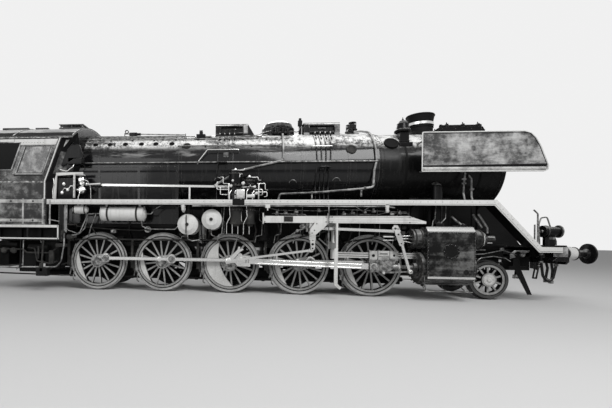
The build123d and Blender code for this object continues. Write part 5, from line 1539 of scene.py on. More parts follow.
        pipes.mirror().make("smokebox_pipes", Finish.GREY)
        flange = shop.shape()
        for x, z in ((5239, 2610), (5238, 2700), (5409, 2470)):
            flange.peg(-10, 10, 44, 44, (x, -1000, z), UP, 20)
            flange.box((x - 44, x + 44), (-1010, -990), (z - 22, z - 10), 3)
        flange.mirror()
        shop.add("smokebox_pipe_flanges", flange, Finish.GREY)

    def build(self, shop: Shop) -> None:
        """Make every piece on the smokebox."""
        self.rivets(shop)
        self.seams(shop)
        self.door(shop)
        self.chimney(shop)
        self.fittings(shop)


@dataclass
class Deflectors:
    """Rolled edges, seams and rivets of the smoke deflectors.

    Args:
        rear: X of the plate's rear edge.
        front: X of its front edge.
        low: height of its lower edge.
        top: height of its upper edge.
        face: distance of its outer face from the middle plane.
        nose: pairs of distance back from the front and share of the height, for the curved front.
    """

    rear: float = 4150.0
    front: float = 6690.0
    low: float = 2800.0
    top: float = 3660.0
    face: float = 1399.0
    nose: tuple[tuple[float, float], ...] = ((90, 0.0), (10, 0.05), (0, 0.14), (150, 0.62), (250, 0.83),
                                             (340, 0.94), (470, 1.0))

    def outline(self, inset: float) -> list[tuple[float, float]]:
        """Edge of the plate in X and Z, moved inward."""
        nose = [(self.front - back - inset, self.low + share * (self.top - self.low))
                for back, share in self.nose]
        path = [(self.rear + inset, self.low), *nose, (self.rear + inset, self.top)]
        return [(x, min(max(z, self.low + inset), self.top - inset)) for x, z in path]

    def build(self, shop: Shop) -> None:
        """Make the edges, the lower lip and the rivets."""
        rim = Pipes(shop, 13, 2.0)
        path = self.outline(6)
        rim.run(*[(x, -self.face + 5, z) for x, z in path + path[:1]])
        rim.mirror().make("deflector_rims", Finish.PALE)
        strip = shop.shape()
        strip.prism([(self.rear + 18, 2900), (self.front - 44, 2900), (self.front - 44, 2960),
                     (self.rear + 18, 2934)], Axis.Y, -self.face - 5, -self.face + 2, 1)
        line = Pipes(shop, 9, 2.0)
        path = self.outline(34)
        line.run(*[(x, -self.face + 4, max(z, 2930)) for x, z in path + path[:1]])
        line.mirror().make("deflector_lines", Finish.BLACK)
        strip.mirror()
        shop.add("deflector_seams", strip, Finish.BLACK)
        lip = shop.shape()
        bulge = [(-self.face - 17 * math.sin(math.pi * n / 6), self.low + 10 + 84 * n / 6) for n in range(7)]
        lip.prism(bulge + [(-self.face + 2, bulge[-1][1]), (-self.face + 2, bulge[0][1])], Axis.X,
                  self.rear + 10, self.front - 60)
        lip.mirror()
        shop.add("deflector_lips", lip, Finish.RUBBED)
        heads = Studs(shop, Head.RIVET, 9)
        heads.row((self.rear + 34, -self.face, 2975), (self.front - 60, -self.face, 2975), 26, TO_RIGHT)
        heads.row((self.rear + 34, -self.face, 3060), (self.rear + 34, -self.face, 3600), 8, TO_RIGHT)
        for x in (4350, 5250, 6120):
            for dx in (-30, 30):
                heads.put((x + dx, -self.face, 3560), TO_RIGHT).put((x + dx, -self.face, 3520), TO_RIGHT)
        heads.mirror().make("deflector_rivets", Finish.GREY)


# Cab, inside and out
@dataclass
class Cab:
    """Strips, frames, bolts and gutters of the cab, its corner fittings and its inside.

    Args:
        side: distance of the side's outer face from the middle plane.
        rear: X of the rear edge.
        front: X of the front edge below the lean.
        eaves: height of the eaves.
        lean: how far the front leans forward for each millimetre of height.
        lean_z: height where the lean starts.
        window: low and high X, low and high Z of the front window.
        opening: the same of the rear window.
        roof_rise: height of the roof's arch over the eaves.
    """

    side: float = 1490.0
    rear: float = -6100.0
    front: float = -4350.0
    eaves: float = 3640.0
    lean: float = 0.36
    lean_z: float = 2600.0
    window: tuple[float, float, float, float] = (-5080.0, -4440.0, 2790.0, 3430.0)
    opening: tuple[float, float, float, float] = (-5500.0, -5215.0, 2890.0, 3500.0)
    roof_rise: float = 500.0

    def leaned(self, x: float, z: float, foot: float) -> float:
        """X of an edge that leans forward above its foot."""
        return x + self.lean * (z - foot)

    def leaning(self, x0: float, x1: float, low: float, high: float,
                foot: float) -> list[tuple[float, float]]:
        """Outline in X and Z of a strip that leans forward."""
        return [(self.leaned(x0, low, foot), low), (self.leaned(x1, low, foot), low),
                (self.leaned(x1, high, foot), high), (self.leaned(x0, high, foot), high)]

    def frames(self, shop: Shop) -> None:
        """Window frames and channels, dark sheets of painted shade inside the rear openings and over the rear
        windows, ledges and sliding panes.
        """
        shape = shop.shape()
        dark = shop.shape()
        for x0, x1, low, high in (self.window, self.opening):
            near, far = -self.side - 8, -self.side + 4
            for a, b in ((x0 - 34, x0 - 4), (x1 + 4, x1 + 30)):
                shape.prism(self.leaning(a, b, low - 24, high + 24, low), Axis.Y, near, far, 2)
            for z0, z1 in ((low - 30, low - 4), (high + 4, high + 26)):
                shape.prism(self.leaning(x0 - 34, x1 + 30, z0, z1, low), Axis.Y, near, far, 2)
            dark.prism(self.leaning(x0, x0 + 14, low, high, low), Axis.Y, -self.side + 2, -self.side + 18)
            dark.prism(self.leaning(x1 - 14, x1, low, high, low), Axis.Y, -self.side + 2, -self.side + 18)
            dark.box((x0, x1 + 6), (-self.side + 2, -self.side + 18), (low, low + 14))
        x0, x1, low, high = self.window
        for a in (x0 - 88, x0 - 62):
            shape.prism(self.leaning(a, a + 11, low - 20, high + 30, low), Axis.Y, -self.side - 7,
                        -self.side + 2, 1)
        dark.box((x0 - 60, x1 + 20), (-self.side - 9, -self.side + 2), (low - 62, low - 34), 2)
        shop.add("window_frames", shape.mirror(), Finish.GREY)
        shop.add("window_channels", dark.mirror(), Finish.BLACK)
        pane = shop.shape()
        x0, x1, low, high = self.opening
        # Dark sheet inside the rear opening: painted shade of the cab's inside.
        far = shop.shape()
        far.prism(self.leaning(x0 - 20, x1 + 16, low - 16, high - 10, low), Axis.Y, self.side - 40,
                  self.side - 28, 1)
        shop.add("closed_shutters", far.mirror(), Finish.SOOT)
        # Dark sheet over the rear window area: painted shade of the cab's inside.
        curtain = shop.shape()
        curtain.prism(self.leaning(self.rear + 24, x1 + 2, low - 8, high + 14, low), Axis.Y, -self.side - 9,
                      -self.side + 1, 2)
        shop.add("rear_curtains", curtain.mirror(), Finish.SOOT)
        ledge = shop.shape()
        ledge.box((self.rear + 20, x0 - 20), (-self.side - 9, -self.side + 1), (low - 62, low - 16), 3)
        shop.add("window_ledges", ledge.mirror(), Finish.RUBBED)
        pane.prism(self.leaning(x0 + 14, x0 + 150, low + 16, high, low), Axis.Y, -self.side + 6,
                   -self.side + 10)
        shop.add("sliding_panes", pane.mirror(), Finish.GLASS)

    def strips(self, shop: Shop) -> None:
        """Pale board under the eaves, leaning front strip, worn strips, bead, rivets and plugs."""
        pale = shop.shape()
        near = -self.side - 4
        top = self.leaned(self.front, 3600, self.lean_z)
        pale.prism([(-5140, 3462), (self.leaned(self.front, 3462, self.lean_z) - 70, 3462),
                    (top - 56, 3598), (-5140, 3598)], Axis.Y, near, -self.side + 1, 1)
        pale.box((self.rear + 6, -5130), (near, -self.side + 1), (3536, 3598), 1)
        pale.prism([(self.front - 34, 2180), (self.front - 3, 2180), (self.front - 3, self.lean_z),
                    (self.leaned(self.front - 3, 3620, self.lean_z), 3620),
                    (self.leaned(self.front - 30, 3620, self.lean_z), 3620), (self.front - 34, self.lean_z)],
                   Axis.Y, near - 3, -self.side + 1)
        shop.add("cab_letterboard", pale.mirror(), Finish.PALE)
        worn = shop.shape()
        for low, high in ((2086, 2166), (1640, 1706)):
            worn.box((self.rear + 40, self.front - 62), (near - 1, -self.side + 1), (low, high), 2)
        for x in (-4900, -4405, -5560):
            worn.box((x - 19, x + 19), (near - 3, -self.side + 1), (1590, 2190), 2)
        shop.add("cab_strips", worn.mirror(), Finish.RUBBED)
        bead = shop.shape()
        for z, thick in ((2568, 9), (2604, 9)):
            bead.rod((self.rear + 20, near + 2, z), (self.front - 6, near + 2, z), thick * 0.7, 8)
        bead.box((self.rear + 10, self.front - 4), (near + 1, -self.side + 1), (2574, 2598), 2)
        shop.add("cab_bead", bead.mirror(), Finish.WORN)
        heads = Studs(shop, Head.RIVET, 10)
        for z in (1604, 2540, 2636, 3515):
            heads.row((self.rear + 50, -self.side - 1, z), (self.front - 60, -self.side - 1, z), 24, TO_RIGHT)
        for x in (self.rear + 30, self.front - 48):
            heads.row((x, -self.side - 1, 1660), (x, -self.side - 1, 2500), 12, TO_RIGHT)
        for n in range(9):
            z = 2700 + n * 95
            heads.put((self.leaned(self.front - 62, z, self.lean_z), -self.side - 1, z), TO_RIGHT)
        heads.mirror().make("cab_rivets", Finish.CLADDING)
        plugs = shop.shape()
        for z in (2126, 1672):
            for x in (-5200, -4650):
                plugs.peg(0, 5, 24, 22, (x, near, z), TO_RIGHT, 16)
        shop.add("cab_strip_plugs", plugs.mirror(), Finish.BLACK)

    def roof(self, shop: Shop) -> None:
        """Ribs, gutters, rain strips, rivets, vent edges and lids of the roof."""
        half = self.side + 10
        round_r = (half**2 + self.roof_rise**2) / (2 * self.roof_rise)
        centre = self.eaves + 28 + self.roof_rise - round_r

        def arch(lift: float, limit: float) -> list[tuple[float, float]]:
            """Points of the roof's curve in Y and Z."""
            most = math.asin(limit / round_r)
            turns = [most * (n / 14 - 1) for n in range(29)]
            return [((round_r + lift) * math.sin(t), centre + (round_r + lift) * math.cos(t)) for t in turns]

        shape = shop.shape()
        for x, wide, lift in ((-3700, 10, 13), (-5180, 16, 9), (-6168, 12, 11)):
            shape.loop(arch(lift, half - 26), arch(-6, half - 26), Axis.X, x - wide, x + wide, closed=False)
        shop.add("roof_ribs", shape, Finish.CLADDING)
        gutter = shop.shape()
        gutter.prism([(-half + 1, 3628), (-half + 1, 3662), (-half + 9, 3662), (-half + 9, 3638),
                      (-half + 40, 3638), (-half + 40, 3628)], Axis.X, -6176, -3710)
        shop.add("roof_gutters", gutter.mirror(), Finish.WORN)
        edge = [p for p in arch(5, half - 4) if p[0] < -1270]
        rain = shop.shape()
        rain.prism(edge + [(y + 4, z - 11) for y, z in edge[::-1]], Axis.X, -6172, -3704)
        shop.add("rain_strips", rain.mirror(), Finish.SOOT)
        heads = Studs(shop, Head.RIVET, 9)
        for x in (-3700, -5180):
            for y, z in arch(13 if x == -3700 else 9, half - 60)[1:-1]:
                heads.put((x, y, z), (0, y, z - centre))
        heads.make("roof_rivets", Finish.CLADDING)
        vent = shop.shape()
        vent.box((-4600, -3925), (-345, -325), (4150, 4212), 4)
        vent.box((-4600, -3925), (325, 345), (4150, 4212), 4)
        for x in (-5860, -5420):
            vent.band(-8, 8, 26, 42, (x, 0, 4180), AHEAD, 20)
        for x0, x1, y in ((-5900, -5200, -720), (-5100, -4760, -560)):
            z = centre + math.sqrt(round_r**2 - y * y)
            vent.box((x0, x1), (y - 70, y + 70), (z - 30, z + 26), 6)
        shop.add("roof_fittings", vent, Finish.CLADDING)

    def corner(self, shop: Shop) -> None:
        """Stand, injector, plates, pipes and rivets between the right front window and the boiler."""
        plate = shop.shape()
        plate.prism([(-4290, 2200), (-4170, 2200), (-4150, 2760), (-3500, 2790), (-3500, 2840),
                     (-4200, 2830)], Axis.Y, -1330, -1306, 3)
        plate.box((-3735, -3700), (-1345, -1290), (2230, 2800), 4)
        plate.box((-3700, -3500), (-1330, -1180), (2770, 2800), 4)
        plate.prism([(-4075, 3440), (-3965, 3440), (-3830, 3600), (-4040, 3600)], Axis.Y, -1372, -1362, 2)
        shop.add("stand_plates", plate, Finish.PALE)
        box = shop.shape()
        box.box((-4130, -3730), (-1300, -1010), (2190, 2700), 14)
        box.prism([(-4225, 3060), (-4140, 3120), (-3770, 3560), (-3610, 3500), (-3500, 3190), (-3760, 3170),
                   (-4020, 2990)], Axis.Y, -1290, -1230, 4)
        box.box((-3900, -3560), (-1290, -1060), (3040, 3200), 10)
        shop.add("stand_box", box, Finish.BLACK)
        bright = shop.shape()
        for x, z, r, long in ((-3585, 2668, 82, 150), (-3575, 2428, 92, 150), (-3575, 2580, 58, 120)):
            bright.spin([(0, 0), (0, r * 0.8), (14, r), (long - 30, r), (long - 16, r * 0.7),
                         (long, r * 0.5), (long, 0)], (x, -1140, z), TO_RIGHT, 28)
            bright.peg(long - 10, long + 22, r * 0.3, r * 0.3, (x, -1140, z), TO_RIGHT, 6)
        bright.rod((-3690, -1250, 2430), (-3460, -1250, 2430), 26, 16)
        bright.rod((-3470, -1190, 2560), (-3150, -1100, 2590), 30, 16)
        bright.spin([(0, 0), (0, 54), (20, 54), (30, 38), (70, 34), (70, 0)], (-3470, -1180, 2575),
                    (1, 0.1, 0), 20)
        for x, z in ((-3980, 2560), (-3880, 2420), (-4020, 2350)):
            bright.spin([(0, 0), (0, 42), (16, 46), (30, 38), (38, 20), (38, 0)], (x, -1298, z), TO_RIGHT, 20)
        shop.add("injector", bright, Finish.BRIGHT)
        small = Pipes(shop, 11, 2.0)
        small.run((-4180, -1300, 2980), (-4060, -1340, 2900), (-3900, -1330, 2860), (-3760, -1300, 2980),
                  (-3740, -1200, 3180))
        small.run((-4020, -1312, 2380), (-3960, -1330, 2460), (-3860, -1330, 2430), (-3800, -1320, 2520),
                  (-3740, -1320, 2500))
        small.run((-3575, -1290, 2428), (-3575, -1330, 2340), (-3610, -1330, 2240), (-3610, -1330, 2184))
        small.run((-3500, -1250, 2668), (-3420, -1230, 2640), (-3380, -1150, 2500), (-3380, -1120, 2184))
        small.run((-4230, -1350, 2700), (-4200, -1350, 2560), (-4250, -1340, 2400), (-4230, -1340, 2186))
        small.run((-4300, -1340, 2620), (-4290, -1340, 2186))
        small.make("corner_pipes", Finish.BRIGHT)
        rivets = Studs(shop, Head.RIVET, 12)
        for x, z in ((-4040, 3470), (-3985, 3480), (-4030, 3570), (-3935, 3570), (-3890, 3572)):
            rivets.put((x, -1372, z), TO_RIGHT)
        for z in range(2260, 2760, 80):
            rivets.put((-3717, -1345, z), TO_RIGHT)
        rivets.make("corner_rivets", Finish.WORN)

    def handrails(self, shop: Shop) -> None:
        """Grab rails by the doors and on the front corner."""
        rails = Pipes(shop, 15, 2.0)
        for x in (-6120, -5545):
            rails.run((x, -1440, 1700), (x - 6, -1478, 1700), (x - 6, -1478, 2540), (x, -1440, 2540))
        rails.run((-6130, -1440, 2700), (-6150, -1474, 2740), (-6150, -1474, 3240), (-6130, -1440, 3280))
        rails.mirror().make("cab_grab_rails", Finish.BRIGHT)
        feet = shop.shape()
        for x, z in ((-5551, 1700), (-5551, 2540)):
            feet.spin([(0, 0), (0, 28), (6, 28), (10, 20), (10, 0)], (x, -1486, z), TO_RIGHT, 14)
        shop.add("grab_rail_feet", feet.mirror(), Finish.BRIGHT)

    def doors(self, shop: Shop, side: Side) -> None:
        """Panel frame, latch and handle of a half door, which ride on the door."""
        body = f"cab_door_{side.name.lower()}"
        shape = shop.shape()
        face = 1488
        for x0, x1, z0, z1 in ((-6030, -5625, 1650, 1672), (-6030, -5625, 2660, 2682),
                               (-6030, -6008, 1672, 2660), (-5647, -5625, 1672, 2660),
                               (-6030, -5625, 2150, 2176)):
            shape.box((x0, x1), side.span(face - 2, face + 5), (z0, z1), 1)
        shape.box((-6040, -5970), side.span(face - 2, face + 8), (2300, 2380), 3)
        shop.add(f"door_panel_{side.name.lower()}", shape, Finish.CLADDING, body)
        knob = shop.shape()
        knob.rod((-6000, side.value * 1424, 2340), (-6000, side.value * 1392, 2340), 12, 12)
        knob.rod((-6000, side.value * 1398, 2340), (-5890, side.value * 1398, 2340), 11, 12)
        shop.add(f"door_handle_{side.name.lower()}", knob, Finish.BRIGHT, body)

    def inside(self, shop: Shop) -> None:
        """Fittings of the backhead, which the open rear and the windows show."""
        x = -4510
        plate = shop.shape()
        for y, z, r in ((-260, 3380, 95), (20, 3430, 80), (300, 3380, 95), (520, 3140, 70), (-520, 3140, 70)):
            plate.spin([(0, 0), (0, r), (40, r), (46, r - 14), (46, 0)], (x + 10, y, z), ASTERN, 28)
        plate.box((x - 60, x + 5), (-80, 80), (2900, 3260), 8)
        for y in (-430, 430):
            plate.rod((x - 50, y, 2620), (x - 50, y, 3020), 20, 14)
            for z in (2640, 2820, 3000):
                plate.rod((x, y, z), (x - 90, y, z), 16, 12)
        shop.add("backhead_fittings", plate, Finish.BLACK)
        dials = shop.shape()
        for y, z, r in ((-260, 3380, 78), (20, 3430, 64), (300, 3380, 78), (520, 3140, 54), (-520, 3140, 54)):
            dials.peg(0, 4, r, r, (x - 34, y, z), ASTERN, 24)
        shop.add("gauge_dials", dials, Finish.PALE)
        brass = shop.shape()
        for y, z in ((-640, 2840), (640, 2840), (-620, 3300), (620, 3300), (-150, 2780), (150, 2780)):
            brass.rod((x + 20, y, z), (x - 90, y, z), 15, 12)
            brass.band(-6, 6, 44, 58, (x - 90, y, z), AHEAD, 20)
            brass.rod((x - 90, y - 50, z), (x - 90, y + 50, z), 7, 8)
            brass.rod((x - 90, y, z - 50), (x - 90, y, z + 50), 7, 8)
        brass.rod((x - 70, -330, 3180), (x - 120, 180, 3060), 20, 14)
        brass.spin([(0, 0), (0, 26), (60, 30), (70, 0)], (x - 120, 180, 3060), (-0.1, 1, -0.2), 14)
        brass.rod((x - 90, 700, 2300), (x - 90, 700, 3300), 18, 12)
        brass.band(-14, 14, 190, 214, (x - 130, -700, 2580), (1, 0, 0.2), 32)
        for n in range(4):
            a = math.radians(20 + 45 * n)
            step = Vector((0, math.cos(a), math.sin(a))) * 200
            brass.rod(Vector((x - 130, -700, 2580)) - step, Vector((x - 130, -700, 2580)) + step, 11, 8)
        shop.add("cab_handwheels", brass, Finish.BRIGHT)
        pipes = Pipes(shop, 14, 2.5)
        for y, top, foot in ((-600, 3500, 1700), (-480, 3560, 2300), (480, 3560, 2300), (600, 3500, 1700),
                             (-60, 3700, 3440), (120, 3700, 3300)):
            pipes.run((x + 20, y * 0.7, top), (x - 50, y * 0.8, top - 60), (x - 50, y, top - 260),
                      (x - 50, y, foot), (x + 20, y, foot - 30))
        pipes.make("cab_pipes", Finish.WORN)
        cushions = shop.shape()
        for side in Side:
            cushions.box((-4960, -4580), side.span(1080, 1440), (2236, 2300), 22)
        shop.add("seat_cushions", cushions, Finish.WOOD)
        boards = shop.shape()
        for n in range(9):
            boards.box((-6080 + n * 172, -5914 + n * 172), (-1380, 1380), (1606, 1617), 3)
        shop.add("floor_boards", boards, Finish.WOOD)

    def build(self, shop: Shop) -> None:
        """Make every piece on the cab."""
        self.frames(shop)
        self.strips(shop)
        self.roof(shop)
        self.corner(shop)
        self.handrails(shop)
        self.inside(shop)
        for side in Side:
            self.doors(shop, side)


@dataclass
class Boards:
    """Pale edges, rivets, hangers and pipes of the running boards and the beams below the cab.

    Args:
        out: distance of the board's edge from the middle plane.
        top: height of the board.
        edge: height of the edge strip.
        corners: X and Z of the corners where the board comes down at the front.
        gap: low and high X of the gap for the pump.
    """

    out: float = 1475.0
    top: float = 2180.0
    edge: float = 120.0
    corners: tuple[tuple[float, float], ...] = ((5633.0, 2180.0), (6514.0, 1200.0), (6916.0, 1200.0),
                                                (7262.0, 1200.0))
    gap: tuple[float, float] = (60.0, 330.0)

    def ribbon(self, path: Sequence[tuple[float, float]], drop: float,
               tall: float) -> list[tuple[float, float]]:
        """Closed outline of a band that lies so far below a path."""
        upper, lower = [], []
        for n, here in enumerate(path):
            before = Vector(path[max(0, n - 1)])
            after = Vector(path[min(len(path) - 1, n + 1)])
            spot = Vector(here)
            one = (spot - before).normalized() if n else (after - spot).normalized()
            two = (after - spot).normalized() if n < len(path) - 1 else one
            normal = Vector((one.y + two.y, -one.x - two.x)).normalized()
            reach = 1 / max(0.3, normal.dot(Vector((one.y, -one.x))))
            upper.append(tuple(spot + normal * drop * reach))
            lower.append(tuple(spot + normal * (drop + tall) * reach))
        return upper + lower[::-1]

    def edges(self, shop: Shop) -> None:
        """Pale strips along the board's edge, with their dark joint line and rivets."""
        pale = shop.shape()
        runs = [[(-4320, self.top), (self.gap[0], self.top)],
                [(self.gap[1], self.top), *self.corners[:3]]]
        for run in runs:
            pale.prism(self.ribbon(run, 4, self.edge - 34), Axis.Y, -self.out - 6, -self.out + 2, 1)
            pale.prism(self.ribbon(run, self.edge - 22, 20), Axis.Y, -self.out - 8, -self.out + 2, 1)
        shop.add("board_edges", pale.mirror(), Finish.PALE)
        heads = Studs(shop, Head.RIVET, 8)
        heads.row((-4280, -self.out - 6, self.top - 48), (0, -self.out - 6, self.top - 48), 30, TO_RIGHT)
        heads.row((380, -self.out - 6, self.top - 48), (5580, -self.out - 6, self.top - 48), 36, TO_RIGHT)
        slope = Vector(self.corners[1]) - Vector(self.corners[0])
        side = Vector((slope.y, -slope.x)).normalized() * 48
        for n in range(9):
            spot = Vector(self.corners[0]) + slope * (n + 0.5) / 9 + side
            heads.put((spot.x, -self.out - 6, spot.y), TO_RIGHT)
        heads.mirror().make("board_rivets", Finish.WORN)
        tread = shop.shape()
        for n in range(28):
            x = -4300 + n * 350
            tread.box((x, x + 6), (-self.out + 4, -1000), (self.top - 1, self.top + 3))
        shop.add("board_joints", tread.mirror(), Finish.FRAME)

    def hangers(self, shop: Shop) -> None:
        """Long pipe under the edge and the pale hangers on it."""
        y = -self.out + 6
        pipe = Pipes(shop, 12, 2.0)
        pipe.run((-850, y, 2030), (835, y, 2036), (3404, y, 2030), (3560, y, 2006))
        pipe.run((-1038, y, 2060), (-1038, y + 4, 1890))
        pipe.run((2176, y - 6, 2060), (2182, y - 6, 1095))
        pipe.make("edge_pipe", Finish.GREY)
        shape = shop.shape()
        shape.box((795, 900), (y - 12, y + 4), (1990, 2070), 6)
        shape.peg(0, 60, 18, 14, (846, y - 2, 1992), DOWN, 12)
        shape.box((3370, 3450), (y - 14, y + 6), (2010, 2150), 6)
        shape.spin([(0, 0), (0, 34), (22, 38), (44, 30), (64, 40), (90, 36), (110, 20), (110, 0)],
                   (3410, y + 10, 2010), (0.1, 0, -1), 18)
        shape.spin([(0, 0), (0, 42), (40, 52), (70, 44), (110, 52), (150, 34), (176, 12), (176, 0)],
                   (-1070, y + 24, 2060), (0.1, 0.16, -1), 18)
        shop.add("edge_hangers", shape, Finish.PALE)

    def below_cab(self, shop: Shop) -> None:
        """Pale angles, drain pipe, rods, castings and posts under the cab."""
        pale = shop.shape()
        for low, high, front in ((1508, 1566, -4030), (1232, 1262, -4000)):
            pale.prism([(-1494, low), (-1494, high), (-1486, high), (-1486, low + 8), (-1446, low + 8),
                        (-1446, low)], Axis.X, -6160, front)
        pale.box((-4046, -4014), (-1494, -1484), (1232, 1566), 2)
        shop.add("cab_angles", pale.mirror(), Finish.PALE)
        pipe = Pipes(shop, 17, 9.0)
        pipe.run((-3935, -1380, 1420), (-3890, -1450, 1330), (-3892, -1450, 1106), (-3961, -1450, 700),
                 (-4083, -1450, 573), (-5000, -1450, 560), (-6120, -1450, 548))
        pipe.make("cab_drain_pipe", Finish.GREY)
        thin = Pipes(shop, 12, 2.0)
        thin.run((-4898, -1455, 1240), (-4906, -1455, 600))
        thin.run((-4906, -1450, 640), (-5080, -1440, 500))
        thin.run((-4500, -1440, 1232), (-4400, -1448, 1060))
        thin.run((-3397, -1250, 1846), (-3591, -1250, 1411), (-3700, -1240, 1340), (-3840, -1240, 1330))
        thin.run((-3397, -1250, 1846), (-3100, -1250, 1858))
        thin.run((-4290, -1430, 1700), (-4010, -1430, 1650), (-3860, -1300, 1450), (-3700, -1200, 1380))
        thin.run((-6120, -1400, 440), (-5600, -1400, 430), (-5500, -1400, 560))
        thin.make("cab_rods", Finish.GREY)
        shape = shop.shape()
        shape.rod((-4388, -1470, 1232), (-4430, -1470, 640), 20, 14)
        shape.box((-4480, -4400), (-1485, -1455), (460, 660), 8)
        shape.spin([(0, 0), (0, 34), (14, 34), (14, 22), (60, 22), (60, 0)], (-4406, -1464, 660), UP, 12)
        shape.box((-4120, -3860), (-1420, -1290), (1050, 1130), 14)
        shape.spin([(0, 0), (0, 72), (60, 76), (120, 60), (200, 66), (260, 50), (260, 0)],
                   (-3965, -1400, 1440), (0.02, 0, -1), 24)
        shape.spin([(0, 0), (0, 60), (70, 66), (84, 54), (120, 50), (120, 0)], (-3830, -1400, 1290),
                   (1, 0, -0.1), 20)
        shape.spin([(0, 0), (0, 38), (30, 38), (30, 24), (110, 20), (110, 0)], (-3720, -1400, 1270),
                   (1, 0, 0.3), 16)
        shape.box((-4600, -4560), (-1360, -1330), (760, 1060), 8)
        shape.box((-4330, -4230), (-1330, -1240), (640, 960), 16)
        for x in (-5500, -5260):
            shape.spin([(0, 0), (0, 60), (24, 70), (120, 70), (140, 40), (140, 0)], (x, -1240, 940),
                       (0.4, -1, 0.1), 20)
        shop.add("cab_castings", shape, Finish.CASTING)
        posts = shop.shape()
        posts.prism([(-3985, 2150), (-3838, 2150), (-3850, 1400), (-3990, 1400)], Axis.Y, -1412, -1400, 3)
        posts.box((-4250, -4218), (-1490, -1478), (1580, 2160), 2)
        shop.add("cab_posts", posts.mirror(), Finish.GREY)
        heads = Studs(shop, Head.BOLT, 11)
        heads.row((-3975, -1412, 1470), (-3970, -1412, 2110), 6, TO_RIGHT)
        heads.row((-3865, -1412, 1470), (-3855, -1412, 2110), 6, TO_RIGHT)
        for x in range(-6100, -4080, 190):
            heads.put((x, -1486, 1537), TO_RIGHT)
        heads.mirror().make("cab_post_bolts", Finish.CASTING)

    def build(self, shop: Shop) -> None:
        """Make every piece on the boards and below the cab."""
        self.edges(shop)
        self.hangers(shop)
        self.below_cab(shop)


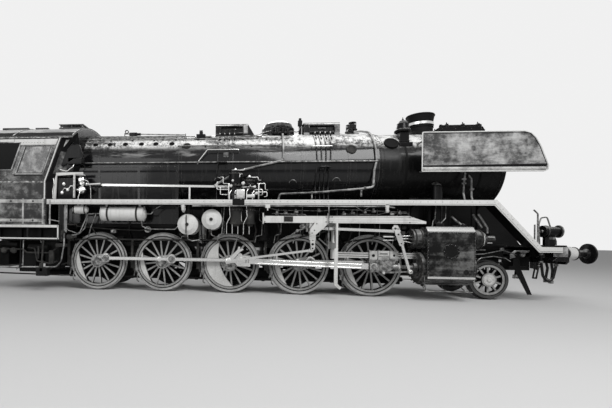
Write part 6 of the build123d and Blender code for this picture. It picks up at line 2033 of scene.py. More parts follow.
# Wheels, rods and crossheads
@dataclass
class Wheels:
    """Weight plates, joint rings, hub covers and nuts, which turn with each wheelset.

    Args:
        centres: X of the coupled axles, front to rear.
        axle_z: height of the coupled axles.
        throw: crank radius.
        cranks: angle of each side's crank pin in the drawing, in degrees.
        rim_face: distance of the wheel rims' outer face from the middle plane.
        tyre_face: the same of the tyres.
        hub_face: the same of the hubs.
        cap_face: the same of the crank pins' caps.
        lead_x: X of the leading axle.
        lead_z: height of the leading axle.
        lead_rim: distance of the leading wheels' outer face from the middle plane.
        lead_hub: the same of their hubs.
    """

    centres: tuple[float, ...] = (3300.0, 1650.0, 0.0, -1650.0, -3300.0)
    axle_z: float = 700.0
    throw: float = 260.0
    cranks: dict[Side, float] = field(default_factory=lambda: {Side.RIGHT: 17.7, Side.LEFT: 107.7})
    rim_face: float = 812.0
    tyre_face: float = 820.0
    hub_face: float = 872.0
    cap_face: float = 990.0
    lead_x: float = 5900.0
    lead_z: float = 425.0
    lead_rim: float = 820.0
    lead_hub: float = 835.0

    def pin(self, side: Side) -> tuple[float, float]:
        """X of a side's crank pin from its axle, and its height."""
        turn = math.radians(self.cranks[side])
        return self.throw * math.cos(turn), self.axle_z + self.throw * math.sin(turn)

    def weight(self, chord: float, edge_r: float, reach: float, inset: float) -> list[tuple[float, float]]:
        """Crescent's outline in the crank's own frame, X toward the pin."""
        middle = edge_r - chord
        far = edge_r + inset
        tip_x = (reach**2 + middle**2 - far**2) / (2 * middle)
        tip_z = math.sqrt(reach**2 - tip_x**2)
        start = math.atan2(tip_z, tip_x)
        outer = [start + (2 * math.pi - 2 * start) * n / 24 for n in range(25)]
        bend = math.atan2(tip_z, middle - tip_x)
        inner = [-bend + 2 * bend * n / 16 for n in range(1, 16)]
        return ([(reach * math.cos(t), reach * math.sin(t)) for t in outer]
                + [(middle - far * math.cos(t), far * math.sin(t)) for t in inner])

    def turned(self, path: Sequence[tuple[float, float]], x: float, z: float,
               angle: float) -> list[tuple[float, float]]:
        """The path turned about the axle and moved to it."""
        c, s = math.cos(math.radians(angle)), math.sin(math.radians(angle))
        return [(x + a * c - b * s, z + a * s + b * c) for a, b in path]

    def coupled(self, shop: Shop, number: int, x: float) -> None:
        """Everything on one coupled wheelset."""
        body = f"wheelset_{number}"
        driven = number == 3
        chord, edge_r = (225.0, 1150.0) if driven else (440.0, 2400.0)
        plates, rings, hubs, nuts = shop.shape(), shop.shape(), shop.shape(), shop.shape()
        bolts = Studs(shop, Head.BOLT, 10)
        for side, angle in self.cranks.items():
            sign = side.value
            out = (0, sign, 0)
            path = self.turned(self.weight(chord, edge_r, 562, 9), x, self.axle_z, angle)
            plates.prism(path, Axis.Y, *side.span(self.rim_face - 2, self.rim_face + 5), 2)
            for low, high, face in ((621, 645, self.tyre_face), (566, 576, self.rim_face)):
                rings.band(-2, 3, low, high, (x, sign * face, self.axle_z), out, 72)
            r = 178 if driven else 140
            hubs.spin([(-2, 0), (-2, r), (3, r), (6, r - 8), (6, r - 44), (2, r - 50), (2, 46), (7, 40),
                       (7, 16), (3, 12), (3, 0)], (x, sign * self.hub_face, self.axle_z), out, 40)
            px, pz = self.pin(side)
            pin = (x + px, sign * self.cap_face, pz)
            if not driven:
                nuts.spin([(-1, 0), (-1, 76), (3, 72), (3, 50), (-1, 46), (-1, 0)], pin, out, 32)
                tall = 4 if number == 1 else 15
                nuts.peg(-1, tall, 44, 40, pin, out, 6)
            bolts.ring((x, sign * (self.hub_face + 2), self.axle_z), r - 26, 10, Axis.Y, sign)
            bolts.ring((x, sign * (self.rim_face + 1), self.axle_z), 596, 16, Axis.Y, sign, math.pi / 16)
        shop.add(f"weight_plates_{number}", plates, Finish.PALE, body)
        shop.add(f"joint_rings_{number}", rings, Finish.BLACK, body)
        shop.add(f"hub_covers_{number}", hubs, Finish.WORN, body)
        if not driven:
            shop.add(f"pin_nuts_{number}", nuts, Finish.WORN, body)
        bolts.radius = 4.0 if number == 1 else 5.0
        bolts.make(f"wheel_bolts_{number}", Finish.WHEEL, body)

    def leading(self, shop: Shop) -> None:
        """Rings and hub covers of the leading wheels."""
        rings, hubs = shop.shape(), shop.shape()
        for side in Side:
            sign = side.value
            rings.band(-2, 3, 346, 366, (self.lead_x, sign * self.lead_rim, self.lead_z), (0, sign, 0), 56)
            hubs.spin([(-2, 0), (-2, 128), (8, 124), (8, 84), (4, 78), (4, 52), (22, 46), (26, 30), (26, 0)],
                      (self.lead_x, sign * self.lead_hub, self.lead_z), (0, sign, 0), 32)
            for n in range(6):
                t = 2 * math.pi * n / 6
                spot = (self.lead_x + 104 * math.cos(t), sign * 842, self.lead_z + 104 * math.sin(t))
                hubs.peg(-1, 10, 12, 11, spot, (0, sign, 0), 6)
        shop.add("leading_rings", rings, Finish.BLACK, "leading_wheelset")
        shop.add("leading_hub_covers", hubs, Finish.PALE, "leading_wheelset")

    def build(self, shop: Shop) -> None:
        """Make every piece on the wheels."""
        for number, x in enumerate(self.centres, start=1):
            self.coupled(shop, number, x)
        self.leading(shop)


@dataclass
class Rods:
    """Pins, keys, oil cups and grooves of the rods, crossheads and guide bars.

    Args:
        wheels: the wheels that they join.
        side_face: distance of the side rods' outer face from the middle plane.
        main_face: the same of the main rods.
        cross_x: X of the right crosshead's pin.
        web_face: outer face of the return cranks.
        shoe_face: outer face of the crossheads.
        bar_y: distance of the guide bars' middle from the middle plane.
    """

    wheels: Wheels = field(default_factory=Wheels)
    side_face: float = 965.0
    main_face: float = 1130.0
    cross_x: float = 3251.0
    web_face: float = 1186.0
    shoe_face: float = 1169.0
    bar_y: float = 1085.0

    def cross_pin(self, side: Side) -> float:
        """Crosshead pin's X for that side's crank."""
        a = math.radians(self.wheels.cranks[Side.RIGHT])
        length = math.hypot(self.cross_x - self.wheels.throw * math.cos(a), self.wheels.throw * math.sin(a))
        b = math.radians(self.wheels.cranks[side])
        return self.wheels.throw * math.cos(b) + math.sqrt(length**2 - (self.wheels.throw * math.sin(b))**2)

    def side_rod(self, shop: Shop, side: Side) -> None:
        """Eye bolts, knuckle caps and oil cups of one side rod, and dark lines of painted shade along its
        fluting.
        """
        sign, name = side.value, side.name.lower()
        px, pz = self.wheels.pin(side)
        shape = shop.shape()
        bolts = Studs(shop, Head.BOLT, 9)
        for n, x in enumerate(self.wheels.centres):
            for dx in (-80, 80):
                for dz in (-66, 66):
                    bolts.put((x + px + dx, sign * self.side_face, pz + dz), (0, sign, 0))
            shape.spin([(-2, 0), (-2, 14), (14, 16), (20, 10), (20, 0)], (x + px, sign * 925, pz + 113), UP,
                       14)
            if 0 < n < 4:
                spot = (x + px - 300, sign * self.side_face, pz)
                shape.spin([(-2, 0), (-2, 52), (4, 50), (6, 34), (6, 0)], spot, (0, sign, 0), 28)
        shop.add(f"side_rod_caps_{name}", shape, Finish.BRIGHT, f"side_rods_{name}")
        bolts.make(f"side_rod_bolts_{name}", Finish.WORN, f"side_rods_{name}")
        # Thin black strips: painted shade along the rod's fluting.
        lines = shop.shape()
        stops = sorted([x + px for x in self.wheels.centres])
        for x0, x1 in zip(stops, stops[1:]):
            for dz in (-37, 34):
                lines.box((x0 + 112, x1 - 112), side.span(self.side_face - 2, self.side_face + 0.6),
                          (pz + dz, pz + dz + 4))
        shop.add(f"side_rod_lines_{name}", lines, Finish.BLACK, f"side_rods_{name}")

    def main_rod(self, shop: Shop, side: Side) -> None:
        """Keys, bolts, oil cup and edge lines of one main rod, and caps of its return crank."""
        sign, name = side.value, side.name.lower()
        body = f"main_rod_{name}"
        px, pz = self.wheels.pin(side)
        cx = self.cross_pin(side)
        run = Vector((cx - px, 0, self.wheels.axle_z - pz)).normalized()
        up = Vector((-run.z, 0, run.x))
        pin = Vector((px, 0, pz))

        def spot(along: float, high: float, y: float) -> Vector:
            """Place along and above the rod's line."""
            return pin + run * along + up * high + Vector((0, sign * y, 0))

        shape = shop.shape()
        for high in (-70, 0, 70):
            shape.peg(-2, 10, 13, 12, spot(222, high, self.main_face), (0, sign, 0), 6)
        for along, high in ((-96, 60), (-96, -60), (60, 106), (60, -106), (180, 108), (180, -108)):
            shape.peg(-2, 9, 12, 11, spot(along, high, self.main_face), (0, sign, 0), 6)
        shape.spin([(-4, 0), (-4, 26), (18, 28), (26, 14), (26, 0)], spot(0, 160, 1085), up, 18)
        far = (Vector((cx, 0, self.wheels.axle_z)) - pin).length
        shape.spin([(-2, 0), (-2, 74), (5, 70), (5, 56), (-2, 54), (-2, 0)], spot(far, 0, self.main_face),
                   (0, sign, 0), 32)
        for edge in (41, -41):
            shape.rod(spot(340, edge, self.main_face - 2), spot(far - 260, edge, self.main_face - 2), 5, 8)
        shop.add(f"main_rod_keys_{name}", shape, Finish.BRIGHT, body)
        web = shop.shape()
        arm = math.radians(self.wheels.cranks[side] - self.wheels.cranks[Side.RIGHT])
        tip = pin + Vector((-265 * math.cos(arm), 0, -265 * math.sin(arm)))
        web.spin([(-2, 0), (-2, 84), (5, 80), (8, 50), (8, 0)], pin + Vector((0, sign * self.web_face, 0)),
                 (0, sign, 0), 32)
        web.peg(8, 20, 28, 26, pin + Vector((0, sign * self.web_face, 0)), (0, sign, 0), 6)
        middle = pin.lerp(tip, 0.52)
        web.peg(-2, 10, 20, 18, middle + Vector((0, sign * self.web_face, 0)), (0, sign, 0), 6)
        shop.add(f"return_crank_caps_{name}", web, Finish.BRIGHT, body)

    def crosshead(self, shop: Shop, side: Side) -> None:
        """Cover plates, bolt groups and pin ring of one crosshead, with dark discs and a strip of painted
        shade for its holes and slot.
        """
        sign, name = side.value, side.name.lower()
        body = f"crosshead_{name}"
        cx = self.cross_pin(side)
        x0 = 3150 + cx - self.cross_x
        near, far = self.shoe_face - 2, self.shoe_face + 7
        plate, dark = shop.shape(), shop.shape()
        for a, b, low, high in ((6, 172, 862, 1050), (196, 430, 938, 1056), (452, 618, 880, 1050),
                                (196, 430, 862, 914)):
            plate.box((x0 + a, x0 + b), side.span(near, far), (low, high), 3)
        # Flat black discs and strip: painted shade of the holes and slot.
        for x, z, r in ((88, 952, 34), (534, 960, 28)):
            dark.peg(-1, 3, r, r, (x0 + x, sign * far, z), (0, sign, 0), 24)
        dark.box((x0 + 230, x0 + 396), side.span(far - 1, far + 2), (982, 1004), 0)
        bolts = Studs(shop, Head.BOLT, 10)
        for xs, zs in (((30, 148), (886, 1026)), ((222, 404), (1034, 954)), ((474, 594), (902, 1026))):
            for x in xs:
                for z in zs:
                    bolts.put((x0 + x, sign * far, z), (0, sign, 0))
        for x in (40, 130, 250, 330, 500, 590):
            bolts.put((x0 + x, sign * self.bar_y, 1066), UP)
        plate.spin([(-2, 58), (-2, 80), (8, 76), (8, 58), (-2, 58)],
                   (cx, sign * self.shoe_face, self.wheels.axle_z), (0, sign, 0), 36)
        plate.peg(2, 16, 44, 40, (cx, sign * (self.shoe_face + 2), self.wheels.axle_z), (0, sign, 0), 6)
        for dx in (-72, 56):
            for dz in (-52, 58):
                bolts.put((cx + dx, sign * self.shoe_face, self.wheels.axle_z + dz), (0, sign, 0))
        plate.band(-3, 26, 60, 84, (cx + 546, sign * self.bar_y, self.wheels.axle_z), AHEAD, 28)
        plate.box((cx + 200, cx + 222), side.span(1135, 1180), (700, 800), 4)
        shop.add(f"crosshead_plates_{name}", plate, Finish.RUBBED, body)
        shop.add(f"crosshead_holes_{name}", dark, Finish.BLACK, body)
        bolts.make(f"crosshead_bolts_{name}", Finish.BRIGHT, body)
        caps = shop.shape()
        for x, z, r in ((195, 575, 30), (722, 608, 26)):
            caps.spin([(-2, 0), (-2, r), (6, r - 3), (6, 12), (14, 10), (14, 0)], (cx + x, sign * 1231, z),
                      (0, sign, 0), 20)
        shop.add(f"union_link_caps_{name}", caps, Finish.BRIGHT, body)

    def bars(self, shop: Shop) -> None:
        """Dark strips of painted shade for the grooves along the guide bars, and the bars' end bolts."""
        # Flush black strips: painted shade of the grooves.
        dark = shop.shape()
        for low, high in ((925, 941), (972, 990)):
            dark.box((2480, 4160), (-1135.35, -1133), (low, high))
        dark.box((2480, 4160), (-1135.35, -1133), (1008, 1012))
        shop.add("guide_grooves", dark.mirror(), Finish.BLACK)
        bolts = Studs(shop, Head.BOLT, 12)
        for x in (2440, 2460):
            bolts.put((x, -1135, 930), TO_RIGHT).put((x, -1135, 990), TO_RIGHT)
        for x in (2500, 2560, 4110, 4150):
            bolts.put((x, -self.bar_y, 1020), UP)
        bolts.mirror().make("guide_bolts", Finish.WORN)

    def build(self, shop: Shop) -> None:
        """Make every piece on the rods and crossheads."""
        for side in Side:
            self.side_rod(shop, side)
            self.main_rod(shop, side)
            self.crosshead(shop, side)
        self.bars(shop)


@dataclass
class ValveGear:
    """Gusset, link plates, bolts and small levers of the valve gear and its carrier.

    Args:
        link_x: X of the expansion link's pivot.
        link_z: height of that pivot.
        carrier_face: distance of the carrier beam's outer face from the middle plane.
    """

    link_x: float = 1860.0
    link_z: float = 1340.0
    carrier_face: float = 1425.0

    def carrier(self, shop: Shop) -> None:
        """Pale gusset, strap plates, blank label box and bolts on the carrier beam."""
        y = -self.carrier_face
        pale = shop.shape()
        pale.prism([(2172, 1832), (2172, 1640), (1908, 1400), (1790, 1400), (1790, 1530), (1890, 1668),
                    (1890, 1700)], Axis.Y, y - 10, y + 2, 2)
        pale.box((742, 766), (y - 12, y + 20), (1636, 1884), 3)
        pale.box((2160, 2186), (y - 22, y + 4), (1640, 1880), 2)
        shop.add("carrier_gusset", pale.mirror(), Finish.PALE)
        box = shop.shape()
        box.box((1212, 1412), (y - 16, y + 4), (1690, 1810), 6)
        box.box((1268, 1356), (y - 24, y - 10), (1728, 1776), 4)
        for x in (1226, 1398):
            for z in (1704, 1796):
                box.peg(-2, 12, 13, 12, (x, y - 16, z), TO_RIGHT, 10)
        shop.add("carrier_box", box.mirror(), Finish.CASTING)
        lines = shop.shape()
        lines.prism([(2196, 1806), (3980, 1806), (4000, 1798), (2196, 1798)], Axis.Y, y - 1.5, y + 1)
        for low, high, x0, x1 in ((1690, 1694, 2196, 4060), (1737, 1740, 2196, 4120)):
            lines.box((x0, x1), (y - 1.5, y + 1), (low, high))
        lines.box((2150, 2154), (y - 11, y + 1), (1500, 1640))
        shop.add("carrier_lines", lines.mirror(), Finish.WORN)
        bolts = Studs(shop, Head.BOLT, 13)
        for x in (2203, 2260, 3900, 790):
            for z in (1690, 1800):
                bolts.put((x, y, z), TO_RIGHT)
        for x, z in ((1830, 1440), (1880, 1500), (2130, 1800), (2130, 1690), (1930, 1650)):
            bolts.put((x, y - 10, z), TO_RIGHT)
        bolts.mirror().make("carrier_bolts", Finish.CASTING)

    def link(self, shop: Shop) -> None:
        """Outer plate and bolts of the expansion link, dark discs of painted shade where its slot is, and the
        lifting gear above it.
        """
        plate = shop.shape()
        x, z = self.link_x, self.link_z
        plate.spin([(-2, 0), (-2, 78), (10, 74), (16, 48), (16, 30), (6, 26), (6, 0)],
                   (x - 8, -1330, z + 110), TO_RIGHT, 32)
        plate.prism([(x - 52, z + 10), (x + 52, z + 10), (x + 62, z - 120), (x + 60, z - 262),
                     (x + 20, z - 300), (x - 28, z - 270), (x - 46, z - 120)], Axis.Y, -1334, -1322, 4)
        plate.box((x - 30, x + 40), (-1420, -1300), (z + 60, z + 150), 10)
        shop.add("link_plates", plate.mirror(), Finish.BRIGHT)
        # Flat black discs: painted shade of the link's slot.
        slot_shade = shop.shape()
        for dz, r in ((-50, 24), (-150, 28), (-242, 18)):
            slot_shade.peg(-1, 3, r, r, (x + 6, -1334, z + dz), TO_RIGHT, 20)
        shop.add("link_holes", slot_shade.mirror(), Finish.BLACK)
        gear = shop.shape()
        gear.rod((x - 250, -1300, z + 250), (x + 20, -1300, z + 310), 22, 12)
        gear.rod((x - 330, -1290, z + 150), (x - 60, -1300, z + 250), 18, 12)
        gear.rod((x - 330, -1290, z + 150), (x - 470, -1270, z + 40), 18, 12)
        gear.peg(-22, 22, 52, 52, (x - 200, -1310, z + 262), TO_RIGHT, 20)
        gear.box((x - 140, x - 90), (-1330, -1290), (z + 130, z + 330), 8)
        gear.rod((x + 120, -1320, z + 250), (x + 20, -1320, z - 40), 20, 12)
        gear.rod((x + 150, -1300, z - 20), (x + 420, -1290, z - 260), 16, 10)
        for dx, dz in ((-250, 250), (120, 250), (-60, 250), (-330, 150)):
            gear.peg(-26, 26, 34, 34, (x + dx, -1306, z + dz), TO_RIGHT, 18)
        shop.add("lifting_gear", gear.mirror(), Finish.WORN)

    def lever(self, shop: Shop) -> None:
        """Pins, forks and cast heads of the combination lever, and caps of the eccentric rod."""
        bright = shop.shape()
        for x, z, r in ((3636, 1560, 62), (3700, 1430, 54), (3765, 1230, 40), (3975, 612, 46),
                        (3690, 1550, 40)):
            bright.spin([(-30, 0), (-30, r), (4, r), (8, r - 10), (8, r * 0.45), (20, r * 0.4), (20, 0)],
                        (x, -1325, z), TO_RIGHT, 24)
        bright.prism([(3596, 1640), (3690, 1640), (3740, 1480), (3830, 1240), (3800, 1170), (3730, 1180),
                      (3640, 1420)], Axis.Y, -1345, -1328, 5)
        bright.box((3400, 3620), (-1300, -1250), (1364, 1396), 6)
        bright.box((3400, 3620), (-1300, -1250), (1292, 1310), 4)
        bright.rod((3790, -1180, 1400), (4050, -1180, 1400), 20, 14)
        bright.rod((3790, -1220, 1300), (4040, -1220, 1250), 14, 12)
        shop.add("lever_heads", bright.mirror(), Finish.BRIGHT)
        dark = shop.shape()
        for x, z in ((3700, 1430), (3765, 1230), (3975, 612)):
            dark.peg(-1, 3, 17, 16, (x, -1345, z), TO_RIGHT, 16)
        dark.box((3770, 3860), (-1310, -1220), (1420, 1500), 10)
        dark.spin([(0, 0), (0, 44), (16, 48), (60, 44), (60, 0)], (3850, -1260, 1610), DOWN, 18)
        shop.add("lever_cores", dark.mirror(), Finish.CASTING)
        fork = shop.shape()
        cap = [(-10, 0), (-10, 44), (6, 44), (12, 30), (12, 0)]
        fork.spin([(-20, 0), (-20, 60), (6, 60), (12, 44), (12, 20), (24, 18), (24, 0)],
                  (-17.3, -1252, 779), TO_RIGHT, 28)
        fork.spin(cap, (self.link_x, -1252, 1050), TO_RIGHT, 24)
        shop.add("eccentric_caps", fork, Finish.BRIGHT)
        other = shop.shape()
        other.spin(cap, (self.link_x, 1252, 1050), TO_LEFT, 24)
        shop.add("left_link_cap", other, Finish.BRIGHT)

    def above(self, shop: Shop) -> None:
        """Clips, small cranks and pipes between the carrier and the board."""
        pipes = Pipes(shop, 10, 2.0)
        y = -1240
        pipes.run((780, y, 2040), (1100, y, 1960), (2100, y, 1950), (2400, y, 1990), (3900, y, 1930),
                  (4050, y, 1760))
        pipes.run((960, y - 60, 1880), (1700, y - 60, 1860), (1780, y - 60, 1760))
        pipes.run((2500, y, 1880), (3300, y, 1870), (3480, y, 1920), (3960, y, 1900))
        pipes.run((2800, y - 40, 2050), (2960, y - 40, 1940), (3120, y - 40, 2050))
        pipes.run((1650, y - 40, 2140), (1630, y - 40, 1840))
        pipes.mirror().make("carrier_pipes", Finish.WORN)
        small = shop.shape()
        for n, x in enumerate((1040, 1230, 1460, 1980, 2520, 2700, 2980, 3160, 3540, 3720)):
            small.box((x, x + 60 + 14 * (n % 3)), (y - 60, y + 20),
                      (1850 + 22 * (n % 4), 1900 + 22 * (n % 4)), 8)
            small.peg(0, 40, 22, 22, (x + 30, y - 40, 1900 + 22 * (n % 4)), UP, 12)
        shop.add("carrier_clips", small.mirror(), Finish.WORN)

    def build(self, shop: Shop) -> None:
        """Make every piece on the valve gear."""
        self.carrier(shop)
        self.link(shop)
        self.lever(shop)
        self.above(shop)


@dataclass
class Cylinders:
    """Covers, lagging seams, bolts, cocks and pipes of the cylinders and valve chests.

    Args:
        x: X of the cylinder's middle.
        length: length of the lagging.
        side: distance of its flat side from the middle plane.
        y: distance of the cylinder's axis from the middle plane.
        z: height of that axis.
        chest_y: distance of the valve chest's axis from the middle plane.
        chest_z: height of that axis.
        hatch_x: X of the round cover on the flat side.
        hatch_z: height of that cover.
    """

    x: float = 4737.0
    length: float = 970.0
    side: float = 1470.0
    y: float = 1085.0
    z: float = 700.0
    chest_y: float = 1125.0
    chest_z: float = 1340.0
    hatch_x: float = 4735.0
    hatch_z: float = 1075.0

    def lagging(self, shop: Shop) -> None:
        """Round cover with a flat dark disc of painted shade for its recess, edge angles, lips and rivets on
        the flat side.
        """
        x0, x1 = self.x - self.length / 2, self.x + self.length / 2
        cover = shop.shape()
        cover.spin([(-2, 128), (-2, 168), (7, 168), (11, 160), (11, 136), (7, 128), (-2, 128)],
                   (self.hatch_x, -self.side, self.hatch_z), TO_RIGHT, 48)
        cover.spin([(-2, 0), (-2, 60), (6, 58), (8, 44), (8, 0)], (5035, -self.side, 634), TO_RIGHT, 24)
        for x in (x0 + 8, x1 - 22):
            cover.box((x, x + 14), (-self.side - 6, -self.side + 2), (494, 1496), 2)
        shop.add("cylinder_covers", cover.mirror(), Finish.BLACK)
        # Flat near-black disc: painted shade of the recess.
        recess_shade = shop.shape()
        recess_shade.peg(-2, 2, 128, 128, (self.hatch_x, -self.side, self.hatch_z), TO_RIGHT, 40)
        shop.add("cylinder_recess", recess_shade.mirror(), Finish.SOOT)
        lip = shop.shape()
        lip.prism([(-self.side - 7, 486), (-self.side - 7, 530), (-self.side + 2, 534),
                   (-self.side + 2, 486)], Axis.X, x0 + 4, x1 - 4)
        lip.prism([(-self.side - 3, 1492), (-self.side + 4, 1504), (-1384, 1606), (-1378, 1600),
                   (-self.side + 2, 1488)], Axis.X, x0 + 4, x1 - 4)
        shop.add("cylinder_lips", lip.mirror(), Finish.BRIGHT)
        heads = Studs(shop, Head.RIVET, 8)
        for x in (x0 + 15, x1 - 15):
            heads.row((x, -self.side - 6, 560), (x, -self.side - 6, 1460), 13, TO_RIGHT)
        heads.row((x0 + 60, -self.side - 1, 1474), (x1 - 60, -self.side - 1, 1474), 12, TO_RIGHT)
        heads.ring((self.hatch_x, -self.side - 11, self.hatch_z), 148, 12, Axis.Y, -1)
        heads.mirror().make("cylinder_rivets", Finish.WORN)

    def covers(self, shop: Shop) -> None:
        """Rings, bolts and glands on the ends, and the guides ahead of the valve chests."""
        shape = shop.shape()
        for side in Side:
            sign = side.value
            for x, way in ((4189, -1), (5285, 1)):
                shape.spin([(-4, 250), (-4, 330), (10, 326), (14, 300), (10, 250), (-4, 250)],
                           (x - way * 8, sign * self.y, self.z), (way, 0, 0), 48)
            shape.spin([(0, 0), (0, 110), (30, 110), (40, 84), (60, 80), (60, 0)],
                       (5340, sign * self.y, self.z), AHEAD, 36)
            for x, way in ((4044, -1), (5500, 1)):
                shape.band(-60, -30, 216, 226, (x, sign * self.chest_y, self.chest_z), (way, 0, 0), 44)
                shape.band(-180, -160, 216, 224, (x, sign * self.chest_y, self.chest_z), (way, 0, 0), 44)
            shape.spin([(0, 0), (0, 62), (40, 60), (60, 40), (150, 34), (160, 0)],
                       (5640, sign * self.chest_y, self.chest_z), AHEAD, 24)
        shop.add("cylinder_rings", shape, Finish.CASTING)
        bolts = Studs(shop, Head.BOLT, 16)
        for side in Side:
            sign = side.value
            for x, way in ((4178, -1), (5300, 1)):
                bolts.ring((x, sign * self.y, self.z), 350, 18, Axis.X, way)
            bolts.ring((4042, sign * self.chest_y, self.chest_z), 180, 12, Axis.X, -1, 0.2)
        bolts.make("cylinder_bolts", Finish.CASTING)
        bright = shop.shape()
        bright.band(0, 30, 150, 176, (5486, -self.chest_y, self.chest_z), AHEAD, 40)
        bright.rod((5660, -self.chest_y, self.chest_z + 60), (5810, -self.chest_y, self.chest_z + 60), 24, 14)
        bright.rod((5660, -self.chest_y, self.chest_z - 70), (5760, -self.chest_y, self.chest_z - 70), 14, 12)
        shop.add("chest_guides", bright.mirror(), Finish.BRIGHT)

    def pipes(self, shop: Shop) -> None:
        """Relief, oil and drain pipes with their cocks."""
        big = Pipes(shop, 26, 2.6)
        big.run((4912, -1130, 1850), (4990, -1150, 1760), (5110, -1200, 1640), (5130, -1200, 1560))
        big.run((5467, -1130, 1906), (5560, -1130, 1760), (5657, -1130, 1600), (5660, -1130, 1480))
        big.run((5400, -1060, 1900), (5480, -1070, 1760), (5580, -1080, 1600))
        big.mirror().make("relief_pipes", Finish.WORN)
        thin = Pipes(shop, 11, 2.5)
        thin.run((4660, -1200, 1600), (4660, -1200, 1700), (4760, -1180, 1800), (4800, -1120, 2100))
        thin.run((4480, -1180, 1600), (4500, -1180, 1740), (4560, -1140, 1800), (4600, -1100, 2120))
        for x in (4330, 4737, 5140):
            thin.run((x, -1085, 330), (x, -1140, 250), (x + 60, -1180, 190), (x + 160, -1190, 176))
        thin.run((4330, -1200, 330), (4300, -1300, 230), (4240, -1380, 200), (4240, -1380, 560))
        thin.run((4180, -1350, 200), (5240, -1350, 196))
        thin.mirror().make("cylinder_pipes", Finish.WORN)
        box = shop.shape()
        box.box((4540, 4700), (-1240, -1120), (1600, 1690), 12)
        box.spin([(0, 0), (0, 46), (20, 46), (30, 32), (70, 30), (70, 0)], (4620, -1180, 1690), UP, 20)
        box.box((4890, 5060), (-1240, -1150), (1596, 1640), 8)
        box.spin([(0, 0), (0, 52), (50, 56), (84, 40), (90, 0)], (5110, -1200, 1600), (0.3, 0, 1), 20)
        for x in (4330, 4737, 5140):
            box.spin([(0, 0), (0, 36), (46, 36), (60, 24), (60, 0)], (x, -1085, 345), DOWN, 16)
        shop.add("cylinder_cocks", box.mirror(), Finish.BLACK)

    def build(self, shop: Shop) -> None:
        """Make every piece on the cylinders."""
        self.lagging(shop)
        self.covers(shop)
        self.pipes(shop)


@dataclass
class Tanks:
    """Bands, straps, plugs and pipes of the air reservoirs.

    Args:
        long_y: Y of the long reservoir's axis.
        long_z: height of that axis.
        cross: X, height and radius of each reservoir that lies across.
        end: distance of their ends from the middle plane.
    """

    long_y: float = -1240.0
    long_z: float = 1858.0
    cross: tuple[tuple[float, float, float], ...] = ((-969.0, 1613.0, 236.0), (-413.0, 1734.0, 230.0))
    end: float = 1400.0

    def build(self, shop: Shop) -> None:
        """Make every piece on the reservoirs."""
        seams, dark = shop.shape(), shop.shape()
        for x in (-3040, -2560, -2030):
            seams.band(-9, 9, 168, 174, (x, self.long_y, self.long_z), AHEAD, 40)
        for x in (-2880, -2180):
            dark.band(-22, 22, 168, 177, (x, self.long_y, self.long_z), AHEAD, 40)
            dark.box((x - 24, x + 24), (-1260, -1200), (2020, 2090), 4)
        for x in (-3700, -3440):
            dark.band(-14, 14, 98, 105, (x, -1300, 1952), AHEAD, 32)
        dark.box((-1010, -985), (-self.end - 5, -self.end + 10), (1400, 1826), 2)
        for x, z, r in self.cross:
            seams.band(-30, -12, r - 2, r + 4, (x, -self.end + 60, z), TO_RIGHT, 48)
            dark.spin([(-2, 0), (-2, 40), (12, 38), (12, 22), (26, 20), (26, 0)], (x - 10, -self.end, z),
                      TO_RIGHT, 20)
            dark.band(-20, 20, r - 2, r + 6, (x, -1180, z), TO_RIGHT, 48)
            dark.box((x - 18, x + 18), (-1210, -1150), (z + r - 10, 2100), 4)
            dark.spin([(0, 0), (0, 24), (40, 24), (40, 34), (60, 34), (60, 0)], (x - 40, -1340, z - r + 6),
                      DOWN, 14)
        shop.add("tank_seams", seams.mirror(), Finish.PALE)
        shop.add("tank_straps", dark.mirror(), Finish.CASTING)
        pipes = Pipes(shop, 13, 2.4)
        pipes.run((-3400, -1240, 1780), (-3480, -1240, 1500), (-3600, -1240, 1380), (-3700, -1200, 1340))
        pipes.run((-3092, -1240, 1858), (-3200, -1240, 1858), (-3240, -1240, 1740), (-3330, -1220, 1540),
                  (-3400, -1200, 1300))
        pipes.run((-1964, -1240, 1858), (-1850, -1240, 1858), (-1780, -1240, 1960), (-1600, -1220, 2080))
        pipes.run((-969, -1340, 1380), (-960, -1340, 1270), (-860, -1320, 1230), (-700, -1280, 1260),
                  (-640, -1260, 1180))
        pipes.run((-413, -1340, 1500), (-420, -1340, 1380), (-300, -1300, 1320), (-180, -1280, 1400),
                  (-120, -1280, 2060))
        pipes.run((-2100, -1200, 1690), (-2080, -1180, 1560), (-1900, -1160, 1500), (-1300, -1140, 1500),
                  (-1200, -1140, 1600))
        pipes.mirror().make("tank_pipes", Finish.WORN)


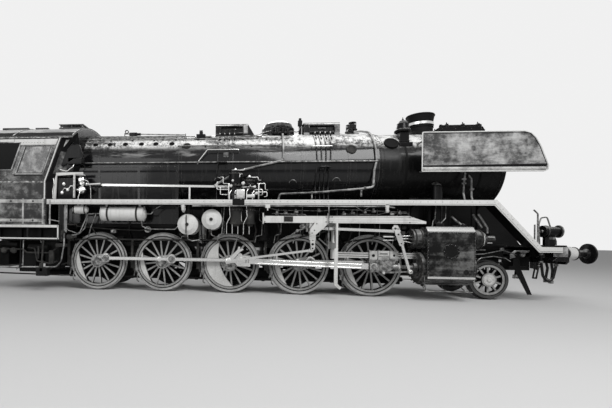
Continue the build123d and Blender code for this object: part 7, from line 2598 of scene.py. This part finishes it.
@dataclass
class Pump:
    """Flanges, bolts, water end, valves and pipes of the feed pump.

    Args:
        y: Y of both barrels.
        tall: X, radius, foot and top of the taller barrel.
        short: the same of the shorter barrel.
    """

    y: float = -1230.0
    tall: tuple[float, float, float, float] = (120.0, 140.0, 2180.0, 2860.0)
    short: tuple[float, float, float, float] = (440.0, 105.0, 2180.0, 2700.0)

    def build(self, shop: Shop) -> None:
        """Make every piece on the pump."""
        rings, bright = shop.shape(), shop.shape()
        bolts = Studs(shop, Head.BOLT, 9)
        for x, r, low, high in (self.tall, self.short):
            for z in (low + 120, (low + high) / 2, high - 70):
                rings.band(-14, 14, r - 4, r + 20, (x, self.y, z), UP, 40)
                bolts.ring((x, self.y, z + 14), r + 10, 12, Axis.Z, 1)
            bright.spin([(0, 0), (0, r - 16), (26, r - 34), (40, 40), (60, 36), (60, 0)],
                        (x, self.y, high - 6), UP, 32)
            rings.spin([(0, 0), (0, r - 10), (110, r - 10), (110, r + 14), (140, r + 14), (140, r - 6),
                        (430, r - 6), (430, r + 16), (460, r + 16), (460, r - 30), (520, 60), (520, 0)],
                       (x + 30, self.y, 2100), DOWN, 36)
            bolts.ring((x + 30, self.y, 1960), r + 6, 12, Axis.Z, -1)
        shop.add("pump_rings", rings, Finish.CASTING)
        bolts.make("pump_bolts", Finish.WORN)
        for x, z, r in ((20, 2500, 34), (60, 2620, 26), (560, 2480, 30), (600, 2330, 36), (300, 2560, 40),
                        (300, 2360, 34)):
            bright.spin([(0, 0), (0, r), (46, r), (52, r - 10), (74, r - 12), (74, 0)], (x, -1330, z),
                        TO_RIGHT, 16)
        bright.box((150, 336), (-1400, -1388), (2210, 2420), 3)
        bright.box((380, 560), (-1410, -1396), (2230, 2300), 3)
        for x in (-40, 640):
            bright.box((x, x + 26), (-1330, -1250), (2180, 2560), 4)
        shop.add("pump_caps", bright, Finish.BRIGHT)
        plate = shop.shape()
        plate.box((196, 292), (-1406, -1398), (2300, 2372), 2)
        plate.box((196, 292), (-1406, -1398), (2236, 2276), 2)
        shop.add("pump_blank_plates", plate, Finish.PALE)
        pipes = Pipes(shop, 11, 2.2)
        spots = ((-60, 2300, -220, 2480), (-40, 2420, -300, 2600), (0, 2560, -160, 2720),
                 (80, 2700, 220, 2780), (560, 2420, 740, 2300), (620, 2560, 800, 2420),
                 (640, 2360, 840, 2260), (470, 2700, 640, 2640), (300, 2480, 460, 2560),
                 (140, 2860, 320, 2900))
        for n, (x0, z0, x1, z1) in enumerate(spots):
            y = self.y - 110 + 26 * (n % 3)
            pipes.run((x0, y, z0), (x1, y, z0 + 6), (x1, y, z1), (x1 + (60 if n % 2 else -60), y + 40, z1))
        for n in range(5):
            x = -10 + 130 * n
            pipes.run((x, -1370, 2190), (x, -1370, 2330 + 40 * (n % 2)), (x + 40, -1340, 2400 + 40 * (n % 2)))
            pipes.run((x, -1290, 2060), (x + 20, -1290, 1800 - 50 * (n % 3)), (x - 60, -1260, 1640),
                      (x - 60, -1240, 1400))
        pipes.make("pump_pipes", Finish.BRIGHT)


@dataclass
class Underside:
    """Sheets, drums, pipes, springs and rods round the frame and under the boards.

    Args:
        sheet_y: distance of the dark sheets from the middle plane.
        axles: X of the coupled axles, front to rear.
    """

    sheet_y: float = 520.0
    axles: tuple[float, ...] = Wheels.centres

    def sheets(self, shop: Shop) -> None:
        """Dark side sheets standing in for the shade between the frame and the boiler, with ribs, hatches and
        rivets.
        """
        # Near-black sheets: a dark stand-in for the shade under the boiler and the cab.
        shape = shop.shape()
        y = self.sheet_y
        shape.prism([(-1330, 1170), (4290, 1170), (4290, 2230), (-1330, 2230)], Axis.Y, -y, -y + 12)
        shape.prism([(4290, 1170), (6820, 1170), (6780, 1230), (6140, 2140), (4290, 2200)], Axis.Y, -y + 20,
                    -y + 32)
        shape.prism([(-6060, 600), (-3900, 600), (-3900, 1170), (-4000, 1600), (-6060, 1600)], Axis.Y,
                    -y - 26, -y - 14)
        for n in range(19):
            x = -1240 + 300 * n
            shape.box((x, x + 22), (-y - 34, -y + 2), (1180, 2210), 3)
        for z in (1196, 1700, 2180):
            shape.box((-1320, 4280), (-y - 20, -y + 2), (z, z + 30), 3)
        for n in range(14):
            x = 1810 + 46 * n
            shape.box((x, x + 12), (-y - 60, -y - 30), (1300, 1680), 0)
        for x, low, high in ((-900, 1330, 1560), (2800, 1320, 1620), (500, 1300, 1480), (4000, 1300, 1600)):
            shape.box((x - 120, x + 120), (-y - 60, -y), (low, high), 10)
            shape.peg(0, 30, 40, 36, (x + 80, -y - 58, (low + high) / 2), TO_RIGHT, 16)
        for x in (4700, 5200, 5700):
            shape.box((x, x + 22), (-y - 8, -y + 22), (1180, 2090), 3)
        shop.add("inner_sheets", shape.mirror(), Finish.SOOT)
        heads = Studs(shop, Head.RIVET, 11)
        for z in (1211, 2195):
            heads.row((-1290, -y - 20, z), (4250, -y - 20, z), 48, TO_RIGHT)
        heads.row((4330, -y + 20, 1200), (6700, -y + 20, 1200), 22, TO_RIGHT)
        heads.mirror().make("inner_rivets", Finish.CASTING)

    def drums(self, shop: Shop) -> None:
        """Drums, boxes and pipes under the boards and the cab."""
        dark = shop.shape()
        for x, y, z, r, long in ((-150, -500, 1240, 150, 480), (820, -760, 1250, 120, 420),
                                 (2476, -760, 1260, 130, 380)):
            dark.spin([(0, 0), (0, r), (30, r + 22), (60, r + 22), (60, r), (long - 60, r),
                       (long - 60, r + 22), (long - 30, r + 22), (long, r - 40), (long, 0)], (x, y, z), UP,
                      32)
        dark.drum(120, Axis.X, (700, -700, 1960), 3300, 20, 28)
        dark.drum(70, Axis.X, (-1200, -880, 2060), 5300, 10, 22)
        dark.drum(60, Axis.X, (5340, -760, 1180), 900, 10, 22)
        dark.drum(95, Axis.X, (5300, -640, 1480), 700, 20, 24)
        for x in (900, 1700, 2500, 3300):
            dark.band(-20, 20, 118, 132, (x, -700, 1960), AHEAD, 28)
        for x in (-4080, -4600, -5100, -5640):
            dark.box((x - 60, x + 60), (-1300, -700), (1262, 1500), 12)
        dark.box((-6040, -4080), (-1240, -1210), (1262, 1560), 4)
        dark.drum(84, Axis.X, (-4920, -1150, 1020), 500, 14, 24)
        dark.drum(60, Axis.X, (-5640, -1150, 1080), 420, 14, 24)
        dark.box((-5990, -5440), (-1180, -700), (560, 1180), 20)
        dark.box((-5200, -4760), (-1120, -760), (420, 900), 20)
        dark.box((-4560, -4200), (-1060, -700), (500, 1180), 20)
        shop.add("under_drums", dark.mirror(), Finish.SOOT)
        thin = Pipes(shop, 20, 2.4)
        rows = ((-1180, -1300, 1270, 1230), (-1060, -1200, 1240, 1420), (1180, 2500, 1260, 1560),
                (2700, 3900, 1240, 1500))
        for n, (x0, x1, z0, z1) in enumerate(rows):
            thin.run((x0, -820, z0), (x0 + 200, -840, z0 + 30), (x1 - 80, -840, z1 - 30), (x1, -800, z1))
        thin.run((-3860, -900, 1230), (-3200, -900, 1250), (-1600, -900, 1240), (-900, -880, 1260),
                 (600, -880, 1240))
        thin.run((-5980, -1300, 980), (-5000, -1300, 980), (-4900, -1300, 900), (-4300, -1280, 900),
                 (-4100, -1200, 1100))
        thin.run((-4920, -1220, 1020), (-4700, -1300, 1000), (-4620, -1320, 700), (-4300, -1320, 640),
                 (-4180, -1200, 700))
        thin.run((-5800, -1240, 1080), (-5900, -1300, 900), (-5900, -1300, 620), (-5500, -1300, 560),
                 (-5100, -1200, 600))
        for n in range(9):
            x = -1100 + 560 * n
            thin.run((x, -700, 1230), (x + 60, -760, 1500), (x - 20, -800, 1800), (x - 20, -840, 2160))
        thin.mirror().make("under_pipes", Finish.CASTING)
        small = Pipes(shop, 9, 2.2)
        for n in range(12):
            x = -1200 + 450 * n
            small.run((x, -900, 1200), (x + 30, -900, 1330 + 30 * (n % 3)),
                      (x + 160, -900, 1360 + 30 * (n % 3)), (x + 170, -900, 1700), (x + 100, -900, 1760),
                      (x + 100, -940, 2150))
        small.mirror().make("under_lines", Finish.WORN)

    def low(self, shop: Shop) -> None:
        """Ties, springs, pulls, sand pipe ends and the ashpan's damper gear, below the frame."""
        dark = shop.shape()
        for x in self.axles:
            dark.prism([(x - 300, 470), (x + 300, 470), (x + 300, 520), (x - 300, 520)], Axis.Y, -600, -520,
                       4)
            for leaf in range(6):
                half = 430 - 52 * leaf
                dark.box((x - half, x + half), (-590, -500), (430 - 16 * leaf, 444 - 16 * leaf), 2)
            dark.box((x - 46, x + 46), (-604, -486), (330, 520), 6)
            for end in (-440, 440):
                dark.box((x + end - 18, x + end + 18), (-580, -510), (400, 560), 4)
        for x0, x1 in zip(self.axles[1:], self.axles):
            mid = (x0 + x1) / 2
            dark.prism([(mid - 330, 380), (mid + 330, 380), (mid + 300, 500), (mid - 300, 500)], Axis.Y,
                       -480, -440, 4)
            dark.box((mid - 380, mid + 380), (-430, -400), (250, 520), 8)
        dark.prism([(-3900, 880), (-1500, 880), (-1760, 420), (-3000, 330), (-3500, 420)], Axis.Y, -420, 0, 8)
        dark.drum(60, Axis.X, (-5300, -120, 330), 9600, 10, 20)
        dark.drum(26, Axis.X, (-4100, -640, 300), 8000, 6, 12)
        dark.drum(22, Axis.X, (-5000, -300, 420), 9000, 6, 12)
        for x in (-2475, -825, 825, 2475, 4000):
            dark.box((x - 40, x + 40), (-640, 0), (260, 330), 8)
        shop.add("under_springs", dark.mirror(), Finish.SOOT)
        bars = Pipes(shop, 15, 2.0)
        for x in self.axles:
            bars.run((x - 560, -850, 1130), (x - 640, -860, 900), (x - 660, -870, 560), (x - 700, -870, 360))
            bars.run((x - 520, -640, 1140), (x - 590, -800, 700), (x - 640, -830, 240), (x - 600, -790, 200))
        bars.mirror().make("sand_ends", Finish.WORN)
        rods = Pipes(shop, 18, 2.4)
        rods.run((-6000, -900, 360), (-4200, -900, 330), (-3900, -700, 320))
        rods.run((-5900, -1000, 520), (-4500, -1000, 480), (-4060, -900, 640))
        rods.mirror().make("brake_pulls", Finish.CASTING)
        ring = shop.shape()
        ring.spin([(-60, 40), (-60, 76), (0, 84), (16, 76), (16, 44), (0, 40), (-60, 40)],
                  (-2008, -930, 1500), TO_RIGHT, 32)
        ring.spin([(-50, 0), (-50, 26), (14, 26), (20, 14), (20, 0)], (-2008, -930, 1500), TO_RIGHT, 20)
        ring.box((-2930, -2800), (-960, -860), (1400, 1500), 12)
        ring.peg(0, 18, 34, 32, (-2865, -958, 1450), TO_RIGHT, 18)
        shop.add("ashpan_gear", ring.mirror(), Finish.WORN)
        rods = Pipes(shop, 14, 2.2)
        rods.run((-3820, -960, 1560), (-3000, -960, 1500), (-2200, -960, 1470), (-2020, -960, 1500))
        rods.run((-3500, -980, 1640), (-3380, -980, 1500), (-3300, -960, 1360))
        rods.mirror().make("damper_rods", Finish.CASTING)

    def build(self, shop: Shop) -> None:
        """Make every piece around the frame."""
        self.sheets(shop)
        self.drums(shop)
        self.low(shop)


@dataclass
class Front:
    """Lamps, handrails, hoses, coupling, buffer bolts and steps of the front end.

    Args:
        lamp_y: distance of the lamps from the middle plane.
        lamp_z: height of the lamps.
        lamp_x: rear and front X of a lamp.
        buffer_y: distance of the buffers from the middle plane.
        buffer_z: height of the buffers.
    """

    lamp_y: float = 900.0
    lamp_z: float = 1540.0
    lamp_x: tuple[float, float] = (6950.0, 7300.0)
    buffer_y: float = 875.0
    buffer_z: float = 1055.0

    def lamps(self, shop: Shop) -> None:
        """Rims, glasses and brackets of the lamps, and the rails beside them."""
        rims, glass = shop.shape(), shop.shape()
        for side in Side:
            y = side.value * self.lamp_y
            rims.band(-20, 6, 118, 140, (self.lamp_x[1] - 8, y, self.lamp_z), AHEAD, 44)
            rims.band(-4, 4, 131, 137, (self.lamp_x[0] + 60, y, self.lamp_z), AHEAD, 44)
            rims.spin([(-2, 0), (-2, 40), (-30, 36), (-36, 0)][::-1], (self.lamp_x[0] + 4, y, self.lamp_z),
                      AHEAD, 24)
            glass.spin([(-6, 0), (-6, 118), (0, 118), (5, 80), (7, 0)],
                       (self.lamp_x[1] - 6, y, self.lamp_z), AHEAD, 44)
            rims.box((7060, 7180), (y - 50, y + 50), (1360, 1412), 8)
        shop.add("lamp_rims", rims, Finish.WORN)
        shop.add("lamp_glasses", glass, Finish.LENS)
        rails = Pipes(shop, 15, 3.0)
        rails.run((6900, -900, 1250), (6880, -900, 1700), (6923, -900, 1841), (7047, -900, 1864),
                  (7132, -900, 1597), (7237, -900, 1331), (7240, -900, 1240))
        rails.run((6797, -900, 1250), (6797, -900, 1692))
        rails.run((6500, -1380, 1240), (6500, -1380, 1900), (6420, -1380, 1980))
        rails.mirror().make("front_rails", Finish.WORN)

    def beam(self, shop: Shop) -> None:
        """Buffer seats and sleeves, bolts, coupling, hoses, gussets and deck ribs."""
        bolts = Studs(shop, Head.BOLT, 14)
        seat = shop.shape()
        for side in Side:
            sign = side.value
            seat.box((7296, 7322), side.span(730, 1020), (920, 1190), 10)
            for dy in (-110, 110):
                for dz in (-105, 105):
                    bolts.put((7322, sign * self.buffer_y + dy, self.buffer_z + dz), AHEAD)
            seat.band(0, 24, 129, 146, (7612, sign * self.buffer_y, self.buffer_z), AHEAD, 44)
            seat.spin([(0, 0), (0, 60), (4, 58), (5, 0)], (7928, sign * self.buffer_y, self.buffer_z),
                      AHEAD, 32)
        shop.add("buffer_seats", seat, Finish.CASTING)
        bolts.make("buffer_bolts", Finish.WORN)
        screw = shop.shape()
        for y in (-52, 52):
            screw.rod((7420, y, 1010), (7520, y, 760), 18, 12)
            screw.rod((7520, y, 700), (7470, y, 420), 18, 12)
        screw.rod((7420, -64, 1010), (7420, 64, 1010), 20, 12)
        screw.rod((7520, -72, 760), (7520, 72, 760), 24, 12)
        screw.rod((7520, -72, 700), (7520, 72, 700), 24, 12)
        screw.rod((7470, -60, 420), (7470, 60, 420), 18, 12)
        screw.rod((7520, 0, 820), (7520, 0, 620), 22, 14)
        screw.rod((7520, 0, 730), (7560, 150, 640), 12, 10)
        shop.add("screw_coupling", screw, Finish.CASTING)
        hoses = Pipes(shop, 27, 3.0)
        hoses.run((6862, -1000, 1080), (6859, -1000, 863), (6900, -1000, 560), (7007, -1000, 381),
                  (7110, -1000, 520), (7165, -1000, 780), (7180, -1000, 1000))
        hoses.run((7200, -420, 1000), (7380, -420, 930), (7440, -420, 700), (7400, -420, 430))
        hoses.run((7200, -560, 980), (7400, -560, 900), (7440, -560, 640), (7420, -560, 420))
        hoses.mirror().make("air_hoses", Finish.BLACK)
        heads = shop.shape()
        for y, z in ((-420, 430), (-560, 420)):
            heads.box((7370, 7440), (y - 40, y + 40), (z - 70, z), 12)
            heads.band(0, 30, 30, 44, (7405, y, z), UP, 18)
            heads.peg(0, 50, 40, 40, (7200, y, z + 560), AHEAD, 18)
        for x, z in ((6859, 863), (7165, 800), (6862, 1040)):
            heads.band(-24, 24, 24, 40, (x, -1000, z), UP, 18)
        shop.add("hose_heads", heads.mirror(), Finish.WORN)
        sleeve = shop.shape()
        for side in Side:
            sleeve.spin([(0, 128), (0, 136), (296, 136), (312, 130), (312, 128), (0, 128)],
                        (7324, side.value * self.buffer_y, self.buffer_z), AHEAD, 44)
        shop.add("buffer_sleeves", sleeve, Finish.PALE)
        pale = shop.shape()
        pale.prism([(7010, 1196), (7280, 1196), (7280, 990), (6990, 985)], Axis.Y, -1156, -1146, 3)
        pale.prism([(6400, 905), (6790, 1065), (6820, 1110), (6500, 1110), (6400, 1010)], Axis.Y, -742,
                   -728, 3)
        shop.add("beam_gussets", pale.mirror(), Finish.GREY)
        deck = shop.shape()
        for n in range(9):
            deck.box((6560 + 70 * n, 6590 + 70 * n), (-1380, 1380), (1200, 1206), 1)
        shop.add("deck_ribs", deck, Finish.CASTING)

    def truck(self, shop: Shop) -> None:
        """Arc pipes, springs, stays and caps round the leading wheel."""
        pipes = Pipes(shop, 11, 2.6)
        pipes.run((5560, -960, 860), (5640, -960, 930), (5900, -960, 970), (6160, -960, 930),
                  (6260, -960, 860))
        pipes.run((5360, -960, 1000), (5700, -960, 1020), (6100, -960, 1110), (6380, -960, 1010))
        pipes.mirror().make("arc_pipes", Finish.WORN)
        spring = shop.shape()
        for leaf in range(7):
            half = 420 - 50 * leaf
            spring.box((5900 - half, 5900 + half), (-660, -560), (790 + 16 * leaf, 804 + 16 * leaf), 2)
        spring.box((5850, 5950), (-672, -548), (700, 915), 6)
        for x in (5500, 6300):
            spring.box((x - 20, x + 20), (-640, -580), (700, 830), 4)
        shop.add("truck_springs", spring.mirror(), Finish.SOOT, "truck")
        dark = shop.shape()
        dark.box((5330, 6420), (-500, -450), (945, 1180), 10)
        dark.box((6380, 6960), (-540, -480), (640, 1180), 10)
        dark.drum(70, Axis.Y, (6560, -760, 1010), 260, 10, 24)
        shop.add("front_stays", dark.mirror(), Finish.SOOT)
        caps = shop.shape()
        for x, z, r in ((6560, 1010, 44), (5480, 1080, 50), (6120, 1130, 40)):
            caps.spin([(-40, 0), (-40, r), (10, r), (18, r - 14), (18, 0)], (x, -900, z), TO_RIGHT, 22)
        caps.box((5420, 5760), (-930, -880), (1096, 1124), 6)
        shop.add("truck_caps", caps.mirror(), Finish.WORN)

    def build(self, shop: Shop) -> None:
        """Make every piece at the front."""
        self.lamps(shop)
        self.beam(shop)
        self.truck(shop)


# Finishes of the frame's own nodes
@dataclass
class NodeDress:
    """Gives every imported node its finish.

    Args:
        plan: each finish and the starts of the node names that get it.
    """

    plan: dict[Finish, tuple[str, ...]] = field(default_factory=lambda: {
        Finish.CLADDING: ("boiler_barrel", "firebox", "steam_dome", "sandboxes"),
        Finish.BRIGHT: ("side_rods", "main_rod", "valve_gear", "guide_bars"),
        Finish.WORN: ("crosshead", "handrails"),
        Finish.STAIN: ("cylinders",),
        Finish.SIDING: ("cab_sides", "cab_roof", "cab_door"),
        Finish.TREAD: ("tyres",),
        Finish.LEAD: ("leading_tyres",),
        Finish.WHEEL: ("wheels", "leading_wheels"),
        Finish.PALE: ("air_reservoirs", "motion_frame"),
        Finish.GREY: ("smoke_deflectors",),
        Finish.SMOKE: ("smokebox",),
        Finish.SOOT: ("chimney", "ashpan", "backhead"),
        Finish.CASTING: ("brake_gear", "axle_boxes", "leaf_springs", "truck_frame"),
        Finish.FRAME: ("frame", "running_boards", "cab_supports", "rail_guards"),
        Finish.GLASS: ("cab_glass",),
        Finish.WOOD: ("cab_seats",),
    })

    def finish_of(self, node: str) -> Finish:
        """Longest name in the plan that the node's name starts with decides its finish."""
        fits = [(len(start), finish) for finish, starts in self.plan.items() for start in starts
                if node.startswith(start)]
        return max(fits, key=lambda fit: fit[0])[1] if fits else Finish.BLACK

    def dress(self, nodes: dict[str, bpy.types.Object]) -> None:
        """Assign the finish to each node's object."""
        for name, thing in nodes.items():
            finish = self.finish_of(name)
            if not thing.material_slots:
                thing.data.materials.append(None)
            for slot in thing.material_slots:
                slot.link = "OBJECT"
                slot.material = finish.material()
            LOG.info("%s is %s", name, finish.value.name)


@dataclass
class Studio:
    """Floor, light and the camera at the photograph's angle.

    Args:
        focal_px: focal length in the photograph's pixels.
        centre_px: the point straight ahead, in the photograph's pixels.
        eye: the camera's place in the shared frame, in metres.
        yaw: turn to the left of +Y, in radians.
        roll: turn about the line of sight, in radians.
        sensor: width of the camera's sensor, in millimetres.
        floor_size: length of the floor's sides, in metres.
    """

    focal_px: float = 372.29
    centre_px: tuple[float, float] = (200.0, 239.37)
    eye: Point = (-0.7344, -9.8999, 1.2974)
    yaw: float = 0.09544
    roll: float = 0.01235
    sensor: float = 36.0
    floor_size: float = 160.0

    def camera(self) -> None:
        """Make the camera and give it to the scene."""
        data = bpy.data.cameras.new("camera")
        data.sensor_width = self.sensor
        data.lens = self.sensor * self.focal_px / PHOTO_W
        data.shift_x = (PHOTO_W / 2 - self.centre_px[0]) / PHOTO_W
        data.shift_y = (self.centre_px[1] - PHOTO_H / 2) / PHOTO_W
        data.clip_end = 400.0
        made = in_scene("camera", data)
        turn = Matrix.Rotation(self.yaw, 4, "Z") @ Matrix.Rotation(math.pi / 2, 4, "X")
        made.matrix_world = Matrix.Translation(self.eye) @ turn @ Matrix.Rotation(self.roll, 4, "Z")
        bpy.context.scene.camera = made

    def floor(self) -> None:
        """Pale floor that keeps the engine's shadow."""
        half = self.floor_size / 2
        mesh = bpy.data.meshes.new("floor")
        corners = [(-half, -half, 0), (half, -half, 0), (half, half, 0), (-half, half, 0)]
        mesh.from_pydata(corners, [], [(0, 1, 2, 3)])
        made = in_scene("floor", mesh)
        look = Surface("floor")
        look.set(Base_Color=(0.52, 0.52, 0.52), Roughness=0.85)
        mesh.materials.append(look.material)

    def world(self) -> None:
        """Pale backdrop that the camera, metal and glass see, and a plain light level."""
        world = bpy.data.worlds.new("sky")
        world.use_nodes = True
        graph = Graph(world.node_tree)
        ray = graph.node("ShaderNodeLightPath").outputs
        rays = [Sock(graph, ray[f"Is {kind} Ray"]) for kind in ("Camera", "Glossy", "Transmission")]
        shown = (rays[0] + rays[1] + rays[2]).clip(0.0, 1.0)
        strength = shown * 0.92 + (1.0 - shown) * 0.3
        back = graph.add("ShaderNodeBackground", {}, {"Color": (0.95, 0.95, 0.95, 1.0), "Strength": strength})
        end = graph.node("ShaderNodeOutputWorld")
        world.node_tree.links.new(back.out, end.inputs[0])
        bpy.context.scene.world = world

    def lamp(self, name: str, place: Point, aim: Point, size: float, watts: float) -> None:
        """One soft square lamp."""
        data = bpy.data.lights.new(name, "AREA")
        data.size = size
        data.energy = watts
        made = in_scene(name, data)
        made.location = place
        made.rotation_euler = (Vector(aim) - Vector(place)).to_track_quat("-Z", "Y").to_euler()

    def build(self) -> None:
        """Set the stage."""
        self.camera()
        self.floor()
        self.world()
        self.lamp("key", (5.0, -12.0, 13.0), (0.5, 0.0, 1.5), 8.0, 2300.0)
        self.lamp("fill", (-10.0, -12.0, 7.0), (-2.0, 0.0, 1.5), 10.0, 700.0)
        self.lamp("back", (0.0, 11.0, 12.0), (0.0, 0.0, 2.2), 9.0, 900.0)
        bpy.context.scene.view_settings.view_transform = "Standard"


def main() -> None:
    """Build every sub-assembly in order, then the stage."""
    logging.basicConfig(level=logging.INFO, format="%(name)s: %(message)s")
    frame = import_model()
    drawing = Drawing.from_frame()
    shop = Shop(drawing)
    NodeDress().dress(frame["nodes"])
    parts = (Boiler(), Smokebox(), Deflectors(), Cab(), Boards(), Wheels(), Rods(), ValveGear(), Cylinders(),
             Tanks(), Pump(), Underside(), Front())
    for part in parts:
        part.build(shop)
        LOG.info("%s is built", type(part).__name__)
    Studio().build()
    LOG.info("%d pieces added", shop.count)
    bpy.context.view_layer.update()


if __name__ == "__main__":
    main()
